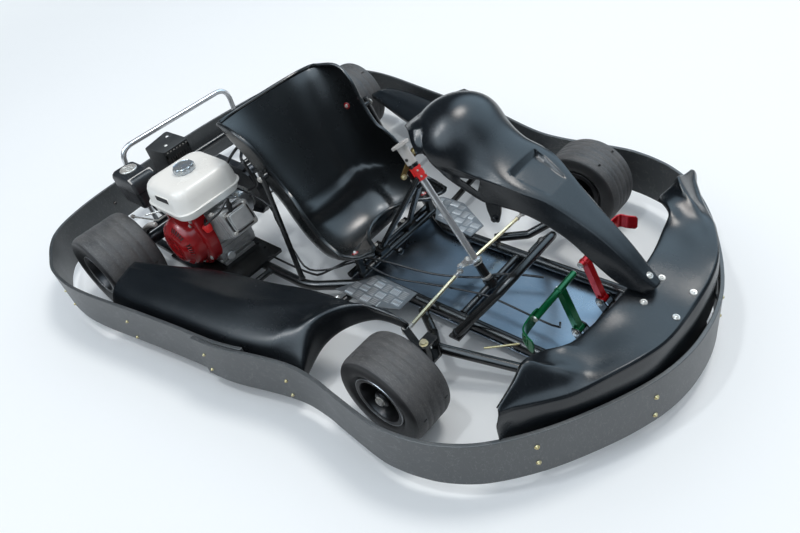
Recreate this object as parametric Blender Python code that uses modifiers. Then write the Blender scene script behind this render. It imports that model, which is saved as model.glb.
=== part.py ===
"""Indoor rental go-kart, modelled in metres: +X forward, +Y to the driver's left, +Z up.

The origin is on the floor under the middle of the bumper ring. Each sub-part is one object.
"""
import math

import bmesh
import bpy
from mathutils import Matrix, Vector

# Overall layout
LENGTH = 2.076              # bumper ring, nose to tail
FRONT_OVERHANG = 0.541      # nose of the ring to the front axle line
WHEELBASE = 1.127
GAP = 0.0004                # left between pieces that touch
RUNNING_GAP = 0.0008        # left between a turning piece and its seat

NOSE_X = LENGTH / 2
TAIL_X = -LENGTH / 2
FRONT_AXLE_X = NOSE_X - FRONT_OVERHANG
REAR_AXLE_X = FRONT_AXLE_X - WHEELBASE

# Wheels
FRONT_TYRE_RADIUS = 0.127
FRONT_TYRE_WIDTH = 0.128
FRONT_WHEEL_Y = 0.450
REAR_TYRE_RADIUS = 0.137
REAR_TYRE_WIDTH = 0.180
REAR_WHEEL_Y = 0.547
RIM_SEAT_RADIUS = 0.0635    # a five inch rim
RIM_FLANGE_RADIUS = 0.073
RIM_WALL = 0.004
RIM_INSET = 0.006           # rim edge inside the tyre's side
TYRE_WALL = 0.007
RIM_HUB_WALL = 0.012
WHEEL_SIDES = 20

# Rear axle and what turns with it
AXLE_RADIUS = 0.020
AXLE_BORE = 0.015
AXLE_LENGTH = 1.200
SPROCKET_Y = -0.150
SPROCKET_RADIUS = 0.080
PINION_RADIUS = 0.030
SPROCKET_THICKNESS = 0.005
CHAIN_DEPTH = 0.008
CHAIN_WIDTH = 0.009
DISC_Y = 0.170
DISC_RADIUS = 0.095
DISC_THICKNESS = 0.005
CARRIER_WALL = 0.014        # of the hubs that carry the sprocket and the disc
CARRIER_REACH = 0.015       # from the middle of the plate to the end of its hub
HANGER_THICKNESS = 0.022
HANGER_RADIUS = 0.040
CALIPER_SIZE = (0.063, 0.052, 0.054)
CALIPER_AHEAD = 0.055       # axle line to the caliper's back
DISC_CLEARANCE = 0.001      # each side of the disc in its caliper
CLUTCH_RADIUS = 0.046
CLUTCH_DEPTH = 0.040

# Front stub axles
KINGPIN_Y = 0.330
KINGPIN_RADIUS = 0.005
STUB_BARREL_RADIUS = 0.014
STUB_BARREL_HEIGHT = 0.054
SPINDLE_RADIUS = 0.0085
SPINDLE_OVERHANG = 0.058    # past the middle of the wheel
ARM_REACH_X = 0.118         # kingpin back to the tie rod joint
ARM_REACH_Y = 0.050         # kingpin in to the tie rod joint
ARM_THICKNESS = 0.006
ARM_WIDTH = 0.020
ARM_DROP = 0.023            # below the spindle line
YOKE_THICKNESS = 0.006

# Steering
TIE_ROD_RADIUS = 0.006
TIE_ROD_EYE_RADIUS = 0.010
TIE_ROD_INNER_Y = 0.020
TIE_ROD_Z = 0.0925
COLUMN_SETBACK = 0.045      # column foot behind the front axle line
COLUMN_FOOT_Z = 0.070
COLUMN_RAKE = math.radians(58.8)
COLUMN_LENGTH = 0.450
COLUMN_RADIUS = 0.010
PITMAN_HEIGHT = 0.077       # along the column from its foot
PITMAN_REACH = 0.055
PITMAN_WIDTH = 0.044
BLOCK_HEIGHT = 0.368        # along the column from its foot to the red block
BLOCK_SIZE = (0.038, 0.056, 0.036)
STEERING_HUB_LENGTH = 0.0625
STEERING_HUB_RADIUS = 0.0145
STEERING_FLANGE_RADIUS = 0.026

# Frame tubes
RAIL_RADIUS = 0.015
RAIL_Z = 0.062
RAIL_FRONT_Y = 0.145
RAIL_REAR_Y = 0.270
CROSS_RADIUS = 0.014
SMALL_RADIUS = 0.010
TUBE_RING = 3               # bevel resolution: ten sides
TAIL_CROSS_SETBACK = 0.145  # tail cross tube behind the rear axle line

# Bumper ring
STRIP_BOTTOM = 0.044
STRIP_TOP = 0.186
STRIP_THICKNESS = 0.010
RING_TAIL_Y = 0.732         # half width at the rear axle
RING_WAIST_Y = 0.573        # half width between pods and front wheels
RING_WHEEL_Y = 0.589        # half width at the front axle
BUMPER_BAR_Z = 0.115

# Floor
TRAY_THICKNESS = 0.0025
TREAD_THICKNESS = 0.003

# Seat
SEAT_WALL = 0.006
SEAT_CROSS_AHEAD = 0.725    # of the rear axle, middle of the double tube
CROSS_TUBE_SPREAD = 0.034   # between the two tubes' middles
STAY_RADIUS = 0.008
STAY_BEND_Y = 0.226         # the stays pass between seat and fuel tank
STRUT_RADIUS = 0.009        # of the V that holds up the steering block
STRUT_FOOT_Y = 0.065
STRUT_BRIDGE_Z = 0.137

# Engine
CRANK_AHEAD = 0.222         # crankshaft ahead of the rear axle
CRANK_Z = 0.199
ENGINE_FRONT_Y = -0.360     # crankcase face under the fan shroud
ENGINE_BACK_Y = -0.225      # crankcase face on the drive side
SHROUD_RADIUS = 0.104
SHROUD_DEPTH = 0.032
RECOIL_RADIUS = 0.078
RECOIL_DEPTH = 0.054
CYLINDER_RAKE = math.radians(22)
CYLINDER_LENGTH = 0.205
MOUNT_THICKNESS = 0.010
TANK_SIZE = (0.217, 0.233, 0.100)
TANK_TOP = 0.412
TANK_NECK_DEPTH = 0.030

# Pedals
PEDAL_PIVOT_AHEAD = 0.255   # of the front axle line
PEDAL_PIVOT_Z = 0.085
PEDAL_TUBE_AHEAD = 0.208
PEDAL_TUBE_Z = 0.200
THROTTLE_Y = -0.045
BRAKE_Y = 0.075

# Cables
BRAKE_HOSE_RADIUS = 0.0035
THROTTLE_CABLE_RADIUS = 0.003
CABLE_POINTS = 60

CRANK_X = REAR_AXLE_X + CRANK_AHEAD
COLUMN_FOOT = Vector((FRONT_AXLE_X - COLUMN_SETBACK, 0, COLUMN_FOOT_Z))
COLUMN_AXIS = Vector((-math.cos(COLUMN_RAKE), 0, math.sin(COLUMN_RAKE)))
COLUMN_FRONT = Vector((math.sin(COLUMN_RAKE), 0, math.cos(COLUMN_RAKE)))
RAIL_TOP = RAIL_Z + RAIL_RADIUS
TAIL_CROSS_X = REAR_AXLE_X - TAIL_CROSS_SETBACK
MOUNT_TOP = RAIL_TOP + GAP + MOUNT_THICKNESS
PEDAL_PIVOT_X = FRONT_AXLE_X + PEDAL_PIVOT_AHEAD
PEDAL_TUBE_X = FRONT_AXLE_X + PEDAL_TUBE_AHEAD
CLUTCH_Y = SPROCKET_Y - 0.016
CLUTCH_FACE = 0.006                     # drum's outer face, from the clutch's own middle
SEAT_CROSS_X = REAR_AXLE_X + SEAT_CROSS_AHEAD
Y_AXIS_TURN = (-math.pi / 2, 0, 0)      # turns a piece's own Z to +Y
RIGHT_TURN = (math.pi / 2, 0, 0)        # turns a piece's own Z to -Y
COLUMN_TURN = (0, COLUMN_RAKE - math.pi / 2, 0)
SIDES = ((-1, 'right'), (1, 'left'))


def nose(x, y, z=0.0):
    """A point drawn in the layout's own X, carried along with the nose."""
    return Vector((NOSE_X - 1.038 + x, y, z))


def front(x, y, z=0.0):
    """A point drawn in the layout's own X, carried along with the front axle."""
    return Vector((FRONT_AXLE_X - 0.497 + x, y, z))


def rear(x, y, z=0.0):
    """A point drawn in the layout's own X, carried along with the rear axle."""
    return Vector((REAR_AXLE_X + 0.630 + x, y, z))


def tail(x, y, z=0.0):
    """A point drawn in the layout's own X, carried along with the tail."""
    return Vector((TAIL_X + 1.038 + x, y, z))


def by_seat(x, y, z=0.0):
    """A point drawn in the layout's own X, carried along with the seat's cross tube."""
    return Vector((SEAT_CROSS_X - 0.095 + x, y, z))


def mirror(point, side):
    return Vector((point[0], point[1] * side, point[2]))


def clear_scene():
    for obj in list(bpy.data.objects):
        bpy.data.objects.remove(obj, do_unlink=True)


def new_collection(name):
    collection = bpy.data.collections.new(name)
    bpy.context.scene.collection.children.link(collection)
    return collection


def new_material(name, color, roughness, metallic=0.0):
    material = bpy.data.materials.new(name)
    material.use_nodes = True
    surface = material.node_tree.nodes['Principled BSDF']
    surface.inputs['Base Color'].default_value = (*color, 1)
    surface.inputs['Roughness'].default_value = roughness
    surface.inputs['Metallic'].default_value = metallic
    return material


clear_scene()
PARTS = new_collection('indoor_go_kart')
CUTTERS = new_collection('cutters')
BLACK_STEEL = new_material('black_painted_steel', (0.010, 0.010, 0.012), 0.35)
BLACK_SHELL = new_material('black_moulded_plastic', (0.012, 0.013, 0.016), 0.42)
BLACK_SEAT = new_material('black_gloss_plastic', (0.008, 0.008, 0.009), 0.22)
BLACK_STRIP = new_material('black_bumper_plastic', (0.020, 0.020, 0.024), 0.5)
TYRE_RUBBER = new_material('tyre_rubber', (0.018, 0.018, 0.018), 0.75)
DARK_ALLOY = new_material('dark_alloy', (0.02, 0.02, 0.022), 0.35, 0.8)
STEEL = new_material('bright_steel', (0.56, 0.56, 0.57), 0.25, 1.0)
ZINC = new_material('yellow_zinc', (0.62, 0.50, 0.26), 0.35, 1.0)
ALUMINIUM = new_material('aluminium', (0.62, 0.64, 0.66), 0.4, 1.0)
CAST_ALUMINIUM = new_material('cast_aluminium', (0.42, 0.42, 0.42), 0.5, 1.0)
RED_PLASTIC = new_material('red_plastic', (0.55, 0.01, 0.015), 0.35)
RED_STEEL = new_material('red_painted_steel', (0.50, 0.006, 0.01), 0.3, 0.3)
GREEN_STEEL = new_material('green_painted_steel', (0.0, 0.16, 0.045), 0.3, 0.3)
WHITE_STEEL = new_material('white_painted_steel', (0.75, 0.74, 0.69), 0.3)
LIGHT_GREY = new_material('light_grey_paint', (0.55, 0.55, 0.53), 0.45)
BLACK_RUBBER = new_material('black_rubber', (0.015, 0.015, 0.016), 0.6)


def add_object(name, data, material, location=(0, 0, 0), rotation=(0, 0, 0)):
    """Link an object to the parts, or to the cutters when it has no material."""
    obj = bpy.data.objects.new(name, data)
    obj.location = location
    obj.rotation_euler = rotation
    if material is None:
        CUTTERS.objects.link(obj)
        hide_helper(obj)
    else:
        data.materials.append(material)
        PARTS.objects.link(obj)
    return obj


def hide_helper(obj):
    obj.hide_render = True
    obj.display_type = 'WIRE'


def turned(name, profile, material, location=(0, 0, 0), rotation=Y_AXIS_TURN, sides=WHEEL_SIDES,
           ring=True):
    """Turn (radius, height) points, listed down the outer side, about the object's own Z."""
    mesh = bpy.data.meshes.new(name)
    points = [(radius, 0, height) for radius, height in profile]
    edges = [(i, i + 1) for i in range(len(points) - 1)]
    if ring:
        edges.append((len(points) - 1, 0))
    mesh.from_pydata(points, edges, [])
    obj = add_object(name, mesh, material, location, rotation)
    screw = obj.modifiers.new('Turn', 'SCREW')
    screw.steps = sides
    screw.render_steps = sides
    screw.use_merge_vertices = True
    screw.merge_threshold = 0.00001
    return obj


def ring_profile(outer, inner, top, bottom):
    return [(outer, top), (outer, bottom), (inner, bottom), (inner, top)]


def rod(name, start, end, radius, material, sides=12):
    """A solid cylinder between two points, its origin at its start."""
    start, end = Vector(start), Vector(end)
    profile = [(0, (end - start).length), (radius, (end - start).length), (radius, 0), (0, 0)]
    rotation = (end - start).to_track_quat('Z', 'X').to_euler()
    return turned(name, profile, material, start, rotation, sides, ring=False)


def box(name, size, location, material, rotation=(0, 0, 0), bevel=0.0, segments=1):
    bpy.ops.mesh.primitive_cube_add(size=1)
    obj = bpy.context.active_object
    mesh = obj.data
    bpy.data.objects.remove(obj, do_unlink=True)
    mesh.name = name
    mesh.transform(Matrix.Diagonal((*size, 1)))
    obj = add_object(name, mesh, material, location, rotation)
    if bevel:
        modifier = obj.modifiers.new('Edges', 'BEVEL')
        modifier.width = bevel
        modifier.segments = segments
    return obj


def span_box(name, low, high, material, bevel=0.0, segments=1):
    """A box between two opposite corners."""
    low, high = Vector(low), Vector(high)
    return box(name, high - low, (low + high) / 2, material, bevel=bevel, segments=segments)


def tube(name, path, radius, material, ring=TUBE_RING):
    """A round tube along a path of points."""
    curve = bpy.data.curves.new(name, 'CURVE')
    curve.dimensions = '3D'
    curve.bevel_depth = radius
    curve.bevel_resolution = ring
    curve.use_fill_caps = True
    spline = curve.splines.new('POLY')
    spline.points.add(len(path) - 1)
    for point, position in zip(spline.points, path):
        point.co = (*position, 1)
    return add_object(name, curve, material)


def to_mesh(obj):
    """Replace a curve object by its welded mesh, so that it can be cut or joined."""
    depsgraph = bpy.context.evaluated_depsgraph_get()
    mesh = bpy.data.meshes.new_from_object(obj.evaluated_get(depsgraph))
    work = bmesh_from(mesh)
    bmesh.ops.remove_doubles(work, verts=work.verts, dist=0.00001)
    work.to_mesh(mesh)
    work.free()
    solid = bpy.data.objects.new(obj.name, mesh)
    solid.matrix_world = obj.matrix_world.copy()
    for collection in obj.users_collection:
        collection.objects.link(solid)
    solid.hide_render = obj.hide_render
    solid.display_type = obj.display_type
    name = obj.name
    bpy.data.objects.remove(obj, do_unlink=True)
    solid.name = name
    return solid


def bmesh_from(mesh):
    work = bmesh.new()
    work.from_mesh(mesh)
    return work


def solid_tube(name, path, radius, material):
    return to_mesh(tube(name, path, radius, material))


def rounded(corners, radius, steps=2):
    """A path through the corners with every inner corner rounded off."""
    corners = [Vector(corner) for corner in corners]
    path = [corners[0]]
    for before, corner, after in zip(corners, corners[1:], corners[2:]):
        back = before - corner
        ahead = after - corner
        half_bend = back.angle(ahead) / 2
        reach = min(radius / math.tan(half_bend), 0.45 * back.length, 0.45 * ahead.length)
        start = corner + back.normalized() * reach
        end = corner + ahead.normalized() * reach
        for i in range(steps + 1):
            t = i / steps
            path.append(start.lerp(corner, t).lerp(corner.lerp(end, t), t))
    path.append(corners[-1])
    return path


def smooth(points, count):
    """Evenly spaced points read from a smooth curve through the given ones."""
    points = [Vector(point) for point in points]
    points = [2 * points[0] - points[1]] + points + [2 * points[-1] - points[-2]]
    fine = []
    for a, b, c, d in zip(points, points[1:], points[2:], points[3:]):
        for i in range(16):
            t = i / 16
            fine.append(0.5 * (2 * b + (c - a) * t + (2 * a - 5 * b + 4 * c - d) * t ** 2
                               + (3 * b - a - 3 * c + d) * t ** 3))
    fine.append(points[-2])
    travelled = [0.0]
    for before, after in zip(fine, fine[1:]):
        travelled.append(travelled[-1] + (after - before).length)
    path = []
    k = 0
    for i in range(count):
        target = travelled[-1] * i / (count - 1)
        while k < len(fine) - 2 and travelled[k + 1] < target:
            k += 1
        share = (target - travelled[k]) / (travelled[k + 1] - travelled[k])
        path.append(fine[k].lerp(fine[k + 1], share))
    return path


def mirrored_path(path):
    """A right-hand path carried on over the middle to the left."""
    return path + [Vector((p[0], -p[1], p[2])) for p in reversed(path)]


def flat_plate(name, outline, half_thickness, material, location, rotation=(0, 0, 0), holes=()):
    """A plate drawn as a flat outline with holes, thickened both ways."""
    curve = bpy.data.curves.new(name, 'CURVE')
    curve.dimensions = '2D'
    curve.fill_mode = 'BOTH'
    curve.extrude = half_thickness
    for points in (outline, *holes):
        spline = curve.splines.new('POLY')
        spline.points.add(len(points) - 1)
        spline.use_cyclic_u = True
        for point, position in zip(spline.points, points):
            point.co = (position[0], position[1], 0, 1)
    return add_object(name, curve, material, location, rotation)


def circle(radius, sides=WHEEL_SIDES, center=(0, 0)):
    steps = [2 * math.pi * i / sides for i in range(sides)]
    return [(center[0] + radius * math.cos(a), center[1] + radius * math.sin(a)) for a in steps]


def mesh_object(name, vertices, faces, material):
    mesh = bpy.data.meshes.new(name)
    mesh.from_pydata([tuple(v) for v in vertices], [], faces)
    return add_object(name, mesh, material)


def shell(name, rows, thickness, material):
    """A thin skin through rows of points, its drawn side up and its thickness below."""
    columns = len(rows[0])
    vertices = [point for row in rows for point in row]
    faces = []
    for r in range(len(rows) - 1):
        for c in range(columns - 1):
            first = r * columns + c
            faces.append((first, first + 1, first + columns + 1, first + columns))
    obj = mesh_object(name, vertices, faces, material)
    if sum(face.normal.z * face.area for face in obj.data.polygons) < 0:
        obj.data.flip_normals()
    solidify = obj.modifiers.new('Thickness', 'SOLIDIFY')
    solidify.thickness = thickness
    solidify.offset = -1
    return obj


def inset_path(path, distance):
    """The same number of points moved sideways, to the left of the direction of travel."""
    moved = []
    for i, point in enumerate(path):
        before = path[max(i - 1, 0)]
        after = path[min(i + 1, len(path) - 1)]
        along = (after - before).normalized()
        moved.append(point + Vector((-along.y, along.x, 0)) * distance)
    return moved


def ribbon(name, path, bottom, top, thickness, material):
    """An upright strip along a path, thickened to the left of the direction of travel."""
    inner = inset_path(path, thickness)
    vertices = []
    for outside, inside in zip(path, inner):
        vertices += [(outside.x, outside.y, bottom), (outside.x, outside.y, top),
                     (inside.x, inside.y, top), (inside.x, inside.y, bottom)]
    faces = [(0, 1, 2, 3)]
    for i in range(len(path) - 1):
        for k in range(4):
            a, b = 4 * i + k, 4 * i + (k + 1) % 4
            faces.append((a, a + 4, b + 4, b))
    last = 4 * (len(path) - 1)
    faces.append((last + 3, last + 2, last + 1, last))
    return mesh_object(name, vertices, faces, material)


def combine(target, tool, operation):
    if tool.name in PARTS.objects:
        PARTS.objects.unlink(tool)
        CUTTERS.objects.link(tool)
    hide_helper(tool)
    modifier = target.modifiers.new(operation.title(), 'BOOLEAN')
    modifier.operation = operation
    modifier.solver = 'EXACT'
    modifier.object = tool


def join(target, *tools):
    for tool in tools:
        combine(target, tool, 'UNION')
    return target


def cut(target, *tools):
    for tool in tools:
        combine(target, tool, 'DIFFERENCE')
    return target


def on_column(height, forward=0.0, sideways=0.0):
    """A point given along the steering column, ahead of it and to its left."""
    return COLUMN_FOOT + COLUMN_AXIS * height + COLUMN_FRONT * forward + Vector((0, sideways, 0))


def reversed_down(points):
    return [(radius, -height) for radius, height in reversed(points)]


# Wheels

def build_tyre(name, radius, width, location, rotation):
    half = width / 2
    bead = half - RIM_INSET - RIM_WALL - GAP
    seat = RIM_SEAT_RADIUS + GAP
    outer = [(seat, bead), (RIM_FLANGE_RADIUS + 0.0025, bead), (radius * 0.69, half),
             (radius - 0.010, half - 0.003), (radius, half - 0.022)]
    inner = [(seat, bead - 0.009), (radius * 0.69, half - TYRE_WALL),
             (radius - TYRE_WALL - 0.001, half - 0.026)]
    profile = outer + reversed_down(outer) + [(r, -z) for r, z in inner] + inner[::-1]
    return turned(name, profile, TYRE_RUBBER, location, rotation)


def build_rim(name, width, web, hub, location, rotation):
    """Web gives the disc's place, hub its (radius, bore, inner end, outer end)."""
    edge = width / 2 - RIM_INSET
    drum = RIM_SEAT_RADIUS - RIM_WALL
    outer = [(RIM_FLANGE_RADIUS, edge), (RIM_FLANGE_RADIUS, edge - RIM_WALL),
             (RIM_SEAT_RADIUS, edge - RIM_WALL)]
    hub_radius, bore, low, high = hub
    profile = outer + reversed_down(outer) + [
        (drum, -edge), (drum, web - 0.004), (hub_radius, web - 0.004), (hub_radius, low),
        (bore, low), (bore, high), (hub_radius, high), (hub_radius, web + 0.004),
        (drum, web + 0.004), (drum, edge)]
    return turned(name, profile, DARK_ALLOY, location, rotation)


def build_wheels():
    front_hub = (SPINDLE_RADIUS + RUNNING_GAP + RIM_HUB_WALL, SPINDLE_RADIUS + RUNNING_GAP,
                 -0.050, 0.050)
    rear_hub = (AXLE_RADIUS + RIM_HUB_WALL, AXLE_RADIUS + GAP, -0.060, 0.045)
    for side, label in SIDES:
        outward = (-side * math.pi / 2, 0, 0)
        place = (FRONT_AXLE_X, side * FRONT_WHEEL_Y, FRONT_TYRE_RADIUS)
        build_tyre('front_tyre_' + label, FRONT_TYRE_RADIUS, FRONT_TYRE_WIDTH, place, outward)
        build_rim('front_rim_' + label, FRONT_TYRE_WIDTH, 0.004, front_hub, place, outward)
        place = (REAR_AXLE_X, side * REAR_WHEEL_Y, REAR_TYRE_RADIUS)
        build_tyre('rear_tyre_' + label, REAR_TYRE_RADIUS, REAR_TYRE_WIDTH, place, outward)
        build_rim('rear_rim_' + label, REAR_TYRE_WIDTH, 0.006, rear_hub, place, outward)


def build_rear_axle():
    z = REAR_TYRE_RADIUS
    half = AXLE_LENGTH / 2
    turned('rear_axle', ring_profile(AXLE_RADIUS, AXLE_BORE, half, -half), STEEL,
           (REAR_AXLE_X, 0, z))
    bore = AXLE_RADIUS + GAP
    carrier = AXLE_RADIUS + CARRIER_WALL
    sprocket = SPROCKET_THICKNESS / 2
    turned('axle_sprocket', [(carrier, CARRIER_REACH), (carrier, sprocket), (SPROCKET_RADIUS, sprocket),
                             (SPROCKET_RADIUS, -sprocket), (bore, -sprocket), (bore, CARRIER_REACH)],
           STEEL, (REAR_AXLE_X, SPROCKET_Y, z))
    disc = DISC_THICKNESS / 2
    turned('brake_disc', [(DISC_RADIUS, disc), (DISC_RADIUS, -disc), (carrier, -disc),
                          (carrier, -CARRIER_REACH), (bore, -CARRIER_REACH), (bore, disc)],
           STEEL, (REAR_AXLE_X, DISC_Y, z))
    foot = RAIL_TOP + GAP - z
    arc = [(HANGER_RADIUS * math.cos(a), HANGER_RADIUS * math.sin(a))
           for a in [math.radians(d) for d in range(-10, 191, 20)]]
    toe = HANGER_RADIUS + 0.008
    step = foot + 0.014
    outline = [(toe, foot), (toe, step)] + arc + [(-toe, step), (-toe, foot)]
    for side, label in SIDES:
        flat_plate('axle_bearing_' + label, outline, HANGER_THICKNESS / 2, BLACK_STEEL,
                   (REAR_AXLE_X, side * RAIL_REAR_Y, z), RIGHT_TURN,
                   [circle(AXLE_RADIUS + RUNNING_GAP)])


def build_brake_caliper():
    z = REAR_TYRE_RADIUS
    length, width, height = CALIPER_SIZE
    back = REAR_AXLE_X + CALIPER_AHEAD
    ahead = back + length
    bottom = z - 0.024
    body = span_box('brake_caliper', (back, DISC_Y - width / 2, bottom),
                    (ahead, DISC_Y + width / 2, bottom + height), ALUMINIUM, 0.006)
    arm_back, arm_ahead = ahead - 0.018, ahead - 0.004
    foot_y = RAIL_REAR_Y - 0.002
    arm = span_box('caliper_arm', (arm_back, DISC_Y + width / 2 - 0.006, z - 0.012),
                   (arm_ahead, foot_y, z + 0.004), ALUMINIUM)
    foot = span_box('caliper_foot', (arm_back, foot_y - 0.012, RAIL_TOP + GAP),
                    (arm_ahead, foot_y, z), ALUMINIUM)
    slot_half = DISC_THICKNESS / 2 + DISC_CLEARANCE
    slot = span_box('caliper_slot', (back - 0.005, DISC_Y - slot_half, bottom - 0.05),
                    (REAR_AXLE_X + DISC_RADIUS + 0.005, DISC_Y + slot_half, bottom + height + 0.05), None)
    join(body, arm, foot)
    cut(body, slot)


def build_drive():
    """The clutch drum with its pinion, and the chain round pinion and sprocket."""
    pinion = PINION_RADIUS - RUNNING_GAP
    face = CLUTCH_FACE
    turned('clutch_drum', [(0, face + 0.024), (pinion, face + 0.024), (pinion, face),
                           (CLUTCH_RADIUS, face), (CLUTCH_RADIUS, face - CLUTCH_DEPTH),
                           (0, face - CLUTCH_DEPTH)],
           STEEL, (CRANK_X, CLUTCH_Y, CRANK_Z), sides=WHEEL_SIDES, ring=False)
    start = Vector((REAR_AXLE_X, REAR_TYRE_RADIUS))
    line = Vector((CRANK_X, CRANK_Z)) - start
    heading = math.atan2(line.y, line.x)
    lean = math.acos((SPROCKET_RADIUS - PINION_RADIUS) / line.length)

    def loop(extra):
        points = []
        for i in range(13):
            angle = heading + lean + (2 * math.pi - 2 * lean) * i / 12
            reach = SPROCKET_RADIUS + extra
            points.append((start.x + reach * math.cos(angle), start.y + reach * math.sin(angle)))
        for i in range(7):
            angle = heading - lean + 2 * lean * i / 6
            reach = PINION_RADIUS + extra
            points.append((CRANK_X + reach * math.cos(angle), CRANK_Z + reach * math.sin(angle)))
        return points

    flat_plate('drive_chain', loop(0.0035 + CHAIN_DEPTH), CHAIN_WIDTH / 2, STEEL,
               (0, SPROCKET_Y, 0), RIGHT_TURN, [loop(0.0035)])


# Front axle and steering

def build_front_axle():
    z = FRONT_TYRE_RADIUS
    half = STUB_BARREL_HEIGHT / 2
    reach = Vector((-ARM_REACH_X, -ARM_REACH_Y, 0))
    for side, label in SIDES:
        kingpin = Vector((FRONT_AXLE_X, side * KINGPIN_Y, z))
        bore = KINGPIN_RADIUS + RUNNING_GAP
        stub = turned('stub_axle_' + label, ring_profile(STUB_BARREL_RADIUS, bore, half, -half),
                      BLACK_STEEL, kingpin, (0, 0, 0), 16)
        out = Vector((0, side, 0))
        tip = FRONT_WHEEL_Y - KINGPIN_Y + SPINDLE_OVERHANG
        spindle = rod('spindle', kingpin + out * 0.008, kingpin + out * tip, SPINDLE_RADIUS,
                      BLACK_STEEL, 12)
        hub_in = FRONT_WHEEL_Y - KINGPIN_Y - 0.050 - RUNNING_GAP
        collar = rod('spindle_collar', kingpin + out * 0.009, kingpin + out * hub_in, 0.0125,
                     BLACK_STEEL, 12)
        hub_out = hub_in + 0.100 + 2 * RUNNING_GAP
        nut = rod('spindle_nut', kingpin + out * hub_out, kingpin + out * (hub_out + 0.007),
                  0.012, BLACK_STEEL, 6)
        swing = mirror(reach, side)
        arm_z = Vector((0, 0, -ARM_DROP))
        length = swing.length + 0.010 - 0.008
        middle = kingpin + arm_z + swing.normalized() * (0.008 + length / 2)
        arm = box('steering_arm', (length, ARM_WIDTH, ARM_THICKNESS), middle, BLACK_STEEL,
                  (0, 0, math.atan2(swing.y, swing.x)))
        joint = kingpin + swing
        hole = rod('arm_hole', (joint.x, joint.y, z - 0.06), (joint.x, joint.y, z + 0.02), 0.0048,
                   None, 12)
        join(stub, spindle, collar, nut, arm)
        cut(stub, hole)
        build_tie_rod(side, label, joint)
        build_kingpin_yoke(side, label, kingpin)


def build_tie_rod(side, label, joint):
    outer = Vector((joint.x, joint.y, TIE_ROD_Z))
    pin = on_column(PITMAN_HEIGHT, -PITMAN_REACH)
    inner = Vector((pin.x, side * TIE_ROD_INNER_Y, TIE_ROD_Z))
    along = (inner - outer).normalized()
    eye = TIE_ROD_EYE_RADIUS
    stud_top = FRONT_TYRE_RADIUS - ARM_DROP + ARM_THICKNESS / 2 + 0.006
    head = turned('tie_rod_' + label, [(0, stud_top - TIE_ROD_Z), (0.004, stud_top - TIE_ROD_Z),
                                       (0.004, 0.005), (eye, 0.005), (eye, -0.005), (0, -0.005)],
                  ZINC, outer, (0, 0, 0), 12, ring=False)
    bar = rod('tie_bar', outer + along * 0.004, inner - along * 0.006, TIE_ROD_RADIUS, ZINC, 10)
    end = rod('tie_end', inner - Vector((0, 0, 0.005)), inner + Vector((0, 0, 0.005)), eye, ZINC, 12)
    join(head, bar, end)


def build_kingpin_yoke(side, label, kingpin):
    z = kingpin.z
    path = [front(0.345, 0.1745, RAIL_Z), front(0.428, 0.2295, 0.065),
            front(0.494, 0.2900, 0.106), front(0.690, 0.2120, 0.066),
            front(0.860, 0.1745, RAIL_Z)]
    yoke = solid_tube('kingpin_yoke_' + label, [mirror(p, side) for p in rounded(path, 0.02)],
                      0.013, BLACK_STEEL)
    ear_z = STUB_BARREL_HEIGHT / 2 + RUNNING_GAP + YOKE_THICKNESS / 2
    middle_y = side * (KINGPIN_Y - 0.011)
    ears = [box('yoke_ear', (0.034, 0.050, YOKE_THICKNESS),
                (FRONT_AXLE_X, middle_y, z + up * ear_z), BLACK_STEEL) for up in (-1, 1)]
    web = box('yoke_web', (0.024, 0.006, 2 * ear_z + 0.002),
              (FRONT_AXLE_X + 0.004, side * (KINGPIN_Y - 0.032), z), BLACK_STEEL)
    low = kingpin - Vector((0, 0, ear_z + 0.007))
    pin = rod('kingpin', low, kingpin + Vector((0, 0, ear_z + 0.007)), KINGPIN_RADIUS, BLACK_STEEL,
              12)
    top = kingpin + Vector((0, 0, ear_z + YOKE_THICKNESS / 2 - 0.001))
    head = rod('kingpin_head', top, top + Vector((0, 0, 0.008)), 0.0095, BLACK_STEEL, 6)
    join(yoke, web, *ears, pin, head)


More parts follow.
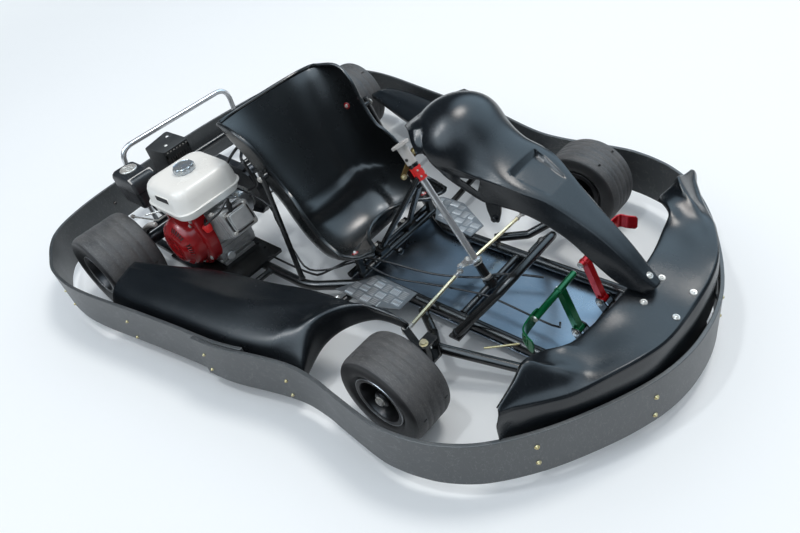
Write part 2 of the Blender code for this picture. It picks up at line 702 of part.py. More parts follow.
def build_steering():
    shaft = rod('steering_shaft', on_column(-0.010), on_column(COLUMN_LENGTH), COLUMN_RADIUS, STEEL)
    pitman_front = 0.018
    pitman_back = PITMAN_REACH + 0.010
    pitman = box('pitman', (pitman_front + pitman_back, PITMAN_WIDTH, 0.005),
                 on_column(PITMAN_HEIGHT, (pitman_front - pitman_back) / 2), STEEL, COLUMN_TURN)
    join(shaft, pitman)
    hub_start = COLUMN_LENGTH + 0.0105 - STEERING_HUB_LENGTH
    flange = STEERING_HUB_LENGTH - 0.007
    bore = COLUMN_RADIUS + GAP
    turned('steering_hub', [(STEERING_FLANGE_RADIUS, STEERING_HUB_LENGTH),
                            (STEERING_FLANGE_RADIUS, flange), (STEERING_HUB_RADIUS, flange),
                            (STEERING_HUB_RADIUS, 0), (bore, 0), (bore, STEERING_HUB_LENGTH)],
           LIGHT_GREY, on_column(hub_start), COLUMN_TURN, 16)
    bore = COLUMN_RADIUS + RUNNING_GAP
    block = box('steering_block', BLOCK_SIZE, on_column(BLOCK_HEIGHT), RED_PLASTIC, COLUMN_TURN,
                0.002)
    cut(block, rod('block_bore', on_column(BLOCK_HEIGHT - 0.04), on_column(BLOCK_HEIGHT + 0.04),
                   bore, None, 16))
    plate_forward = -BLOCK_SIZE[0] / 2 - GAP - 0.002
    plate = box('steering_support', (0.004, 0.062, 0.066),
                on_column(BLOCK_HEIGHT - 0.010, plate_forward), BLACK_STEEL, COLUMN_TURN)
    struts = []
    cross_top = RAIL_TOP + 2 * SMALL_RADIUS + GAP
    pad = (0.050, 0.040, 0.014)
    pad_z = cross_top + pad[2] / 2 + 0.0011
    for side in (-1, 1):
        foot = Vector((SEAT_CROSS_X + 0.006, side * STRUT_FOOT_Y, pad_z + 0.0015))
        head = on_column(BLOCK_HEIGHT - 0.022, plate_forward - 0.004, side * 0.021)
        struts.append(rod('steering_strut', foot, head, STRUT_RADIUS, BLACK_STEEL, 10))
        struts.append(box('strut_foot', pad, (SEAT_CROSS_X, side * STRUT_FOOT_Y, pad_z), BLACK_STEEL))
    share = (STRUT_BRIDGE_Z - foot.z) / (head.z - foot.z)
    bridge_x = foot.x + (head.x - foot.x) * share
    bridge_y = STRUT_FOOT_Y + (head.y - STRUT_FOOT_Y) * share
    bridge = rod('strut_bridge', (bridge_x, -bridge_y, STRUT_BRIDGE_Z),
                 (bridge_x, bridge_y, STRUT_BRIDGE_Z), 0.006, BLACK_STEEL, 8)
    join(plate, *struts, bridge)
    cross = solid_tube('lower_steering_bearing',
                       [(COLUMN_FOOT.x, -RAIL_FRONT_Y + RAIL_RADIUS + GAP, RAIL_Z),
                        (COLUMN_FOOT.x, RAIL_FRONT_Y - RAIL_RADIUS - GAP, RAIL_Z)],
                       SMALL_RADIUS, BLACK_STEEL)
    boss = rod('bearing_boss', on_column(-0.014), on_column(0.016), 0.017, BLACK_STEEL, 16)
    join(cross, boss)
    cut(cross, rod('boss_bore', on_column(-0.05), on_column(0.05), bore, None, 16))


# Frame

def build_frame():
    for side, label in SIDES:
        path = [front(0.905, RAIL_FRONT_Y, RAIL_Z), front(0.170, RAIL_FRONT_Y, RAIL_Z),
                rear(-0.030, RAIL_REAR_Y, RAIL_Z), rear(-0.790, RAIL_REAR_Y, RAIL_Z)]
        rail = solid_tube('main_rail_' + label, [mirror(p, side) for p in rounded(path, 0.15)],
                          RAIL_RADIUS, BLACK_STEEL)
        path = [rear(-0.200, RAIL_REAR_Y, RAIL_Z), rear(-0.200, 0.585, RAIL_Z),
                front(0.080, 0.560, RAIL_Z), front(0.125, 0.173, RAIL_Z)]
        side_frame = solid_tube('side_frame', [mirror(p, side) for p in rounded(path, 0.05)],
                                SMALL_RADIUS, BLACK_STEEL)
        join(rail, side_frame)
    path = rounded([nose(0.916, -RAIL_FRONT_Y, RAIL_Z), nose(0.972, -0.130, 0.095),
                    nose(1.0085, -0.060, BUMPER_BAR_Z), nose(1.0085, 0, BUMPER_BAR_Z)], 0.04)
    bar = solid_tube('front_bumper_bar', mirrored_path(path[:-1]), CROSS_RADIUS, BLACK_STEEL)
    posts = [rod('cover_post', nose(1.0080, side * 0.043, BUMPER_BAR_Z),
                 nose(0.985, side * 0.043, 0.228), 0.006, BLACK_STEEL, 8) for side in (-1, 1)]
    join(bar, *posts)
    start = rear(-0.7990, -RAIL_REAR_Y, RAIL_Z)
    end = tail(-1.0080, 0, BUMPER_BAR_Z)
    bend_x = start.x + (end.x - start.x) * 0.627
    path = rounded([start, (bend_x, -RAIL_REAR_Y, 0.100), (end.x, -0.215, end.z), end], 0.07)
    tube('rear_bumper_bar', mirrored_path(path[:-1]), CROSS_RADIUS, BLACK_STEEL)
    build_seat_cross_tube()
    build_engine_cradle()
    path = rounded([front(0.488, 0.2100, 0.072), front(0.580, 0.1250, 0.195),
                    front(0.598, 0.0950, 0.222), front(0.598, 0, 0.222)], 0.05)
    right = [mirror(p, -1) for p in path]
    hoop = solid_tube('steering_hoop', mirrored_path(right[:-1]), 0.012, BLACK_STEEL)
    feet = []
    for side in (-1, 1):
        low = front(0.472, side * 0.1610, 0.0655)
        high = front(0.506, side * 0.2200, 0.0725)
        feet.append(span_box('hoop_foot', (low.x, min(low.y, high.y), low.z),
                             (high.x, max(low.y, high.y), high.z), BLACK_STEEL))
    join(hoop, *feet)


def build_seat_cross_tube():
    z = RAIL_TOP + SMALL_RADIUS + GAP
    tubes = []
    for end, half in ((-1, 0.188), (1, 0.174)):
        x = SEAT_CROSS_X + end * CROSS_TUBE_SPREAD / 2
        tubes.append(solid_tube('seat_cross_tube', [(x, -half, z), (x, half, z)], SMALL_RADIUS,
                                BLACK_STEEL))
    back, ahead = tubes
    pieces = [ahead]
    for side in (-1, 1):
        tab_height = 0.062
        pieces.append(box('seat_tab', (0.016, 0.018, tab_height),
                          (SEAT_CROSS_X + 0.014, side * 0.163, z + tab_height / 2 + 0.001),
                          BLACK_STEEL))
        pieces.append(box('cross_tie', (CROSS_TUBE_SPREAD + 0.006, 0.036, 0.008),
                          (SEAT_CROSS_X, side * STRUT_FOOT_Y, z), BLACK_STEEL))
    stem_x = SEAT_CROSS_X + 0.020
    pieces.append(rod('knob_stem', (stem_x, -0.034, z), (stem_x + 0.030, -0.034, z + 0.004), 0.006,
                      BLACK_STEEL, 8))
    join(back, *pieces)


def build_engine_cradle():
    """The plate under the engine with its outer tube, and the tail cross tube behind it."""
    back = CRANK_X - 0.150
    ahead = CRANK_X + 0.190
    plate = span_box('engine_cradle', (back, -0.420, RAIL_TOP + GAP), (ahead, -0.205, MOUNT_TOP),
                     BLACK_STEEL)
    tube_z = RAIL_TOP + 0.002 - RAIL_RADIUS + 0.001
    outer = solid_tube('cradle_tube', [rear(-0.782, -0.385, tube_z), rear(-0.2125, -0.385, tube_z)],
                       RAIL_RADIUS, BLACK_STEEL)
    cross_z = RAIL_TOP + GAP + 0.012
    cross = solid_tube('tail_cross', [(TAIL_CROSS_X, -0.402, cross_z), (TAIL_CROSS_X, 0.290, cross_z)],
                       0.012, BLACK_STEEL)
    join(plate, outer, cross)
    top = cross_z + 0.012 + GAP
    hoop_z = 0.392
    path = rounded([(TAIL_CROSS_X, -0.330, top), (TAIL_CROSS_X, -0.330, hoop_z),
                    (TAIL_CROSS_X, 0.130, hoop_z), (TAIL_CROSS_X, 0.130, top)], 0.05, 4)
    tube('rear_hoop', path, 0.009, STEEL)


def build_floor():
    half = RAIL_FRONT_Y + 0.013
    outline = [by_seat(0.050, -0.215), front(0.170, -half), nose(0.900, -half), nose(0.935, -0.130),
               nose(0.935, 0.130), nose(0.900, half), front(0.170, half), by_seat(0.050, 0.215)]
    z = RAIL_Z - RAIL_RADIUS - GAP - TRAY_THICKNESS / 2
    flat_plate('floor_tray', outline, TRAY_THICKNESS / 2, ALUMINIUM, (0, 0, z - 0.002))
    z = RAIL_TOP + GAP + TREAD_THICKNESS / 2
    outlines = {
        'right': [by_seat(0.074, -0.248), by_seat(0.147, -0.141), front(0.303, -0.143),
                  front(0.300, -0.216), by_seat(0.216, -0.248)],
        'left': [by_seat(0.071, 0.245), by_seat(0.136, 0.150), front(0.290, 0.132),
                 front(0.295, 0.191), by_seat(0.170, 0.258), by_seat(0.087, 0.256)]}
    for label, outline in outlines.items():
        flat_plate('tread_plate_' + label, outline, TREAD_THICKNESS / 2, ALUMINIUM, (0, 0, z))


def ring_outline():
    """The right half of the bumper ring's outer face, as its rear and front groups of points."""
    back = [tail(-1.038, 0), tail(-1.037, -0.168), tail(-1.016, -0.402), tail(-0.984, -0.533),
            tail(-0.943, -0.609), tail(-0.889, -0.655), rear(-0.820, -0.691),
            rear(-0.740, -0.722), rear(-0.627, -RING_TAIL_Y), rear(-0.524, -0.724),
            rear(-0.408, -0.704), rear(-0.274, -0.679)]
    ahead = [front(-0.045, -0.652), front(0.029, -0.641), front(0.088, -0.626),
             front(0.152, -0.606), front(0.230, -0.584), front(0.294, -RING_WAIST_Y),
             front(0.367, -RING_WAIST_Y), front(0.426, -0.579), front(0.548, -RING_WHEEL_Y),
             front(0.610, -0.584), front(0.661, -0.572), front(0.710, -0.554),
             front(0.764, -0.523), nose(0.808, -0.486), nose(0.860, -0.428), nose(0.905, -0.366),
             nose(0.955, -0.282), nose(0.992, -0.208), nose(1.019, -0.137), nose(1.034, -0.067),
             nose(1.038, 0)]
    return back, ahead


def build_bumper_ring():
    back, ahead = ring_outline()
    path = ahead[:-1]
    whole = path + [ahead[-1]] + [Vector((p.x, -p.y, 0)) for p in reversed(path)]
    ribbon('front_bumper_strip', whole, STRIP_BOTTOM, STRIP_TOP, STRIP_THICKNESS, BLACK_STRIP)
    lap = inset_path(ahead, STRIP_THICKNESS + GAP + 0.0010)[:4]
    lap_end = lap[2].lerp(lap[3], 0.5)
    start = front(-0.125, -0.6535)
    rest = [lap_end, lap[2], lap[1], Vector((lap[0].x, lap[0].y, 0)), start] + back[::-1][:-1]
    whole = rest[::-1]
    right = [Vector((p.x, p.y, 0)) for p in whole]
    left = [Vector((p.x, -p.y, 0)) for p in reversed(right)]
    path = left + [back[0]] + right
    ribbon('rear_bumper_strip', path, STRIP_BOTTOM, STRIP_TOP, STRIP_THICKNESS, BLACK_STRIP)


# Body shells

def both_sides(half_rows):
    """Rows drawn from the middle to the right, completed with their mirror images."""
    left = [[Vector((p[0], -p[1], p[2])) for p in row] for row in reversed(half_rows[1:])]
    return left + half_rows


def build_nose_cover():
    rows = [
        [nose(0.862, 0, 0.262), nose(0.930, 0, 0.252), nose(1.000, 0, 0.238), nose(1.016, 0, 0.180)],
        [nose(0.861, -0.100, 0.266), nose(0.930, -0.100, 0.256), nose(1.001, -0.100, 0.248),
         nose(1.008, -0.103, 0.180)],
        [nose(0.842, -0.200, 0.254), nose(0.915, -0.190, 0.256), nose(0.984, -0.179, 0.258),
         nose(0.988, -0.180, 0.180)],
        [nose(0.836, -0.252, 0.272), nose(0.890, -0.262, 0.252), nose(0.940, -0.268, 0.254),
         nose(0.942, -0.268, 0.180)],
        [nose(0.806, -0.285, 0.272), nose(0.862, -0.311, 0.276), nose(0.896, -0.335, 0.238),
         nose(0.893, -0.346, 0.180)],
        [nose(0.778, -0.320, 0.256), nose(0.836, -0.330, 0.284), nose(0.868, -0.372, 0.240),
         nose(0.858, -0.400, 0.185)],
        [nose(0.790, -0.367, 0.260), nose(0.812, -0.360, 0.303), nose(0.838, -0.414, 0.247),
         nose(0.826, -0.438, 0.200)],
        [nose(0.797, -0.440, 0.263), nose(0.802, -0.444, 0.266), nose(0.808, -0.450, 0.258),
         nose(0.804, -0.458, 0.226)]]
    shell('nose_cover', both_sides(rows), 0.003, BLACK_SHELL)


def build_steering_fairing():
    """Each section: place, top middle height, shoulder (half width, height), hem, hem height."""
    sections = [
        (0.250, 0.540, 0.020, 0.538, 0.022, 0.534), (0.318, 0.578, 0.066, 0.568, 0.072, 0.548),
        (0.362, 0.617, 0.104, 0.594, 0.118, 0.560), (0.400, 0.620, 0.128, 0.575, 0.137, 0.520),
        (0.450, 0.610, 0.118, 0.562, 0.134, 0.480), (0.505, 0.580, 0.104, 0.530, 0.120, 0.455),
        (0.565, 0.532, 0.088, 0.508, 0.104, 0.446), (0.630, 0.498, 0.078, 0.492, 0.090, 0.441),
        (0.690, 0.463, 0.056, 0.461, 0.076, 0.418), (0.745, 0.426, 0.040, 0.424, 0.066, 0.384),
        (0.800, 0.387, 0.030, 0.385, 0.055, 0.330), (0.850, 0.345, 0.025, 0.343, 0.044, 0.285),
        (0.912, 0.287, 0.018, 0.285, 0.030, 0.270)]
    rows = []
    for x, top, shoulder, shoulder_z, hem, hem_z in sections:
        middle = (shoulder * 0.6, top * 0.72 + shoulder_z * 0.28)
        lower = ((shoulder + 2 * hem) / 3, (shoulder_z + hem_z) / 2)
        half = [middle, (shoulder, shoulder_z), lower, (hem, hem_z)]
        row = [front(x, -w, z) for w, z in reversed(half)] + [front(x, 0, top)]
        row += [front(x, w, z) for w, z in half]
        rows.append(row)
    shell('steering_fairing', rows, 0.003, BLACK_SHELL)


def build_side_pods():
    rows = [
        [rear(-0.475, 0.551, 0.200), rear(-0.470, 0.575, 0.201), rear(-0.464, 0.605, 0.200),
         rear(-0.458, 0.668, 0.172), rear(-0.455, 0.692, 0.110)],
        [rear(-0.361, 0.511, 0.200), rear(-0.361, 0.542, 0.201), rear(-0.361, 0.577, 0.200),
         rear(-0.361, 0.658, 0.174), rear(-0.361, 0.678, 0.110)],
        [rear(-0.176, 0.442, 0.200), rear(-0.178, 0.494, 0.201), rear(-0.180, 0.546, 0.200),
         rear(-0.182, 0.628, 0.172), rear(-0.182, 0.646, 0.110)],
        [front(0.004, 0.399, 0.200), front(0.004, 0.450, 0.201), front(0.004, 0.507, 0.200),
         front(0.004, 0.594, 0.168), front(0.004, 0.614, 0.110)],
        [front(0.130, 0.362, 0.200), front(0.128, 0.402, 0.202), front(0.126, 0.450, 0.202),
         front(0.130, 0.550, 0.175), front(0.138, 0.584, 0.110)],
        [front(0.420, 0.314, 0.188), front(0.330, 0.324, 0.198), front(0.264, 0.372, 0.202),
         front(0.234, 0.450, 0.196), front(0.250, 0.544, 0.120)],
        [front(0.426, 0.320, 0.150), front(0.340, 0.332, 0.140), front(0.272, 0.384, 0.090),
         front(0.248, 0.455, 0.080), front(0.258, 0.546, 0.075)]]
    for side, label in SIDES:
        shell('side_pod_' + label, [[mirror(p, side) for p in row] for row in rows], 0.003,
              BLACK_SHELL)


# Seat

def build_seat():
    """Rows run from the top of the back to the front edge, each from the middle to its lip."""
    middles = [(-0.352, 0.505), (-0.325, 0.450), (-0.285, 0.370), (-0.245, 0.290), (-0.200, 0.210),
               (-0.150, 0.130), (-0.085, 0.078), (-0.020, 0.070), (0.025, 0.098), (0.045, 0.130),
               (0.054, 0.152), (0.060, 0.168)]
    lips = [(-0.303, 0.194, 0.516), (-0.221, 0.210, 0.520), (-0.165, 0.206, 0.485),
            (-0.129, 0.199, 0.416), (-0.086, 0.195, 0.354), (-0.055, 0.200, 0.330),
            (-0.020, 0.207, 0.290), (0.025, 0.207, 0.225), (0.065, 0.205, 0.194),
            (0.101, 0.205, 0.184), (0.148, 0.190, 0.188), (0.187, 0.167, 0.204)]
    rows = []
    for (middle_x, middle_z), (lip_x, lip_y, lip_z) in zip(middles, lips):
        row = []
        for i in range(-6, 7):
            angle = abs(i) / 6 * math.pi / 2
            across = math.sin(angle) ** 0.8
            rise = 1 - math.cos(angle) ** 0.8
            row.append(by_seat(middle_x + (lip_x - middle_x) * rise,
                               math.copysign(lip_y * across, i),
                               middle_z + (lip_z - middle_z) * rise))
        rows.append(row)
    shell('seat', rows, SEAT_WALL, BLACK_SEAT)
    for side, label in SIDES:
        foot = by_seat(-0.055, side * (RAIL_REAR_Y - 0.004), RAIL_TOP + 0.003)
        bend = by_seat(-0.128, side * STAY_BEND_Y, 0.385)
        top = by_seat(-0.136, side * (STAY_BEND_Y - 0.004), 0.420)
        stay = solid_tube('seat_stay_' + label, rounded([foot, bend, top], 0.05), STAY_RADIUS,
                          BLACK_STEEL)
        spacer = rod('stay_spacer', by_seat(-0.131, side * STAY_BEND_Y, 0.400),
                     by_seat(-0.131, side * 0.2085, 0.400), STAY_RADIUS + 0.001, BLACK_STEEL, 10)
        join(stay, spacer)


# Engine

def build_engine():
    crank = Vector((CRANK_X, 0, CRANK_Z))
    block = span_box('engine_block', (CRANK_X - 0.078, ENGINE_FRONT_Y, MOUNT_TOP + GAP),
                     (CRANK_X + 0.086, ENGINE_BACK_Y, CRANK_Z + 0.064), CAST_ALUMINIUM, 0.008)
    axis = Vector((math.cos(CYLINDER_RAKE), 0, math.sin(CYLINDER_RAKE)))
    middle_y = (ENGINE_FRONT_Y + ENGINE_BACK_Y) / 2
    lift = Vector((0, middle_y, 0))
    turn = (0, -CYLINDER_RAKE, 0)
    barrel = box('cylinder', (0.110, 0.108, 0.092), crank + lift + axis * 0.125, CAST_ALUMINIUM, turn)
    head = box('cylinder_head', (0.034, 0.096, 0.084), crank + lift + axis * (CYLINDER_LENGTH - 0.017),
               CAST_ALUMINIUM, turn)
    boss_end = CLUTCH_Y + CLUTCH_FACE - CLUTCH_DEPTH - RUNNING_GAP
    boss = rod('drive_boss', (CRANK_X, ENGINE_BACK_Y - 0.004, CRANK_Z), (CRANK_X, boss_end, CRANK_Z),
               0.030, CAST_ALUMINIUM, 16)
    join(block, barrel, head, boss)
    depth = SHROUD_DEPTH + RECOIL_DEPTH
    shroud = turned('fan_shroud', [(0, depth), (RECOIL_RADIUS * 0.72, depth),
                                   (RECOIL_RADIUS, depth - 0.022), (RECOIL_RADIUS, SHROUD_DEPTH),
                                   (SHROUD_RADIUS, SHROUD_DEPTH - 0.006), (SHROUD_RADIUS, 0), (0, 0)],
                    RED_STEEL, (CRANK_X, ENGINE_FRONT_Y - GAP, CRANK_Z), RIGHT_TURN, 24, ring=False)
    duct = span_box('fan_duct', (CRANK_X - 0.092, ENGINE_FRONT_Y - GAP - SHROUD_DEPTH + 0.004, CRANK_Z),
                    (CRANK_X + 0.080, ENGINE_FRONT_Y - GAP, TANK_TOP - TANK_SIZE[2] - GAP), RED_STEEL,
                    0.006)
    join(shroud, duct)
    handle_y = ENGINE_FRONT_Y - 0.006
    span_box('recoil_handle', (CRANK_X + 0.095, handle_y - 0.014, CRANK_Z + 0.048),
             (CRANK_X + 0.123, handle_y + 0.014, CRANK_Z + 0.074), RED_PLASTIC, 0.006)
    build_fuel_tank()
    build_intake_and_muffler()


def build_fuel_tank():
    length, width, height = TANK_SIZE
    middle = Vector((CRANK_X + 0.019, -0.314, TANK_TOP - height / 2))
    tank = box('fuel_tank', TANK_SIZE, middle, WHITE_STEEL, bevel=0.022, segments=3)
    cap = Vector((CRANK_X + 0.019, -0.314, TANK_TOP))
    neck = rod('tank_neck', cap - Vector((0, 0, TANK_NECK_DEPTH)), cap + Vector((0, 0, 0.02)), 0.0150,
               None, 16)
    cut(tank, neck)
    turned('fuel_cap', [(0, 0.019), (0.031, 0.019), (0.034, 0.013), (0.034, GAP),
                        (0.0142, GAP), (0.0142, -0.008), (0, -0.008)],
           STEEL, cap, (0, 0, 0), 16, ring=False)


def build_intake_and_muffler():
    block_back = CRANK_X - 0.078
    body = box('air_filter', (0.142, 0.092, 0.108), rear(-0.655, -0.367, 0.316), BLACK_SHELL,
               bevel=0.008)
    carburettor = span_box('carburettor', (block_back - 0.105, -0.350, 0.232),
                           (block_back - GAP, -0.302, 0.282), BLACK_SHELL)
    join(body, carburettor)
    muffler = box('muffler', (0.120, 0.104, 0.098), rear(-0.686, -0.208, 0.324), BLACK_STEEL,
                  bevel=0.006)
    pipe = solid_tube('exhaust_pipe',
                      rounded([rear(-0.640, -0.246, 0.300), rear(-0.545, -0.246, 0.300),
                               rear(-0.520, -0.246, 0.246), (block_back - GAP, -0.246, 0.246)], 0.03),
                      0.012, BLACK_STEEL)
    join(muffler, pipe)


# Pedals

def build_pedals():
    bracket = solid_tube('pedal_bracket',
                         [(PEDAL_PIVOT_X + 0.023, -RAIL_FRONT_Y + RAIL_RADIUS + GAP, RAIL_Z),
                          (PEDAL_PIVOT_X + 0.023, RAIL_FRONT_Y - RAIL_RADIUS - GAP, RAIL_Z)],
                         SMALL_RADIUS, BLACK_STEEL)
    throttle_plate = [front(0.700, -0.136), front(0.707, -0.207), front(0.728, -0.228),
                      front(0.751, -0.237)]
    brake_plate = [front(0.751, 0.262), front(0.728, 0.255), front(0.703, 0.246),
                   front(0.697, 0.180)]
    pedals = (('throttle_pedal', THROTTLE_Y, -0.160, 0.018, throttle_plate, GREEN_STEEL),
              ('brake_pedal', BRAKE_Y, 0.050, 0.200, brake_plate, RED_STEEL))
    pieces = []
    for name, y, low_y, high_y, plate_path, material in pedals:
        pivot = Vector((PEDAL_PIVOT_X, y, PEDAL_PIVOT_Z))
        bar = Vector((PEDAL_TUBE_X, y, PEDAL_TUBE_Z))
        bore = 0.005 + RUNNING_GAP
        barrel = turned(name, ring_profile(0.011, bore, 0.013, -0.013), material, pivot,
                        Y_AXIS_TURN, 16)
        rise = bar - pivot
        length = rise.length - 0.008
        lean = math.atan2(rise.x, rise.z)
        arm = box('pedal_arm', (0.018, 0.020, length), pivot + rise.normalized() * (0.008 + length / 2),
                  material, (0, lean, 0))
        cross = rod('pedal_tube', (bar.x, low_y, bar.z), (bar.x, high_y, bar.z), 0.009, material, 10)
        foot = ribbon('pedal_plate', plate_path, bar.z - 0.020, bar.z + 0.020, 0.004, material)
        join(barrel, arm, cross, foot)
        for out in (-1, 1):
            middle_y = y + out * (0.013 + RUNNING_GAP + 0.002)
            pieces.append(box('clevis_ear', (0.044, 0.004, 0.044),
                              (PEDAL_PIVOT_X + 0.010, middle_y, PEDAL_PIVOT_Z - 0.011), BLACK_STEEL))
        pieces.append(rod('pivot_pin', (pivot.x, y - 0.021, pivot.z), (pivot.x, y + 0.021, pivot.z),
                          0.005, BLACK_STEEL, 12))
    join(bracket, *pieces)


# Cables

def build_cables():
    over_cross = RAIL_TOP + 2 * SMALL_RADIUS + 0.0055
    hose = [front(0.575, 0.080, 0.078), front(0.514, 0.057, 0.080), front(0.455, 0.0285, 0.079),
            front(0.400, 0.000, 0.066), front(0.277, -0.050, 0.068),
            Vector((SEAT_CROSS_X + 0.040, -0.104, over_cross)),
            Vector((SEAT_CROSS_X - 0.040, -0.134, over_cross)),
            rear(0.006, -0.212, 0.092), rear(-0.060, -0.228, 0.066), rear(-0.300, -0.228, 0.060),
            rear(-0.500, -0.215, 0.060), rear(-0.548, -0.100, 0.060), rear(-0.548, 0.080, 0.060),
            rear(-0.522, 0.148, 0.070), rear(-0.522, 0.154, 0.1125)]
    tube('brake_hose', smooth(hose, CABLE_POINTS), BRAKE_HOSE_RADIUS, BLACK_RUBBER, 2)
    cable = [front(0.715, -0.070, 0.110), front(0.690, -0.062, 0.078), front(0.500, -0.054, 0.078),
             front(0.430, -0.064, 0.078), front(0.300, -0.090, 0.070), front(0.198, -0.122, 0.074),
             Vector((SEAT_CROSS_X + 0.030, -0.142, over_cross)),
             Vector((SEAT_CROSS_X - 0.030, -0.149, over_cross)),
             rear(0.025, -0.205, 0.104), rear(-0.060, -0.232, 0.088), rear(-0.130, -0.216, 0.120),
             rear(-0.165, -0.214, 0.220), rear(-0.190, -0.212, 0.285), rear(-0.400, -0.212, 0.297),
             rear(-0.485, -0.228, 0.297), rear(-0.512, -0.262, 0.294), rear(-0.548, -0.290, 0.262)]
    tube('throttle_cable', smooth(cable, CABLE_POINTS), THROTTLE_CABLE_RADIUS, BLACK_RUBBER, 2)


build_frame()
build_floor()
build_bumper_ring()
build_wheels()
build_rear_axle()
build_brake_caliper()
build_drive()
build_front_axle()
build_steering()
build_seat()
build_engine()
build_pedals()
build_nose_cover()
build_steering_fairing()
build_side_pods()
build_cables()
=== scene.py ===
from math import acos, atan2, copysign, cos, degrees, hypot, pi, radians, sin, sqrt, tan

import bmesh
import bpy
from mathutils import Matrix, Vector
from mathutils.bvhtree import BVHTree


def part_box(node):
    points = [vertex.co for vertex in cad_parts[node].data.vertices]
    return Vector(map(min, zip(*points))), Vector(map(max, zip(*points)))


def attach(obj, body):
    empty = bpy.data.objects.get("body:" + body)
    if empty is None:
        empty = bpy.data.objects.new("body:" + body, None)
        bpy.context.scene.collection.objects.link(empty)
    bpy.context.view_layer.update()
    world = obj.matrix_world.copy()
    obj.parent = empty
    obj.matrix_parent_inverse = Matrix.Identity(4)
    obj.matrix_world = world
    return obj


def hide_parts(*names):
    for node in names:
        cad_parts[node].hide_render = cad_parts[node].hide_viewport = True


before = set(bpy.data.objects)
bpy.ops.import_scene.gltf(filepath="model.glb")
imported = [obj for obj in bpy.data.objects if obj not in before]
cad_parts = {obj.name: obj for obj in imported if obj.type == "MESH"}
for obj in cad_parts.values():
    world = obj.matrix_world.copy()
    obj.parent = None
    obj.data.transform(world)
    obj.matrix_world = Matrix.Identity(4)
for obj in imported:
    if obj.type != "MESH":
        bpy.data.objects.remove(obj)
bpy.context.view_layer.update()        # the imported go-kart, fixed in place
sides = ((-1, 'right', 'Right'), (1, 'left', 'Left'))
print('frame loaded:', len(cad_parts), 'nodes')


# Paths and places

def rounded(corners, radius, steps=6):
    # every inner corner of the path becomes a short curve
    corners = [Vector(corner) for corner in corners]
    path = [corners[0]]
    for before, corner, after in zip(corners, corners[1:], corners[2:]):
        back, ahead = before - corner, after - corner
        reach = min(radius / tan(back.angle(ahead) / 2), 0.45 * back.length, 0.45 * ahead.length)
        start = corner + back.normalized() * reach
        end = corner + ahead.normalized() * reach
        for i in range(steps + 1):
            t = i / steps
            path.append(start.lerp(corner, t).lerp(corner.lerp(end, t), t))
    path.append(corners[-1])
    return path


def splineThrough(points, steps, breaks=()):
    # a smooth run of points through the given ones, with a sharp corner at each break
    points = [Vector(point) for point in points]
    path = []
    for k in range(len(points) - 1):
        b, c = points[k], points[k + 1]
        a = points[k - 1] if k > 0 and k not in breaks else 2 * b - c
        d = points[k + 2] if k + 2 < len(points) and k + 1 not in breaks else 2 * c - b
        for i in range(steps):
            t = i / steps
            path.append(0.5 * (2 * b + (c - a) * t + (2 * a - 5 * b + 4 * c - d) * t ** 2
                + (3 * b - a - 3 * c + d) * t ** 3))
    path.append(points[-1])
    return path


def pathLength(path):
    return sum((after - before).length for before, after in zip(path, path[1:]))


def spaced(path, count, gaps):
    # the first points of the path's division into equal gaps
    travelled = [0.0]
    for before, after in zip(path, path[1:]):
        travelled.append(travelled[-1] + (after - before).length)
    spots, k = [], 0
    for i in range(count):
        target = travelled[-1] * i / gaps
        while k < len(path) - 2 and travelled[k + 1] < target:
            k += 1
        spots.append(path[k].lerp(path[k + 1], (target - travelled[k]) / (travelled[k + 1] - travelled[k])))
    return spots


def flip(point, side):
    # the point on its side of the kart, 1 for the left and -1 for the right
    return Vector((point[0], point[1] * side, point[2]))


def bothSides(path):
    # a right-hand path that ends on the middle, carried on to the left
    return list(path) + [flip(p, -1) for p in reversed(path[:-1])]


def facing(origin, direction, spin=0.0):
    # a place whose own Z looks along the direction
    matrix = Vector(direction).to_track_quat('Z', 'Y').to_matrix().to_4x4() @ Matrix.Rotation(spin, 4, 'Z')
    matrix.translation = Vector(origin)
    return matrix


def framed(origin, x, y, z):
    # a place with these three directions of its own
    matrix = Matrix((x, y, z)).transposed().to_4x4()
    matrix.translation = origin
    return matrix


def at(x, y, z):
    return Matrix.Translation((x, y, z))


def around(radius, angle, height=0.0):
    # a place on a circle, at its angle and height
    return at(radius * cos(angle), radius * sin(angle), height)


def upright(x=0, y=0, z=0):
    # a place for an outline drawn in X and Z, its own Z looking to the right
    return Matrix(((1, 0, 0, x), (0, 0, -1, y), (0, 1, 0, z), (0, 0, 0, 1)))


def arc(radius, start, end, steps):
    # flat points along an arc, its ends in degrees
    angles = [radians(start + (end - start) * i / steps) for i in range(steps + 1)]
    return [(radius * cos(angle), radius * sin(angle)) for angle in angles]


def sleeve(bore, radius, low, high, chamfer=0.0):
    # the profile of a sleeve, to be turned as a loop
    if not chamfer:
        return [(bore, low), (radius, low), (radius, high), (bore, high)]
    return [(bore, low), (radius - chamfer, low), (radius, low + chamfer), (radius, high - chamfer),
        (radius - chamfer, high), (bore, high)]


def circle(radius, count=24, center=(0, 0)):
    return [(center[0] + radius * cos(2 * pi * i / count), center[1] + radius * sin(2 * pi * i / count))
        for i in range(count)]


def roundBox(halfX, halfY, corner, count=8):
    # a rectangle with round corners, as flat points
    points = []
    for cx, cy, start in ((halfX, halfY, 0), (-halfX, halfY, 90), (-halfX, -halfY, 180),
            (halfX, -halfY, 270)):
        centerX = cx - copysign(corner, cx)
        centerY = cy - copysign(corner, cy)
        for i in range(count + 1):
            angle = radians(start + 90 * i / count)
            points.append((centerX + corner * cos(angle), centerY + corner * sin(angle)))
    return points


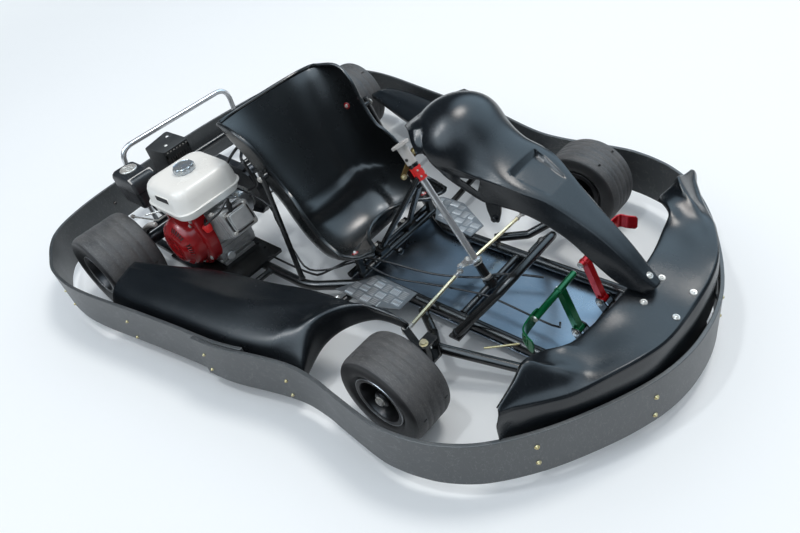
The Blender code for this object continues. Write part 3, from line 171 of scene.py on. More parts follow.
class Shape:
    # gathers the solids of one piece, then makes the object
    def __init__(self):
        self.points, self.faces, self.paints, self.paint = [], [], [], 0

    def add(self, points, faces):
        start = len(self.points)
        self.points += [Vector(p) for p in points]
        self.faces += [tuple(start + k for k in face) for face in faces]
        self.paints += [self.paint] * len(faces)
        return self

    def skin(self, rings, loop=False, caps=True):
        # faces between rings of equal count, each ring closed on itself
        count = len(rings[0])
        faces = []
        pairs = len(rings) if loop else len(rings) - 1
        for r in range(pairs):
            low, high = r * count, (r + 1) % len(rings) * count
            for k in range(count):
                faces.append((low + k, low + (k + 1) % count, high + (k + 1) % count, high + k))
        if caps and not loop:
            faces.append(tuple(range(count))[::-1])
            faces.append(tuple(range((len(rings) - 1) * count, len(rings) * count)))
        return self.add([point for ring in rings for point in ring], faces)

    def tube(self, path, radius, count=20):
        path = [Vector(p) for p in path]
        radii = radius if isinstance(radius, (list, tuple)) else [radius] * len(path)
        normal = None
        rings = []
        for i, point in enumerate(path):
            along = (path[min(i + 1, len(path) - 1)] - path[max(i - 1, 0)]).normalized()
            normal = along.orthogonal() if normal is None else normal
            normal = (normal - along * normal.dot(along)).normalized()
            across = along.cross(normal)
            rings.append([point + (normal * x + across * y) * radii[i] for x, y in circle(1, count)])
        return self.skin(rings)

    def turn(self, profile, matrix, count=32, loop=False):
        rings = [[matrix @ Vector((x, y, height)) for x, y in circle(radius, count)]
            for radius, height in profile]
        return self.skin(rings, loop)

    def block(self, size, matrix):
        x, y, z = (value / 2 for value in size)
        ring = ((-x, -y), (x, -y), (x, y), (-x, y))
        return self.skin([[matrix @ Vector((*p, h)) for p in ring] for h in (-z, z)])

    def span(self, low, high):
        low, high = Vector(low), Vector(high)
        return self.block(high - low, Matrix.Translation((low + high) / 2))

    def prism(self, outline, low, high, matrix):
        return self.skin([[matrix @ Vector((p[0], p[1], h)) for p in outline] for h in (low, high)])

    def ring(self, outer, inner, low, high, matrix):
        # a flat ring between two outlines of equal count
        stack = ((outer, low), (outer, high), (inner, high), (inner, low))
        return self.skin([[matrix @ Vector((p[0], p[1], h)) for p in line] for line, h in stack], loop=True)

    def pierced(self, outline, holes, low, high, matrix):
        # a flat plate with holes, filled by a flat curve
        curve = bpy.data.curves.new('outline', 'CURVE')
        curve.dimensions = '2D'
        curve.fill_mode = 'BOTH'
        curve.extrude = (high - low) / 2
        for line in (outline, *holes):
            spline = curve.splines.new('POLY')
            spline.points.add(len(line) - 1)
            spline.use_cyclic_u = True
            for point, place in zip(spline.points, line):
                point.co = (place[0], place[1], 0, 1)
        helper = bpy.data.objects.new('outline', curve)
        mesh = helper.to_mesh()
        lift = matrix @ at(0, 0, (low + high) / 2)
        self.add([lift @ v.co for v in mesh.vertices], [tuple(f.vertices) for f in mesh.polygons])
        helper.to_mesh_clear()
        bpy.data.objects.remove(helper)
        bpy.data.curves.remove(curve)
        return self

    def hexBolt(self, matrix, radius=0.006, height=0.005, washer=0.0):
        if washer:
            self.turn([(washer, 0), (washer, 0.0012), (radius * 0.7, 0.0014), (radius * 0.7, 0.0002)],
                matrix, 24, loop=True)
        crown = [(radius, washer and 0.0013), (radius, height * 0.86), (radius * 0.86, height),
            (radius * 0.3, height)]
        return self.turn(crown, matrix, 6)

    def cupBolt(self, matrix, radius=0.0095):
        # a dished washer with a button head and its socket
        self.turn([(radius, 0), (radius, 0.0008), (radius * 0.84, 0.0027), (radius * 0.6, 0.0024),
            (radius * 0.56, 0.0024), (radius * 0.53, 0.004), (radius * 0.34, 0.0054),
            (radius * 0.23, 0.0054), (radius * 0.2, 0.003)], matrix, 24)
        return self

    def bead(self, center, axis, radius, size=0.0022, count=40):
        # a weld bead round a tube, slightly rippled
        place = facing(center, axis)
        rings = []
        for i in range(count):
            angle = 2 * pi * i / count
            swell = size * (1.0 + 0.22 * sin(i * 2.4))
            middle = Vector((cos(angle), sin(angle), 0))
            rings.append([place @ (middle * (radius + x * swell) + Vector((0, 0, y * swell * 1.6)))
                for x, y in circle(1, 8)])
        return self.skin(rings, loop=True)

    def make(self, name, look, replaces=None, **details):
        mesh = bpy.data.meshes.new(name)
        mesh.from_pydata(self.points, [], self.faces)
        mesh.polygons.foreach_set('material_index', self.paints)
        work = bmesh.new()
        work.from_mesh(mesh)
        bmesh.ops.remove_doubles(work, verts=work.verts, dist=0.000003)
        bmesh.ops.recalc_face_normals(work, faces=work.faces)
        work.to_mesh(mesh)
        work.free()
        return dress(name, mesh, look, replaces, **details)


def placed(name, data):
    # a new object of the scene
    made = bpy.data.objects.new(name, data)
    bpy.context.scene.collection.objects.link(made)
    return made


def softEdges(piece, width, segments, angle, harden=False):
    edges = piece.modifiers.new('Edges', 'BEVEL')
    edges.width = width
    edges.segments = segments
    edges.limit_method = 'ANGLE'
    edges.angle_limit = radians(angle)
    edges.harden_normals = harden


def dress(name, mesh, look, replaces=None, body='chassis', slot=None, bevel=0.0, angle=35, segments=2):
    # puts the mesh in the scene with its finish, soft edges and the body that carries it
    chosen = [look] if isinstance(look, str) else look
    for key in chosen:
        mesh.materials.append(finish[key])
    mesh.shade_smooth()
    mesh.set_sharp_from_angle(angle=radians(angle))
    piece = placed(name, mesh)
    if bevel:
        softEdges(piece, bevel, segments, 40, harden=True)
    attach(piece, body)
    if replaces:
        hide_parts(replaces)
    return piece


def nearestOnOutline(point, outline):
    # the closest spot to the point on a closed outline
    best = None
    for start, end in zip(outline, outline[1:] + outline[:1]):
        edge = end - start
        spot = start + edge * max(0, min(1, (point - start).dot(edge) / edge.length_squared))
        if best is None or (spot - point).length < (best - point).length:
            best = spot
    return best


def cutWindow(points, faces, window, reach):
    # drops the faces inside a window drawn in X and Z, and pulls the edge that is left onto its outline
    outline = [Vector(p) for p in window]
    corners = [(p.x, p.y) for p in outline]
    kept, dropped = [], []
    for face in faces:
        middle = sum((points[k] for k in face), Vector()) / len(face)
        hole = abs(middle.y) > reach and inside((middle.x, middle.z), corners, 0)
        (dropped if hole else kept).append(face)
    border = {k for face in kept for k in face} & {k for face in dropped for k in face}
    for k in border:
        spot = nearestOnOutline(Vector((points[k].x, points[k].z)), outline)
        points[k] = Vector((spot.x, points[k].y, spot.y))
    return kept


def domed(grid, egg, weight):
    # each point of the grid drawn onto an egg, as far as its weight goes
    middle, radii = Vector(egg['middle']), egg['radii']
    tall, wide = len(grid), len(grid[0])
    for r, row in enumerate(grid):
        for c, point in enumerate(row):
            share = weight(r / (tall - 1), c / (wide - 1))
            if share:
                ray = point - middle
                reach = sqrt(sum((ray[i] / radii[i]) ** 2 for i in range(3)))
                row[c] = point.lerp(middle + ray / reach, share)
    return grid


def sheetPiece(name, rows, thickness, look, replaces, steps, breaks=((), ()), edge=0.0008, press=None,
        window=None, bulge=None):
    # a moulded skin through rows of measured points, its top side drawn and its wall below
    across = [splineThrough(row, steps[1], breaks[1]) for row in rows]
    columns = [splineThrough(column, steps[0], breaks[0]) for column in zip(*across)]
    grid = [list(row) for row in zip(*columns)]
    if bulge:
        grid = domed(grid, *bulge)
    width = len(grid[0])
    points = [press(point) if press else point for row in grid for point in row]
    faces = [(r * width + c, r * width + c + 1, (r + 1) * width + c + 1, (r + 1) * width + c)
        for r in range(len(grid) - 1) for c in range(width - 1)]
    if window:
        faces = cutWindow(points, faces, *window)
    mesh = bpy.data.meshes.new(name)
    mesh.from_pydata(points, [], faces)
    if sum(face.normal.z * face.area for face in mesh.polygons) < 0:
        mesh.flip_normals()
    surface = BVHTree.FromPolygons(points, faces)
    piece = dress(name, mesh, look, replaces, angle=50)
    wall = piece.modifiers.new('Wall', 'SOLIDIFY')
    wall.thickness = thickness
    wall.offset = -1
    softEdges(piece, edge, 2, 60)
    return surface


def resting(surface, start, direction=(0, 0, -1)):
    # the place on a surface that a line from the start meets, facing out of it
    spot, normal = surface.ray_cast(Vector(start), Vector(direction))[:2]
    if normal.dot(Vector(direction)) > 0:
        normal = -normal
    return facing(spot, normal)


# Finishes

def addNode(tree, kind, feed=None, **settings):
    made = tree.nodes.new(kind)
    for key, value in settings.items():
        setattr(made, key, value)
    for key, value in (feed or {}).items():
        if isinstance(value, bpy.types.NodeSocket):
            tree.links.new(value, made.inputs[key])
        else:
            made.inputs[key].default_value = value
    return made


groups = {}


class Group:
    # a node group with number inputs and one number output
    def __init__(self, name, **inputs):
        self.name = name
        self.tree = bpy.data.node_groups.new(name, 'ShaderNodeTree')
        for label, value in inputs.items():
            socket = self.tree.interface.new_socket(label, in_out='INPUT', socket_type='NodeSocketFloat')
            socket.default_value = value
        self.tree.interface.new_socket('Value', in_out='OUTPUT', socket_type='NodeSocketFloat')
        self.given = self.tree.nodes.new('NodeGroupInput').outputs
        self.place = addNode(self.tree, 'ShaderNodeTexCoord').outputs['Object']

    def noise(self, vector, detail, **more):
        feed = {'Vector': vector, 'Scale': self.given['Scale'], 'Detail': detail, **more}
        return addNode(self.tree, 'ShaderNodeTexNoise', feed).outputs[0]

    def mapping(self, **feed):
        return addNode(self.tree, 'ShaderNodeMapping', {'Vector': self.place, **feed}).outputs[0]

    def maths(self, operation, *values):
        return addNode(self.tree, 'ShaderNodeMath', dict(enumerate(values)), operation=operation).outputs[0]

    def between(self, value, low, high):
        # 0 at the low value and 1 at the high one
        feed = {'Value': value, 'From Min': low, 'From Max': high}
        return addNode(self.tree, 'ShaderNodeMapRange', feed).outputs[0]

    def end(self, result):
        self.tree.links.new(result, self.tree.nodes.new('NodeGroupOutput').inputs[0])
        groups[self.name] = self.tree


def buildGroups():
    # soft patches of a second tone
    group = Group('patches', Scale=8.0, Contrast=0.3)
    noise = group.noise(group.place, 6.0, Roughness=0.62)
    low = group.maths('SUBTRACT', 0.5, group.given['Contrast'])
    high = group.maths('ADD', 0.5, group.given['Contrast'])
    group.end(group.between(noise, low, high))
    # bare edges, broken up by noise
    group = Group('edgeWear', Start=0.53, Scale=60.0)
    bend = addNode(group.tree, 'ShaderNodeNewGeometry').outputs['Pointiness']
    full = group.maths('ADD', group.given['Start'], 0.06)
    edge = group.between(bend, group.given['Start'], full)
    broken = group.between(group.noise(group.place, 5.0), 0.42, 0.6)
    group.end(group.maths('MULTIPLY', edge, broken))
    # moulded or cast grain, as a height
    group = Group('grain', Scale=600.0)
    cells = addNode(group.tree, 'ShaderNodeTexVoronoi',
        {'Vector': group.place, 'Scale': group.given['Scale']})
    group.end(group.maths('ADD', group.noise(group.place, 3.0), cells.outputs[0]))
    # fine scratches that run mostly one way
    group = Group('scratches', Scale=20.0, Width=0.012)
    turned = group.mapping(Rotation=(0.3, 0.2, 0.6), Scale=(1.0, 9.0, 3.0))
    gap = group.maths('SUBTRACT', group.noise(turned, 4.0, Distortion=0.4), 0.5)
    group.end(group.between(group.maths('ABSOLUTE', gap), group.given['Width'], 0.0))
    # dust that settles on what faces up
    group = Group('dust', Scale=14.0, Amount=0.2)
    normal = addNode(group.tree, 'ShaderNodeNewGeometry').outputs['Normal']
    upward = addNode(group.tree, 'ShaderNodeSeparateXYZ', {0: normal}).outputs['Z']
    patch = group.between(group.noise(group.place, 8.0, Roughness=0.7), 0.35, 0.75)
    both = group.maths('MULTIPLY', group.between(upward, 0.15, 0.95), patch)
    group.end(group.maths('MULTIPLY', both, group.given['Amount']))
    # drawn or brushed metal, as a height
    group = Group('brushed', Scale=300.0)
    group.end(group.noise(group.mapping(Scale=(0.04, 1.0, 1.0)), 3.0))


buildGroups()
dustColour = (0.3, 0.28, 0.25)

# the slot that each finish stands for, its two colours and range of roughness, then what else it has
looks = {
    'moulded': {'slot': 'black_moulded_plastic', 'colour': (0.0030, 0.0045, 0.0062),
        'second': (0.0050, 0.0068, 0.0090), 'rough': (0.20, 0.30), 'patch': (5.0, 0.25),
        'grain': (900.0, 0.00006), 'scratch': (18.0, 0.006, (0.020, 0.023, 0.026)), 'dust': 0.008,
        'wear': (0.58, (0.05, 0.055, 0.06)), 'gloss': 0.48},
    'seatGloss': {'slot': 'black_gloss_plastic', 'colour': (0.0035, 0.0045, 0.0052),
        'second': (0.0060, 0.0072, 0.0080), 'rough': (0.22, 0.32), 'patch': (4.0, 0.22),
        'grain': (300.0, 0.00005), 'scratch': (26.0, 0.005, (0.02, 0.022, 0.024)), 'dust': 0.008,
        'gloss': 0.62},
    'bumper': {'slot': 'black_bumper_plastic', 'colour': (0.030, 0.035, 0.038),
        'second': (0.048, 0.054, 0.058), 'rough': (0.36, 0.48), 'patch': (7.0, 0.28),
        'grain': (700.0, 0.00008), 'scratch': (12.0, 0.012, (0.10, 0.105, 0.11)), 'dust': 0.05,
        'wear': (0.54, (0.16, 0.16, 0.17)), 'gloss': 0.8},
    'blackPaint': {'slot': 'black_painted_steel', 'colour': (0.0045, 0.0055, 0.0065),
        'second': (0.008, 0.009, 0.010), 'rough': (0.16, 0.30), 'patch': (14.0, 0.25),
        'grain': (420.0, 0.00004), 'dust': 0.06, 'wear': (0.57, (0.10, 0.095, 0.09)), 'gloss': 0.6},
    'tread': {'slot': 'tyre_rubber', 'colour': (0.030, 0.031, 0.033), 'second': (0.075, 0.076, 0.078),
        'rough': (0.50, 0.75), 'patch': (16.0, 0.22), 'grain': (380.0, 0.0002),
        'scratch': (30.0, 0.02, (0.12, 0.12, 0.12)), 'dust': 0.10},
    'sidewall': {'slot': 'tyre_rubber', 'colour': (0.010, 0.010, 0.011), 'second': (0.020, 0.020, 0.021),
        'rough': (0.38, 0.55), 'patch': (20.0, 0.25), 'grain': (500.0, 0.0001), 'dust': 0.05},
    'wheelBlack': {'slot': 'dark_alloy', 'colour': (0.014, 0.014, 0.016), 'second': (0.030, 0.030, 0.033),
        'rough': (0.25, 0.40), 'patch': (25.0, 0.25), 'metal': 0.6, 'grain': (300.0, 0.00004),
        'dust': 0.08, 'wear': (0.55, (0.30, 0.30, 0.31))},
    'polished': {'slot': 'bright_steel', 'colour': (0.76, 0.78, 0.80), 'second': (0.66, 0.68, 0.70),
        'rough': (0.12, 0.22), 'patch': (18.0, 0.28), 'metal': 0.72,
        'scratch': (40.0, 0.006, (0.45, 0.45, 0.46))},
    'steel': {'slot': 'bright_steel', 'colour': (0.50, 0.52, 0.54), 'second': (0.34, 0.35, 0.36),
        'rough': (0.25, 0.42), 'patch': (30.0, 0.28), 'metal': 0.75, 'grain': (400.0, 0.00004),
        'scratch': (50.0, 0.02, (0.22, 0.21, 0.20))},
    # the rear axle is bright steel, drawn near-black: painted shade
    'axleSteel': {'slot': 'bright_steel', 'colour': (0.030, 0.034, 0.042), 'second': (0.050, 0.052, 0.056),
        'rough': (0.26, 0.40), 'patch': (20.0, 0.28), 'metal': 0.8, 'grain': (400.0, 0.00004),
        'scratch': (50.0, 0.01, (0.10, 0.10, 0.10))},
    'zinc': {'slot': 'yellow_zinc', 'colour': (0.66, 0.56, 0.33), 'second': (0.70, 0.66, 0.50),
        'rough': (0.22, 0.40), 'patch': (30.0, 0.2), 'metal': 0.7, 'grain': (420.0, 0.00003)},
    'brassBolt': {'slot': 'yellow_zinc', 'colour': (0.52, 0.42, 0.18), 'second': (0.60, 0.56, 0.38),
        'rough': (0.25, 0.45), 'patch': (60.0, 0.2), 'metal': 0.6, 'grain': (500.0, 0.00003)},
    'agedBrass': {'slot': 'yellow_zinc', 'colour': (0.115, 0.075, 0.022), 'second': (0.20, 0.14, 0.05),
        'rough': (0.28, 0.45), 'patch': (40.0, 0.25), 'metal': 0.6, 'grain': (420.0, 0.00004)},
    'boltSteel': {'slot': 'bright_steel', 'colour': (0.66, 0.66, 0.64), 'second': (0.52, 0.51, 0.48),
        'rough': (0.20, 0.36), 'patch': (80.0, 0.2), 'metal': 0.5, 'grain': (600.0, 0.00003)},
    'aluminiumSheet': {'slot': 'aluminium', 'colour': (0.26, 0.32, 0.38), 'second': (0.20, 0.25, 0.31),
        'rough': (0.22, 0.38), 'patch': (6.0, 0.25), 'metal': 1.0, 'brush': (500.0, 0.00004), 'dust': 0.10,
        'scratch': (22.0, 0.012, (0.30, 0.33, 0.38))},
    'treadGround': {'slot': 'aluminium', 'colour': (0.30, 0.33, 0.35), 'second': (0.22, 0.24, 0.26),
        'rough': (0.30, 0.46), 'patch': (24.0, 0.25), 'metal': 0.7, 'grain': (500.0, 0.00004),
        'dust': 0.10},
    'treadPlate': {'slot': 'aluminium', 'colour': (0.78, 0.80, 0.82), 'second': (0.60, 0.62, 0.64),
        'rough': (0.26, 0.42), 'patch': (24.0, 0.25), 'metal': 0.6, 'grain': (500.0, 0.00004),
        'dust': 0.12, 'scratch': (40.0, 0.02, (0.30, 0.30, 0.30))},
    'castAluminium': {'slot': 'cast_aluminium', 'colour': (0.56, 0.58, 0.58), 'second': (0.36, 0.37, 0.38),
        'rough': (0.32, 0.50), 'patch': (28.0, 0.25), 'metal': 0.45, 'grain': (650.0, 0.00014),
        'dust': 0.08},
    'redPaint': {'slot': 'red_painted_steel', 'colour': (0.30, 0.004, 0.007),
        'second': (0.22, 0.003, 0.005), 'rough': (0.18, 0.30), 'patch': (12.0, 0.25),
        'grain': (300.0, 0.00003), 'dust': 0.04, 'gloss': 0.6, 'wear': (0.57, (0.25, 0.06, 0.05))},
    'redPlastic': {'slot': 'red_plastic', 'colour': (0.72, 0.020, 0.020), 'second': (0.60, 0.016, 0.016),
        'rough': (0.30, 0.42), 'patch': (30.0, 0.25), 'grain': (700.0, 0.00006)},
    'redPedal': {'slot': 'red_painted_steel', 'colour': (0.52, 0.006, 0.012),
        'second': (0.40, 0.005, 0.010), 'rough': (0.14, 0.26), 'patch': (20.0, 0.25), 'metal': 0.45,
        'grain': (420.0, 0.00003), 'gloss': 0.6, 'wear': (0.57, (0.5, 0.2, 0.2))},
    'greenPedal': {'slot': 'green_painted_steel', 'colour': (0.004, 0.15, 0.050),
        'second': (0.003, 0.11, 0.036), 'rough': (0.14, 0.26), 'patch': (20.0, 0.25), 'metal': 0.45,
        'grain': (420.0, 0.00003), 'gloss': 0.6, 'wear': (0.57, (0.3, 0.5, 0.4))},
    'tankWhite': {'slot': 'white_painted_steel', 'colour': (0.83, 0.85, 0.83),
        'second': (0.78, 0.80, 0.78), 'rough': (0.20, 0.30), 'patch': (8.0, 0.25),
        'grain': (160.0, 0.00003), 'dust': 0.03, 'gloss': 0.5, 'wear': (0.58, (0.45, 0.44, 0.40))},
    'capChrome': {'slot': 'bright_steel', 'colour': (0.36, 0.44, 0.56), 'second': (0.50, 0.50, 0.44),
        'rough': (0.14, 0.24), 'patch': (40.0, 0.22), 'metal': 0.7, 'grain': (500.0, 0.00002)},
    'lightGrey': {'slot': 'light_grey_paint', 'colour': (0.50, 0.50, 0.49), 'second': (0.42, 0.42, 0.41),
        'rough': (0.35, 0.50), 'patch': (40.0, 0.25), 'grain': (400.0, 0.00006), 'gloss': 0.5,
        'wear': (0.56, (0.28, 0.27, 0.25))},
    'rubber': {'slot': 'black_rubber', 'colour': (0.010, 0.010, 0.011), 'second': (0.018, 0.018, 0.019),
        'rough': (0.38, 0.52), 'patch': (40.0, 0.25), 'grain': (700.0, 0.00006)},
    'boxBlack': {'slot': 'black_moulded_plastic', 'colour': (0.005, 0.006, 0.008),
        'second': (0.009, 0.011, 0.014), 'rough': (0.34, 0.46), 'patch': (20.0, 0.25),
        'grain': (1100.0, 0.00012), 'dust': 0.02, 'gloss': 0.6, 'wear': (0.56, (0.08, 0.08, 0.085))},
    'exhaustBlack': {'slot': 'black_painted_steel', 'colour': (0.006, 0.007, 0.008),
        'second': (0.012, 0.012, 0.012), 'rough': (0.42, 0.60), 'patch': (20.0, 0.25),
        'grain': (500.0, 0.00010), 'dust': 0.04, 'gloss': 0.6, 'wear': (0.56, (0.12, 0.10, 0.09))},
    # near-black for painted shade, laid where slots and recesses show their dark inside
    'deepBlack': {'slot': 'black_moulded_plastic', 'colour': (0.004, 0.004, 0.005),
        'second': (0.008, 0.008, 0.009), 'rough': (0.5, 0.7), 'patch': (20.0, 0.25),
        'grain': (400.0, 0.00006)},
}


def newFinish(name, look):
    material = bpy.data.materials.new(name)
    material.use_nodes = True
    tree = material.node_tree
    shader = tree.nodes['Principled BSDF']

    def effect(label, **feed):
        made = addNode(tree, 'ShaderNodeGroup', node_tree=groups[label])
        for key, value in feed.items():
            made.inputs[key].default_value = value
        return made.outputs[0]

    def mixed(mask, below, above):
        made = addNode(tree, 'ShaderNodeMix', {0: mask, 7: (*above, 1)}, data_type='RGBA')
        if isinstance(below, bpy.types.NodeSocket):
            tree.links.new(below, made.inputs[6])
        else:
            made.inputs[6].default_value = (*below, 1)
        return made.outputs[2]

    patches = effect('patches', Scale=look['patch'][0], Contrast=look['patch'][1])
    colour = mixed(patches, look['colour'], look['second'])
    if 'scratch' in look:
        scale, width, tone = look['scratch']
        colour = mixed(effect('scratches', Scale=scale, Width=width), colour, tone)
    if 'wear' in look:
        start, tone = look['wear']
        colour = mixed(effect('edgeWear', Start=start), colour, tone)
    if 'dust' in look:
        colour = mixed(effect('dust', Amount=look['dust']), colour, dustColour)
    tree.links.new(colour, shader.inputs['Base Color'])
    low, high = look['rough']
    rough = addNode(tree, 'ShaderNodeMapRange', {'Value': patches, 'To Min': low, 'To Max': high})
    tree.links.new(rough.outputs[0], shader.inputs['Roughness'])
    shader.inputs['Metallic'].default_value = look.get('metal', 0.0)
    shader.inputs['Specular IOR Level'].default_value = look.get('gloss', 0.5)
    for key in ('grain', 'brush'):
        if key in look:
            scale, depth = look[key]
            height = effect('grain' if key == 'grain' else 'brushed', Scale=scale)
            bump = addNode(tree, 'ShaderNodeBump', {'Height': height, 'Strength': 1.0, 'Distance': depth})
            tree.links.new(bump.outputs[0], shader.inputs['Normal'])
    return material


finish = {name: newFinish(name, look) for name, look in looks.items()}
print('finishes made:', len(finish))


# Camera, light and floor

view = {
    'place': (1.35155, -1.05098, 1.34995), 'turn': 50.263, 'rise': 39.895, 'roll': -14.772, 'lens': 30.08,
}
studio = {
    'floor': (0.845, 0.905, 0.945), 'dim': (0.045, 0.065, 0.085),
    # each panel's direction, tone, and how narrow it starts and fills
    'panels': (
        ((0.13, 0.73, 0.67), (1.35, 1.84, 2.25), 0.745, 0.93),
        ((0.0, -0.47, 0.88), (2.40, 2.95, 3.40), 0.745, 0.93),
        ((0.56, -0.02, 0.83), (1.45, 1.85, 2.20), 0.90, 0.985),
        ((-0.26, -0.51, 0.82), (15.0, 15.5, 16.0), 0.988, 0.997)),
    'fill': (0.975, 0.995, 1.03), 'ambient': 0.76, 'shown': (0.855, 0.921, 0.965), 'floorHalf': 14.0,
    'fade': (2.6, 6.5),
}
lamps = {
    'key': {
        'place': (1.24, 3.30, 8.30), 'aim': (0.0, 0.0, 0.1), 'size': 2.4, 'power': 250.0,
        'colour': (1.0, 0.94, 0.88)
    },
    'spark': {
        'place': (-0.11, -1.34, 4.87), 'aim': (0.43, -0.08, 0.59), 'size': 0.34, 'power': 34.0,
        'colour': (1.0, 0.99, 0.98)
    },
}


def buildCamera():
    turn, rise, roll = (radians(view[key]) for key in ('turn', 'rise', 'roll'))
    back = Vector((sin(turn) * cos(rise), -cos(turn) * cos(rise), sin(rise)))
    level = Vector((cos(turn), sin(turn), 0))
    upright = back.cross(level)
    right = cos(roll) * level + sin(roll) * upright
    up = cos(roll) * upright - sin(roll) * level
    data = bpy.data.cameras.new('camera')
    data.sensor_width = 36
    data.lens = view['lens']
    camera = placed('camera', data)
    camera.matrix_world = framed(view['place'], right, up, back)
    bpy.context.scene.camera = camera
    bpy.context.scene.view_settings.view_transform = 'Standard'


def buildWorld():
    world = bpy.data.worlds.new('studio')
    bpy.context.scene.world = world
    world.use_nodes = True
    tree = world.node_tree
    background = tree.nodes['Background']
    way = addNode(tree, 'ShaderNodeTexCoord').outputs['Generated']
    sky = (*studio['dim'], 1)
    for aim, tone, low, high in studio['panels']:
        near = addNode(tree, 'ShaderNodeVectorMath', {0: way, 1: tuple(Vector(aim).normalized())},
            operation='DOT_PRODUCT').outputs['Value']
        share = addNode(tree, 'ShaderNodeMapRange', {'Value': near, 'From Min': low, 'From Max': high},
            interpolation_type='SMOOTHSTEP').outputs[0]
        sky = addNode(tree, 'ShaderNodeMix', {0: share, 6: sky, 7: (*tone, 1)}, data_type='RGBA').outputs[2]
    path = addNode(tree, 'ShaderNodeLightPath').outputs
    mirror = addNode(tree, 'ShaderNodeMath', {0: path['Is Glossy Ray'], 1: path['Is Transmission Ray']},
        operation='MAXIMUM').outputs[0]
    fill = tuple(value * studio['ambient'] for value in studio['fill'])
    lit = addNode(tree, 'ShaderNodeMix', {0: mirror, 6: (*fill, 1), 7: sky}, data_type='RGBA').outputs[2]
    seen = addNode(tree, 'ShaderNodeMix', {0: path['Is Camera Ray'], 6: lit, 7: (*studio['shown'], 1)},
        data_type='RGBA').outputs[2]
    tree.links.new(seen, background.inputs['Color'])


def buildLamps():
    for name, lamp in lamps.items():
        data = bpy.data.lights.new(name + 'Lamp', 'AREA')
        data.shape = 'DISK'
        data.size = lamp['size']
        data.energy = lamp['power']
        data.color = lamp['colour']
        light = placed(name + 'Lamp', data)
        light.location = lamp['place']
        aim = Vector(lamp['aim']) - Vector(lamp['place'])
        light.rotation_euler = aim.to_track_quat('-Z', 'Y').to_euler()


def buildFloor():
    half = studio['floorHalf']
    mesh = bpy.data.meshes.new('studioFloor')
    mesh.from_pydata([(-half, -half, 0), (half, -half, 0), (half, half, 0), (-half, half, 0)], [],
        [(0, 1, 2, 3)])
    material = bpy.data.materials.new('studioFloor')
    material.use_nodes = True
    tree = material.node_tree
    shader = tree.nodes['Principled BSDF']
    patches = addNode(tree, 'ShaderNodeGroup', node_tree=groups['patches'])
    patches.inputs['Scale'].default_value = 0.8
    tone = tuple(value * 0.985 for value in studio['floor'])
    colour = addNode(tree, 'ShaderNodeMix', {0: patches.outputs[0], 6: (*studio['floor'], 1),
        7: (*tone, 1)}, data_type='RGBA').outputs[2]
    tree.links.new(colour, shader.inputs['Base Color'])
    shader.inputs['Roughness'].default_value = 0.9
    shader.inputs['Specular IOR Level'].default_value = 0.1
    place = addNode(tree, 'ShaderNodeTexCoord').outputs['Object']
    away = addNode(tree, 'ShaderNodeVectorMath', {0: place}, operation='LENGTH').outputs['Value']
    far = addNode(tree, 'ShaderNodeMapRange',
        {'Value': away, 'From Min': studio['fade'][0], 'From Max': studio['fade'][1]},
        interpolation_type='SMOOTHSTEP').outputs[0]
    pale = addNode(tree, 'ShaderNodeEmission', {'Color': (*studio['shown'], 1), 'Strength': 1.0}).outputs[0]
    blend = addNode(tree, 'ShaderNodeMixShader', {0: far, 1: shader.outputs[0], 2: pale}).outputs[0]
    tree.links.new(blend, tree.nodes['Material Output'].inputs['Surface'])
    mesh.materials.append(material)
    placed('studioFloor', mesh)


buildCamera()
buildWorld()
buildLamps()
buildFloor()
print('camera, light and floor set')


# Places shared by several pieces

axleFront = 0.497
axleRear = -0.63
railZ = 0.062
railTop = 0.077
railFrontY = 0.145
railRearY = 0.27
columnRake = radians(58.8)
columnFoot = Vector((0.452, 0, 0.07))
columnAxis = Vector((-cos(columnRake), 0, sin(columnRake)))
columnFront = Vector((sin(columnRake), 0, cos(columnRake)))
crank = Vector((-0.408, 0, 0.199))
seatCrossX = 0.095


def onColumn(height, forward=0.0, sideways=0.0):
    # a spot at a height along the steering column
    return columnFoot + columnAxis * height + columnFront * forward + Vector((0, sideways, 0))


def columnPlace(height, forward=0.0, sideways=0.0):
    return framed(onColumn(height, forward, sideways), columnFront, (0, 1, 0), columnAxis)


# Cords, held all the way

overCross = railTop + 0.0255
cords = {
    'brakeHose': {
        'node': 'brake_hose', 'radius': 0.0035, 'count': 60,
        'route': [(0.575, 0.080, 0.078), (0.514, 0.057, 0.080), (0.455, 0.0285, 0.079),
            (0.400, 0.000, 0.066), (0.277, -0.050, 0.068), (seatCrossX + 0.040, -0.104, overCross),
            (seatCrossX - 0.040, -0.134, overCross), (0.006, -0.212, 0.092), (-0.060, -0.228, 0.066),
            (-0.300, -0.228, 0.060), (-0.500, -0.215, 0.060), (-0.548, -0.100, 0.060),
            (-0.548, 0.080, 0.060), (-0.522, 0.148, 0.070), (-0.522, 0.154, 0.1125)]
    },
    'throttleCable': {
        'node': 'throttle_cable', 'radius': 0.003, 'count': 60,
        'route': [(0.715, -0.070, 0.110), (0.690, -0.062, 0.078), (0.500, -0.054, 0.078),
            (0.430, -0.064, 0.078), (0.300, -0.090, 0.070), (0.198, -0.122, 0.074),
            (seatCrossX + 0.030, -0.142, overCross), (seatCrossX - 0.030, -0.149, overCross),
            (0.025, -0.205, 0.104), (-0.060, -0.232, 0.088), (-0.130, -0.216, 0.120),
            (-0.165, -0.214, 0.220), (-0.190, -0.212, 0.285), (-0.400, -0.212, 0.297),
            (-0.485, -0.228, 0.297), (-0.512, -0.262, 0.294), (-0.548, -0.290, 0.262)]
    },
}


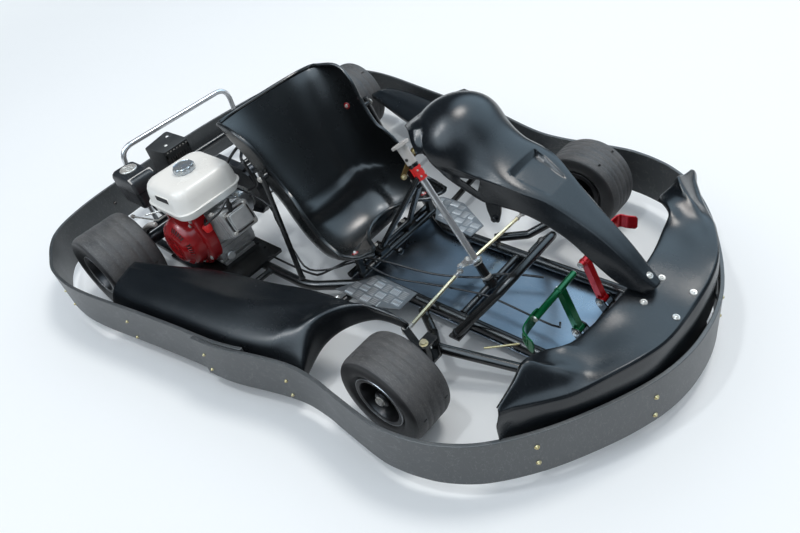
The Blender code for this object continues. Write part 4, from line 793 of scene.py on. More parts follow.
def buildCords():
    for name, cord in cords.items():
        path = spaced(splineThrough(cord['route'], 16), cord['count'], cord['count'] - 1)
        curve = bpy.data.curves.new(name, 'CURVE')
        curve.dimensions = '3D'
        curve.bevel_depth = cord['radius']
        curve.bevel_resolution = 4
        curve.use_fill_caps = True
        spline = curve.splines.new('POLY')
        spline.points.add(len(path) - 1)
        for point, place in zip(spline.points, path):
            point.co = (*place, 1)
        spline.use_smooth = True
        curve.materials.append(finish['rubber'])
        piece = placed(name, curve)
        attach(piece, 'chassis')
        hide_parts(cord['node'])


buildCords()
print('cords laid')


# Wheels

wheel = {
    'front': {
        'grooves': (0.012, 0.030), 'groove': 0.0011, 'seatRadius': 0.0635, 'flange': 0.073, 'steps': 120,
        'hub': 0.0213, 'bore': 0.0093, 'web': 0.004, 'low': -0.050, 'high': 0.050, 'lugs': 3,
        'lugCircle': 0.032
    },
    'rear': {
        'grooves': (0.020, 0.046), 'groove': 0.0010, 'seatRadius': 0.0635, 'flange': 0.073, 'steps': 128,
        'hub': 0.032, 'bore': 0.0204, 'web': 0.006, 'low': -0.060, 'high': 0.045, 'lugs': 3,
        'lugCircle': 0.043
    },
}


def wheelBody(end, label):
    return 'axle_set' if end == 'rear' else 'front_wheel_' + label


def buildTyre(end, side, label, title):
    low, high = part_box(end + '_tyre_' + label)
    center = (low + high) / 2
    radius = (high.z - low.z) / 2
    half = (high.y - low.y) / 2
    given = wheel[end]
    bead = half - 0.0107
    tread = [(radius, 0.0)]
    for groove in given['grooves']:
        depth = given['groove']
        tread += [(radius, groove - 0.0035), (radius - depth, groove - 0.0022),
            (radius - depth, groove + 0.0022), (radius, groove + 0.0035)]
    tread += [(radius, half - 0.026), (radius - 0.0006, half - 0.02)]
    shoulder = splineThrough([(radius - 0.0006, half - 0.02, 0), (radius - 0.004, half - 0.0095, 0),
        (radius - 0.011, half - 0.0025, 0), (radius - 0.024, half, 0),
        (radius * 0.69 + 0.004, half - 0.0002, 0), (radius * 0.66, half - 0.003, 0),
        (0.0775, bead + 0.0015, 0)], 5)
    outer = tread + [(p.x, p.y) for p in shoulder[1:]] + [(given['seatRadius'] + 0.0004, bead - 0.001)]
    wall = [(r, -h) for r, h in reversed(outer)] + outer[1:]
    lining = [(given['seatRadius'] + 0.0004, bead - 0.01), (radius - 0.034, half - 0.009),
        (radius - 0.01, half - 0.026)]
    inner = lining + [(r, -h) for r, h in reversed(lining)]
    shape = Shape()
    place = facing(center, (0, side, 0))
    shape.turn(wall + inner, place, given['steps'], loop=True)
    mesh = bpy.data.meshes.new(end + 'Tyre' + title)
    mesh.from_pydata(shape.points, [], shape.faces)
    work = bmesh.new()
    work.from_mesh(mesh)
    bmesh.ops.recalc_face_normals(work, faces=work.faces)
    work.faces.ensure_lookup_table()
    # the small holes that show how far the tread has worn
    steps = given['steps']
    wanted = []
    for face in work.faces:
        spot = place.inverted() @ face.calc_center_median()
        reach = hypot(spot.x, spot.y)
        turnAt = degrees(atan2(spot.y, spot.x)) % 120
        rowAt = abs(abs(spot.z) - (given['grooves'][1] + 0.009)) < 0.0055
        if reach > radius - 0.002 and rowAt and turnAt < 360 / steps:
            wanted.append(face)
    for face in wanted:
        bmesh.ops.inset_individual(work, faces=[face], thickness=0.0016)
        outward = face.normal.copy()
        bmesh.ops.translate(work, verts=face.verts, vec=outward * -0.0035)
    for face in work.faces:
        spot = place.inverted() @ face.calc_center_median()
        face.material_index = 0 if hypot(spot.x, spot.y) > radius - 0.006 else 1
    work.to_mesh(mesh)
    work.free()
    dress(end + 'Tyre' + title, mesh, ('tread', 'sidewall'), end + '_tyre_' + label,
        body=wheelBody(end, label), angle=50)


def buildRim(end, side, label, title):
    low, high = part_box(end + '_rim_' + label)
    given = wheel[end]
    center = Vector(((low.x + high.x) / 2, 0, (low.z + high.z) / 2))
    tyreLow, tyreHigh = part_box(end + '_tyre_' + label)
    center.y = (tyreLow.y + tyreHigh.y) / 2
    edge = (tyreHigh.y - tyreLow.y) / 2 - 0.006
    seat, flange, web = given['seatRadius'], given['flange'], given['web']
    drum = seat - 0.004
    place = facing(center, (0, side, 0))
    lip = [(flange - 0.0015, edge), (flange, edge - 0.001), (flange, edge - 0.003),
        (flange - 0.001, edge - 0.004), (seat + 0.0015, edge - 0.0042), (seat, edge - 0.007)]
    back = [(r, -h) for r, h in reversed(lip)]
    face = [(drum - 0.001, -edge + 0.001), (drum - 0.001, web - 0.01), (drum - 0.006, web - 0.004),
        (given['hub'] + 0.01, web - 0.004), (given['hub'], web - 0.012), (given['hub'], given['low']),
        (given['bore'], given['low']), (given['bore'], given['high']),
        (given['hub'] - 0.003, given['high']), (given['hub'], given['high'] - 0.003),
        (given['hub'], web + 0.012), (given['hub'] + 0.01, web + 0.004), (drum - 0.008, web + 0.004),
        (drum - 0.001, web + 0.012), (drum - 0.001, edge - 0.006), (drum + 0.002, edge - 0.001)]
    shape = Shape()
    shape.turn(lip + back + face, place, 96, loop=True)
    for i in range(given['lugs']):
        angle = 2 * pi * i / given['lugs'] + 0.4
        spot = place @ Vector((given['lugCircle'] * cos(angle), given['lugCircle'] * sin(angle),
            web + 0.004))
        shape.hexBolt(facing(spot, (0, side, 0), angle), 0.0065, 0.006, 0.008)
    valve = place @ Vector((drum - 0.01, 0, web + 0.004))
    shape.turn([(0.0035, 0), (0.0035, 0.012), (0.0025, 0.014), (0.0025, 0.022), (0.0018, 0.023)],
        facing(valve, (0, side, 0)), 12)
    shape.make(end + 'Rim' + title, 'wheelBlack', end + '_rim_' + label, body=wheelBody(end, label),
        bevel=0.0006, angle=40)
    # a thin bright steel ring on the dark alloy lip: partly a polished edge, partly a painted highlight
    lipHighlight = Shape()
    lipHighlight.turn([(flange + 0.0002, edge - 0.0028), (flange + 0.0004, edge - 0.001),
        (flange - 0.0006, edge + 0.0004), (flange - 0.0022, edge + 0.0004),
        (flange - 0.0022, edge - 0.0008)], place, 96, loop=True)
    lipHighlight.make(end + 'RimLipHighlight' + title, 'steel', body=wheelBody(end, label), slot='dark_alloy')


for end in ('front', 'rear'):
    for side, label, title in sides:
        buildTyre(end, side, label, title)
        buildRim(end, side, label, title)
print('wheels built')


# Bumper ring

ring = {
    'bottom': 0.044, 'top': 0.186, 'thick': 0.010, 'edge': 0.0022, 'lapGap': 0.0014,
    'tail': [(-1.038, 0), (-1.037, -0.168), (-1.016, -0.402), (-0.984, -0.533), (-0.943, -0.609),
        (-0.889, -0.655), (-0.820, -0.691), (-0.740, -0.722), (-0.627, -0.732), (-0.524, -0.724),
        (-0.408, -0.704), (-0.274, -0.679)],
    'lead': (-0.125, -0.6535),
    'nose': [(-0.045, -0.652), (0.029, -0.641), (0.088, -0.626), (0.152, -0.606), (0.230, -0.584),
        (0.294, -0.573), (0.367, -0.573), (0.426, -0.579), (0.548, -0.589), (0.610, -0.584),
        (0.661, -0.572), (0.710, -0.554), (0.764, -0.523), (0.808, -0.486), (0.860, -0.428),
        (0.905, -0.366), (0.955, -0.282), (0.992, -0.208), (1.019, -0.137), (1.034, -0.067), (1.038, 0)],
    'tailBolts': [(-0.358, 0.124), (-0.360, 0.057), (-0.700, 0.120), (-0.700, 0.060), (-1.02, 0.120),
        (-1.02, 0.060)],
    'noseBolts': [(-0.018, 0.130), (-0.015, 0.070), (0.241, 0.119), (0.243, 0.063), (0.866, 0.141),
        (0.866, 0.084), (1.009, 0.129), (1.009, 0.067)],
}


def flatOffset(path, distance):
    # the path moved to its left in plan
    moved = []
    for i, point in enumerate(path):
        along = (path[min(i + 1, len(path) - 1)] - path[max(i - 1, 0)]).normalized()
        moved.append(point + Vector((-along.y, along.x, 0)) * distance)
    return moved


def ribbon(shape, path, low, high, thickness):
    # a strip on edge along the path, its thickness inwards
    inner = flatOffset(path, thickness)
    rings = []
    for outside, inside in zip(path, inner):
        rings.append([(outside.x, outside.y, low), (outside.x, outside.y, high), (inside.x, inside.y, high),
            (inside.x, inside.y, low)])
    return shape.skin(rings)


def stripBolts(name, path, spots):
    # bolts at a place along X, on both sides of the kart, each with its nut inside
    shape, nuts = Shape(), Shape()
    for x, z in spots:
        k = min(range(len(path) - 1), key=lambda i: abs(path[i].x - x) + (0 if path[i].y < 0 else 9))
        along = (path[k + 1] - path[k]).normalized()
        outward = Vector((along.y, -along.x, 0))
        for side in (-1, 1):
            spot = flip((path[k].x, path[k].y, z), -side)
            shape.cupBolt(facing(spot, flip(outward, -side)), 0.0062 if x > 0.3 else 0.0048)
            nuts.hexBolt(facing(spot - flip(outward, -side) * (ring['thick'] + 0.0002),
                -flip(outward, -side)), 0.0055, 0.005, 0.007)
    shape.make(name, 'brassBolt')
    nuts.make(name.replace('Bolts', 'Nuts'), 'blackPaint')


def buildRing():
    nose = [Vector((x, y, 0)) for x, y in ring['nose']]
    path = splineThrough(bothSides(nose), 6)
    shape = ribbon(Shape(), path, ring['bottom'], ring['top'], ring['thick'])
    shape.make('frontBumperStrip', 'bumper', 'front_bumper_strip', bevel=ring['edge'], segments=3)
    stripBolts('frontStripBolts', path, ring['noseBolts'])
    lap = flatOffset(nose, ring['thick'] + ring['lapGap'])[:4]
    tail = [Vector((x, y, 0)) for x, y in ring['tail']]
    rest = [lap[2].lerp(lap[3], 0.5), lap[2], lap[1], nose[0].copy(),
        Vector((*ring['lead'], 0))] + tail[::-1]
    rest[3].y += ring['thick'] + 0.0002        # past the front strip's own thickness
    path = splineThrough([flip(p, -1) for p in rest] + rest[-2::-1], 5)
    shape = ribbon(Shape(), path, ring['bottom'], ring['top'], ring['thick'])
    shape.make('rearBumperStrip', 'bumper', 'rear_bumper_strip', bevel=ring['edge'], segments=3)
    stripBolts('rearStripBolts', path, ring['tailBolts'])


buildRing()
print('bumper ring built')


# Frame

frameTubes = {'rail': 0.015, 'small': 0.01, 'cross': 0.014, 'bumperZ': 0.115, 'tailX': -0.775}


def buildRails():
    for side, label, title in sides:
        shape = Shape()
        rail = rounded([(0.905, railFrontY, railZ), (0.17, railFrontY, railZ), (-0.03, railRearY, railZ),
            (-0.79, railRearY, railZ)], 0.15, 10)
        shape.tube([flip(p, side) for p in rail], frameTubes['rail'], 28)
        outrigger = rounded([(-0.2, railRearY, railZ), (-0.2, 0.585, railZ), (0.08, 0.56, railZ),
            (0.125, 0.173, railZ)], 0.05, 8)
        shape.tube([flip(p, side) for p in outrigger], frameTubes['small'], 20)
        shape.bead(flip((-0.2, railRearY + 0.015, railZ), side), (0, side, 0), 0.01)
        shape.bead(flip((0.1235, 0.187, railZ), side), flip((-0.045, 0.387, 0), side), 0.01)
        shape.turn([(0.0135, 0), (0.0135, 0.002), (0.008, 0.003)],
            facing(flip((0.905, railFrontY, railZ), side), (1, 0, 0)), 24)
        shape.make('mainRail' + title, 'blackPaint', 'main_rail_' + label, bevel=0.0008)


def buildBumperBars():
    shape = Shape()
    path = rounded([(0.916, -railFrontY, railZ), (0.972, -0.13, 0.095),
        (1.0085, -0.06, frameTubes['bumperZ']), (1.0085, 0, frameTubes['bumperZ'])], 0.04)
    shape.tube(bothSides(path), frameTubes['cross'], 24)
    for side in (-1, 1):
        shape.tube([(1.008, side * 0.043, frameTubes['bumperZ']), (0.985, side * 0.043, 0.228)], 0.006, 16)
        shape.bead((1.005, side * 0.043, 0.13), (-0.023, 0, 0.113), 0.006, 0.0016)
    shape.make('frontBumperBar', 'blackPaint', 'front_bumper_bar', bevel=0.0006)
    shape = Shape()
    path = rounded([(-0.799, -railRearY, railZ), (-0.93, -railRearY, 0.1),
        (-1.008, -0.215, frameTubes['bumperZ']), (-1.008, 0, frameTubes['bumperZ'])], 0.07)
    shape.tube(bothSides(path), frameTubes['cross'], 24)
    shape.make('rearBumperBar', 'blackPaint', 'rear_bumper_bar', bevel=0.0006)


def buildHoops():
    shape = Shape()
    path = rounded([(0.488, -0.21, 0.072), (0.58, -0.125, 0.195), (0.598, -0.095, 0.222),
        (0.598, 0, 0.222)], 0.05)
    shape.tube(bothSides(path), 0.012, 24)
    for side in (-1, 1):
        shape.span((0.472, min(side * 0.161, side * 0.22), 0.0655),
            (0.506, max(side * 0.161, side * 0.22), 0.0725))
        shape.bead((0.492, side * 0.206, 0.08), (0.092, side * -0.085, 0.123), 0.012)
    shape.make('steeringHoop', 'blackPaint', 'steering_hoop', bevel=0.0008)
    shape = Shape()
    top = 0.1018
    tailX = frameTubes['tailX']
    path = rounded([(tailX, -0.33, top), (tailX, -0.33, 0.392), (tailX, 0.13, 0.392), (tailX, 0.13, top)],
        0.05, 12)
    shape.tube(path, 0.009, 28)
    shape.make('rearHoop', 'polished', 'rear_hoop', bevel=0.0006)


def buildSeatCross():
    z = railTop + 0.0104
    shape = Shape()
    for x, half in ((-0.017, 0.188), (0.017, 0.174)):
        shape.tube([(seatCrossX + x, -half, z), (seatCrossX + x, half, z)], 0.01, 24)
    for side in (-1, 1):
        shape.block((0.016, 0.018, 0.062), at(seatCrossX + 0.014, side * 0.163, z + 0.032))
        shape.block((0.04, 0.036, 0.008), at(seatCrossX, side * 0.065, z))
    shape.tube([(seatCrossX + 0.02, -0.034, z), (seatCrossX + 0.046, -0.034, z + 0.004)], 0.004, 14)
    shape.turn([(0.004, -0.01), (0.0085, -0.0075), (0.011, -0.003), (0.0115, 0.001), (0.01, 0.006),
        (0.006, 0.0095), (0.002, 0.0105)], facing((seatCrossX + 0.052, -0.034, z + 0.004), (1, 0, 0.2)), 24)
    shape.make('seatCrossTube', 'blackPaint', 'seat_cross_tube', bevel=0.0008)


def buildCradle():
    shape = Shape()
    plateLow, plateHigh = railTop + 0.0004, railTop + 0.0104
    outline = roundBox(0.17, 0.1075, 0.006, 4)
    slots = [[(x + sx * 0.02 + dx, y + dy) for dx, dy in circle(0.0045, 12)] for x in (-0.09, 0.09)
        for sx in (-1, 1) for y in (-0.085, 0.085)]
    middle = at(crank.x + 0.02, -0.3125, 0)
    shape.pierced(outline, slots, plateLow, plateHigh, middle)
    shape.tube([(-0.782, -0.385, 0.065), (-0.2125, -0.385, 0.065)], 0.015, 28)
    shape.tube([(frameTubes['tailX'], -0.402, 0.0894), (frameTubes['tailX'], 0.29, 0.0894)], 0.012, 24)
    for side in (-1, 1):
        shape.bead((frameTubes['tailX'], side * 0.255, 0.0894), (0, 1, 0), 0.012)
    shape.make('engineCradle', 'blackPaint', 'engine_cradle', bevel=0.0008)
    shape = Shape()
    for x in (-0.07, 0.07):
        for y in (-0.345, -0.245):
            shape.hexBolt(facing((crank.x + x, y, plateHigh + 0.016), (0, 0, 1), x), 0.0065, 0.006, 0.01)
    shape.make('engineBolts', 'boltSteel')


buildRails()
buildBumperBars()
buildHoops()
buildSeatCross()
buildCradle()
print('frame built')


# Floor tray and tread plates

tray = {
    'outline': [(0.050, -0.215), (0.170, -0.158), (0.900, -0.158), (0.935, -0.130), (0.935, 0.130),
        (0.900, 0.158), (0.170, 0.158), (0.050, 0.215)],
    'low': 0.0421, 'high': 0.0446, 'screws': [(0.22, 0.149), (0.42, 0.149), (0.62, 0.149), (0.82, 0.149)],
    'right': [(0.074, -0.248), (0.147, -0.141), (0.303, -0.143), (0.300, -0.216), (0.216, -0.248)],
    'left': [(0.071, 0.245), (0.136, 0.150), (0.290, 0.132), (0.295, 0.191), (0.170, 0.258),
        (0.087, 0.256)],
    'plateLow': railTop + 0.0004, 'plateHigh': railTop + 0.0034, 'barLength': 0.0270, 'barWidth': 0.0034,
    'barHeight': 0.0011, 'cell': 0.0310, 'bars': 5,
}


def inside(point, outline, margin):
    # whether the point lies in the outline, clear of its edges
    x, y = point
    found = False
    for (x0, y0), (x1, y1) in zip(outline, outline[1:] + outline[:1]):
        if (y0 > y) != (y1 > y) and x < (x1 - x0) * (y - y0) / (y1 - y0) + x0:
            found = not found
        edge = Vector((x1 - x0, y1 - y0))
        along = max(0, min(1, Vector((x - x0, y - y0)).dot(edge) / edge.length_squared))
        if (Vector((x0, y0)) + edge * along - Vector((x, y))).length < margin:
            return False
    return found


def buildTray():
    shape = Shape()
    shape.prism(tray['outline'], tray['low'], tray['high'], Matrix.Identity(4))
    shape.make('floorTray', 'aluminiumSheet', 'floor_tray', bevel=0.0006)
    shape = Shape()
    for x, y in tray['screws']:
        for side in (-1, 1):
            shape.turn([(0.005, 0), (0.0048, 0.0012), (0.003, 0.0024), (0.001, 0.0025)],
                facing((x, side * y, tray['high'] + 0.0001), (0, 0, 1)), 16)
    shape.make('trayScrews', 'boltSteel')


def buildTreadPlate(label, title):
    outline = tray[label]
    shape = Shape()
    shape.prism(outline, tray['plateLow'], tray['plateHigh'], Matrix.Identity(4))
    shape.paint = 1
    cell = tray['cell']
    low = (min(p[0] for p in outline), min(p[1] for p in outline))
    for i in range(14):
        for j in range(8):
            crosswise = (i + j) % 2
            for k in range(tray['bars']):
                shift = (k - (tray['bars'] - 1) / 2) * cell / tray['bars']
                x = low[0] + (i + 0.5) * cell + (shift if crosswise else 0)
                y = low[1] + (j + 0.5) * cell + (0 if crosswise else shift)
                if not inside((x, y), outline, 0.0085):
                    continue
                reach, thick = tray['barLength'] / 2, tray['barWidth'] / 2
                bar = [(-reach, 0), (-reach * 0.6, -thick), (reach * 0.6, -thick), (reach, 0),
                    (reach * 0.6, thick), (-reach * 0.6, thick)]
                if crosswise:
                    bar = [(-q, p) for p, q in bar]
                base = [Vector((x + p, y + q, tray['plateHigh'] - 0.0002)) for p, q in bar]
                crest = [Vector((x + p * 0.8, y + q * 0.5, tray['plateHigh'] + tray['barHeight']))
                    for p, q in bar]
                shape.skin([base, crest])
    shape.make('treadPlate' + title, ('treadGround', 'treadPlate'), 'tread_plate_' + label, angle=25)


buildTray()
for side, label, title in sides:
    buildTreadPlate(label, title)
print('floor built')


# Steering fairing

fairing = {
    'thick': 0.003,
    # half stations from the collar to the tip, each from the middle to its lower edge
    'stations': [
        [(0.276, 0, 0.548), (0.296, 0.045, 0.562), (0.332, 0.078, 0.582), (0.360, 0.101, 0.592),
         (0.382, 0.120, 0.576), (0.400, 0.130, 0.556)],
        [(0.320, 0, 0.577), (0.336, 0.038, 0.592), (0.365, 0.068, 0.607), (0.392, 0.098, 0.608),
         (0.405, 0.118, 0.585), (0.415, 0.121, 0.556)],
        [(0.350, 0, 0.598), (0.362, 0.042, 0.606), (0.386, 0.078, 0.608), (0.415, 0.119, 0.585),
         (0.420, 0.116, 0.560), (0.425, 0.110, 0.532)],
        [(0.400, 0, 0.618), (0.405, 0.045, 0.614), (0.420, 0.085, 0.600), (0.440, 0.122, 0.552),
         (0.442, 0.116, 0.535), (0.445, 0.108, 0.505)],
        [(0.450, 0, 0.611), (0.452, 0.048, 0.604), (0.458, 0.088, 0.582), (0.470, 0.119, 0.530),
         (0.470, 0.112, 0.518), (0.470, 0.105, 0.485)],
        [(0.505, 0, 0.582), (0.505, 0.045, 0.574), (0.505, 0.082, 0.553), (0.505, 0.109, 0.519),
         (0.505, 0.104, 0.500), (0.505, 0.100, 0.465)],
        [(0.550, 0, 0.543), (0.550, 0.040, 0.538), (0.550, 0.072, 0.525), (0.549, 0.093, 0.506),
         (0.550, 0.094, 0.480), (0.550, 0.097, 0.446)],
        [(0.595, 0, 0.514), (0.595, 0.040, 0.512), (0.595, 0.070, 0.507), (0.595, 0.086, 0.499),
         (0.595, 0.090, 0.475), (0.595, 0.093, 0.444)],
        [(0.640, 0, 0.490), (0.640, 0.036, 0.490), (0.640, 0.062, 0.489), (0.640, 0.077, 0.485),
         (0.640, 0.083, 0.465), (0.640, 0.089, 0.441)],
        [(0.690, 0, 0.463), (0.690, 0.026, 0.463), (0.690, 0.045, 0.463), (0.690, 0.056, 0.461),
         (0.690, 0.066, 0.442), (0.690, 0.076, 0.418)],
        [(0.745, 0, 0.426), (0.745, 0.018, 0.426), (0.745, 0.033, 0.425), (0.745, 0.040, 0.423),
         (0.745, 0.054, 0.408), (0.745, 0.066, 0.384)],
        [(0.800, 0, 0.387), (0.800, 0.014, 0.387), (0.800, 0.025, 0.386), (0.800, 0.031, 0.384),
         (0.800, 0.044, 0.362), (0.800, 0.055, 0.330)],
        [(0.850, 0, 0.345), (0.850, 0.012, 0.345), (0.850, 0.021, 0.344), (0.850, 0.026, 0.342),
         (0.850, 0.036, 0.320), (0.850, 0.044, 0.285)],
        [(0.895, 0, 0.302), (0.895, 0.010, 0.302), (0.895, 0.016, 0.301), (0.895, 0.020, 0.299),
         (0.895, 0.028, 0.285), (0.895, 0.034, 0.270)],
        [(0.925, 0, 0.276), (0.925, 0.006, 0.276), (0.924, 0.011, 0.2755), (0.922, 0.014, 0.275),
         (0.918, 0.018, 0.270), (0.914, 0.020, 0.266)]],
    'window': [(0.487, 0.499), (0.547, 0.505), (0.536, 0.469)], 'pocketRear': 0.598, 'pocketFront': 0.680,
    'pocketHalf': (0.052, 0.036), 'pocketDepth': (0.014, 0.003),
    'leg': [(0.548, 0.455), (0.592, 0.450), (0.588, 0.420), (0.580, 0.392), (0.562, 0.392),
        (0.552, 0.420)],
    'legY': 0.088, 'legThick': 0.008, 'tipBolt': 0.903,
}


def pressPocket(point):
    # the shallow tray pressed into the top of the beam
    rear, front = fairing['pocketRear'], fairing['pocketFront']
    share = (point.x - rear) / (front - rear)
    if not -0.1 < share < 1.1 or point.z < 0.44:
        return point
    half = fairing['pocketHalf'][0] * (1 - share) + fairing['pocketHalf'][1] * share
    depth = fairing['pocketDepth'][0] * (1 - share) + fairing['pocketDepth'][1] * share
    margin = min((point.x - rear), (front - point.x), half - abs(point.y))
    fade = max(0.0, min(1.0, margin / 0.005 + 0.5))
    return point - Vector((0, 0, depth * fade * fade * (3 - 2 * fade)))


def wholeRow(half):
    # a half row from the middle out, carried across to the other side
    return [flip(p, -1) for p in reversed(half)] + [Vector(p) for p in half[1:]]


dome = {
    'middle': (0.425, 0, 0.532), 'radii': (0.112, 0.126, 0.102), 'end': 6.0, 'fade': 2.6,
}


def domeWeight(along, across):
    # full from the crest line to the root of the beam, none on its outer edges
    station, outer = along * (len(fairing['stations']) - 1), abs(across - 0.5) * 10
    start = max(0.0, min(1.0, (station - 0.5) / 0.5))
    end = max(0.0, min(1.0, (dome['end'] - station) / dome['fade']))
    edge = max(0.0, min(1.0, (5.0 - outer) / 1.0))
    return start * end * end * (3 - 2 * end) * edge * edge * (3 - 2 * edge)


def buildFairing():
    rows = [wholeRow(station) for station in fairing['stations']]
    surface = sheetPiece('steeringFairing', rows, fairing['thick'], 'moulded', 'steering_fairing',
        steps=(9, 7), breaks=((1,), (2, 8)), press=pressPocket, window=(fairing['window'], 0.09),
        bulge=(dome, domeWeight))
    shape = Shape()
    for side in (-1, 1):
        half = fairing['legThick'] / 2
        shape.prism(fairing['leg'], -half, half, upright(y=side * fairing['legY']))
        shape.tube([(0.571, side * 0.08, 0.402), (0.571, side * 0.098, 0.402)], 0.0075, 16)
    shape.make('fairingLegs', 'moulded', bevel=0.0015)
    bolts = Shape()
    bolts.cupBolt(resting(surface, (fairing['tipBolt'], 0, 1)), 0.0085)
    bolts.make('fairingBolt', 'boltSteel')


# Nose cover

noseCover = {
    'thick': 0.0028, 'edge': 0.0045, 'skirt': 0.042,
    # rows across the cover from the middle outwards, each from the rear edge over to the front lower edge
    'rows': [
        [(0.864, 0, 0.250), (0.868, 0, 0.260), (0.915, 0, 0.252), (0.955, 0, 0.246), (0.980, 0, 0.242),
         (1.000, 0, 0.238), (1.010, 0, 0.212), (1.013, 0, 0.184)],
        [(0.863, 0.10, 0.254), (0.866, 0.10, 0.265), (0.912, 0.10, 0.258), (0.952, 0.10, 0.254),
         (0.980, 0.10, 0.251), (1.000, 0.10, 0.247), (1.005, 0.102, 0.215), (1.006, 0.103, 0.184)],
        [(0.842, 0.200, 0.244), (0.846, 0.200, 0.255), (0.888, 0.196, 0.256), (0.930, 0.190, 0.258),
         (0.960, 0.184, 0.258), (0.984, 0.179, 0.258), (0.988, 0.180, 0.220), (0.988, 0.180, 0.184)],
        [(0.834, 0.250, 0.262), (0.838, 0.251, 0.272), (0.868, 0.256, 0.262), (0.900, 0.262, 0.256),
         (0.922, 0.265, 0.255), (0.942, 0.269, 0.254), (0.944, 0.270, 0.218), (0.943, 0.270, 0.184)],
        [(0.803, 0.284, 0.262), (0.808, 0.285, 0.272), (0.838, 0.297, 0.276), (0.872, 0.304, 0.272),
         (0.890, 0.318, 0.252), (0.905, 0.327, 0.240), (0.905, 0.332, 0.210), (0.902, 0.334, 0.182)],
        [(0.776, 0.318, 0.246), (0.781, 0.320, 0.258), (0.812, 0.326, 0.276), (0.845, 0.322, 0.284),
         (0.862, 0.350, 0.252), (0.874, 0.366, 0.240), (0.872, 0.374, 0.212), (0.868, 0.380, 0.184)],
        [(0.786, 0.366, 0.250), (0.791, 0.366, 0.262), (0.802, 0.358, 0.290), (0.813, 0.350, 0.303),
         (0.832, 0.388, 0.262), (0.845, 0.406, 0.246), (0.842, 0.414, 0.220), (0.838, 0.422, 0.198)],
        [(0.793, 0.405, 0.252), (0.797, 0.405, 0.262), (0.803, 0.398, 0.276), (0.810, 0.392, 0.284),
         (0.820, 0.418, 0.262), (0.828, 0.430, 0.252), (0.826, 0.438, 0.228), (0.822, 0.444, 0.208)],
        [(0.800, 0.446, 0.256), (0.803, 0.447, 0.263), (0.805, 0.449, 0.264), (0.808, 0.450, 0.264),
         (0.811, 0.453, 0.261), (0.814, 0.456, 0.256), (0.815, 0.463, 0.242), (0.815, 0.469, 0.226)]],
    'bolts': [(0.912, 0.044), (0.984, 0.043)],
}


def buildNoseCover():
    half = [[Vector(p) for p in row] for row in noseCover['rows']]
    rows = [[flip(p, -1) for p in row] for row in reversed(half)] + half[1:]
    # the front edge is rounded over, and a skirt runs down behind the strip
    edge, skirt = noseCover['edge'], Vector((0.002, 0, -noseCover['skirt']))
    rows = [[*row[:5], row[5] + (row[4] - row[5]).normalized() * edge,
        row[5] + (row[6] - row[5]).normalized() * edge, *row[6:], row[-1] + skirt] for row in rows]
    surface = sheetPiece('noseCover', rows, noseCover['thick'], 'moulded', 'nose_cover', steps=(6, 6),
        breaks=((), (5, 6)))
    bolts = Shape()
    for x, y in noseCover['bolts']:
        for side in (-1, 1):
            bolts.cupBolt(resting(surface, (x, side * y, 1)), 0.0085)
    bolts.make('noseCoverBolts', 'boltSteel')


# Side pods

sidePod = {
    'thick': 0.003,
    'rows': [
        [(-0.475, 0.551, 0.185), (-0.475, 0.553, 0.200), (-0.470, 0.573, 0.2015), (-0.464, 0.592, 0.201),
         (-0.458, 0.655, 0.176), (-0.455, 0.690, 0.110)],
        [(-0.361, 0.509, 0.185), (-0.361, 0.512, 0.200), (-0.361, 0.545, 0.202), (-0.361, 0.577, 0.201),
         (-0.361, 0.650, 0.176), (-0.361, 0.678, 0.110)],
        [(-0.176, 0.440, 0.185), (-0.176, 0.443, 0.200), (-0.178, 0.495, 0.2025), (-0.180, 0.546, 0.201),
         (-0.182, 0.620, 0.174), (-0.182, 0.646, 0.110)],
        [(0.004, 0.397, 0.185), (0.004, 0.400, 0.200), (0.004, 0.452, 0.2025), (0.004, 0.506, 0.201),
         (0.004, 0.588, 0.170), (0.004, 0.614, 0.110)],
        [(0.130, 0.360, 0.185), (0.130, 0.363, 0.200), (0.128, 0.404, 0.2025), (0.128, 0.446, 0.202),
         (0.132, 0.545, 0.175), (0.138, 0.584, 0.110)],
        [(0.275, 0.334, 0.186), (0.275, 0.337, 0.198), (0.228, 0.360, 0.2025), (0.197, 0.405, 0.203),
         (0.186, 0.500, 0.188), (0.195, 0.566, 0.115)],
        [(0.420, 0.310, 0.180), (0.420, 0.314, 0.190), (0.330, 0.324, 0.200), (0.264, 0.372, 0.203),
         (0.234, 0.450, 0.196), (0.250, 0.544, 0.120)],
        [(0.424, 0.316, 0.160), (0.425, 0.318, 0.165), (0.338, 0.330, 0.160), (0.270, 0.382, 0.140),
         (0.246, 0.453, 0.120), (0.258, 0.546, 0.085)]],
    'rivet': (0.222, 0.345),
}


def buildSidePods():
    for side, label, title in sides:
        rows = [[flip(p, side) for p in row] for row in sidePod['rows']]
        surface = sheetPiece('sidePod' + title, rows, sidePod['thick'], 'moulded', 'side_pod_' + label,
            steps=(7, 7), breaks=((), ()))
        rivet = Shape()
        rivet.cupBolt(resting(surface, (sidePod['rivet'][0], side * sidePod['rivet'][1], 1)), 0.007)
        rivet.make('podRivet' + title, 'boltSteel')


buildFairing()
buildNoseCover()
buildSidePods()
print('covers built')


# Seat

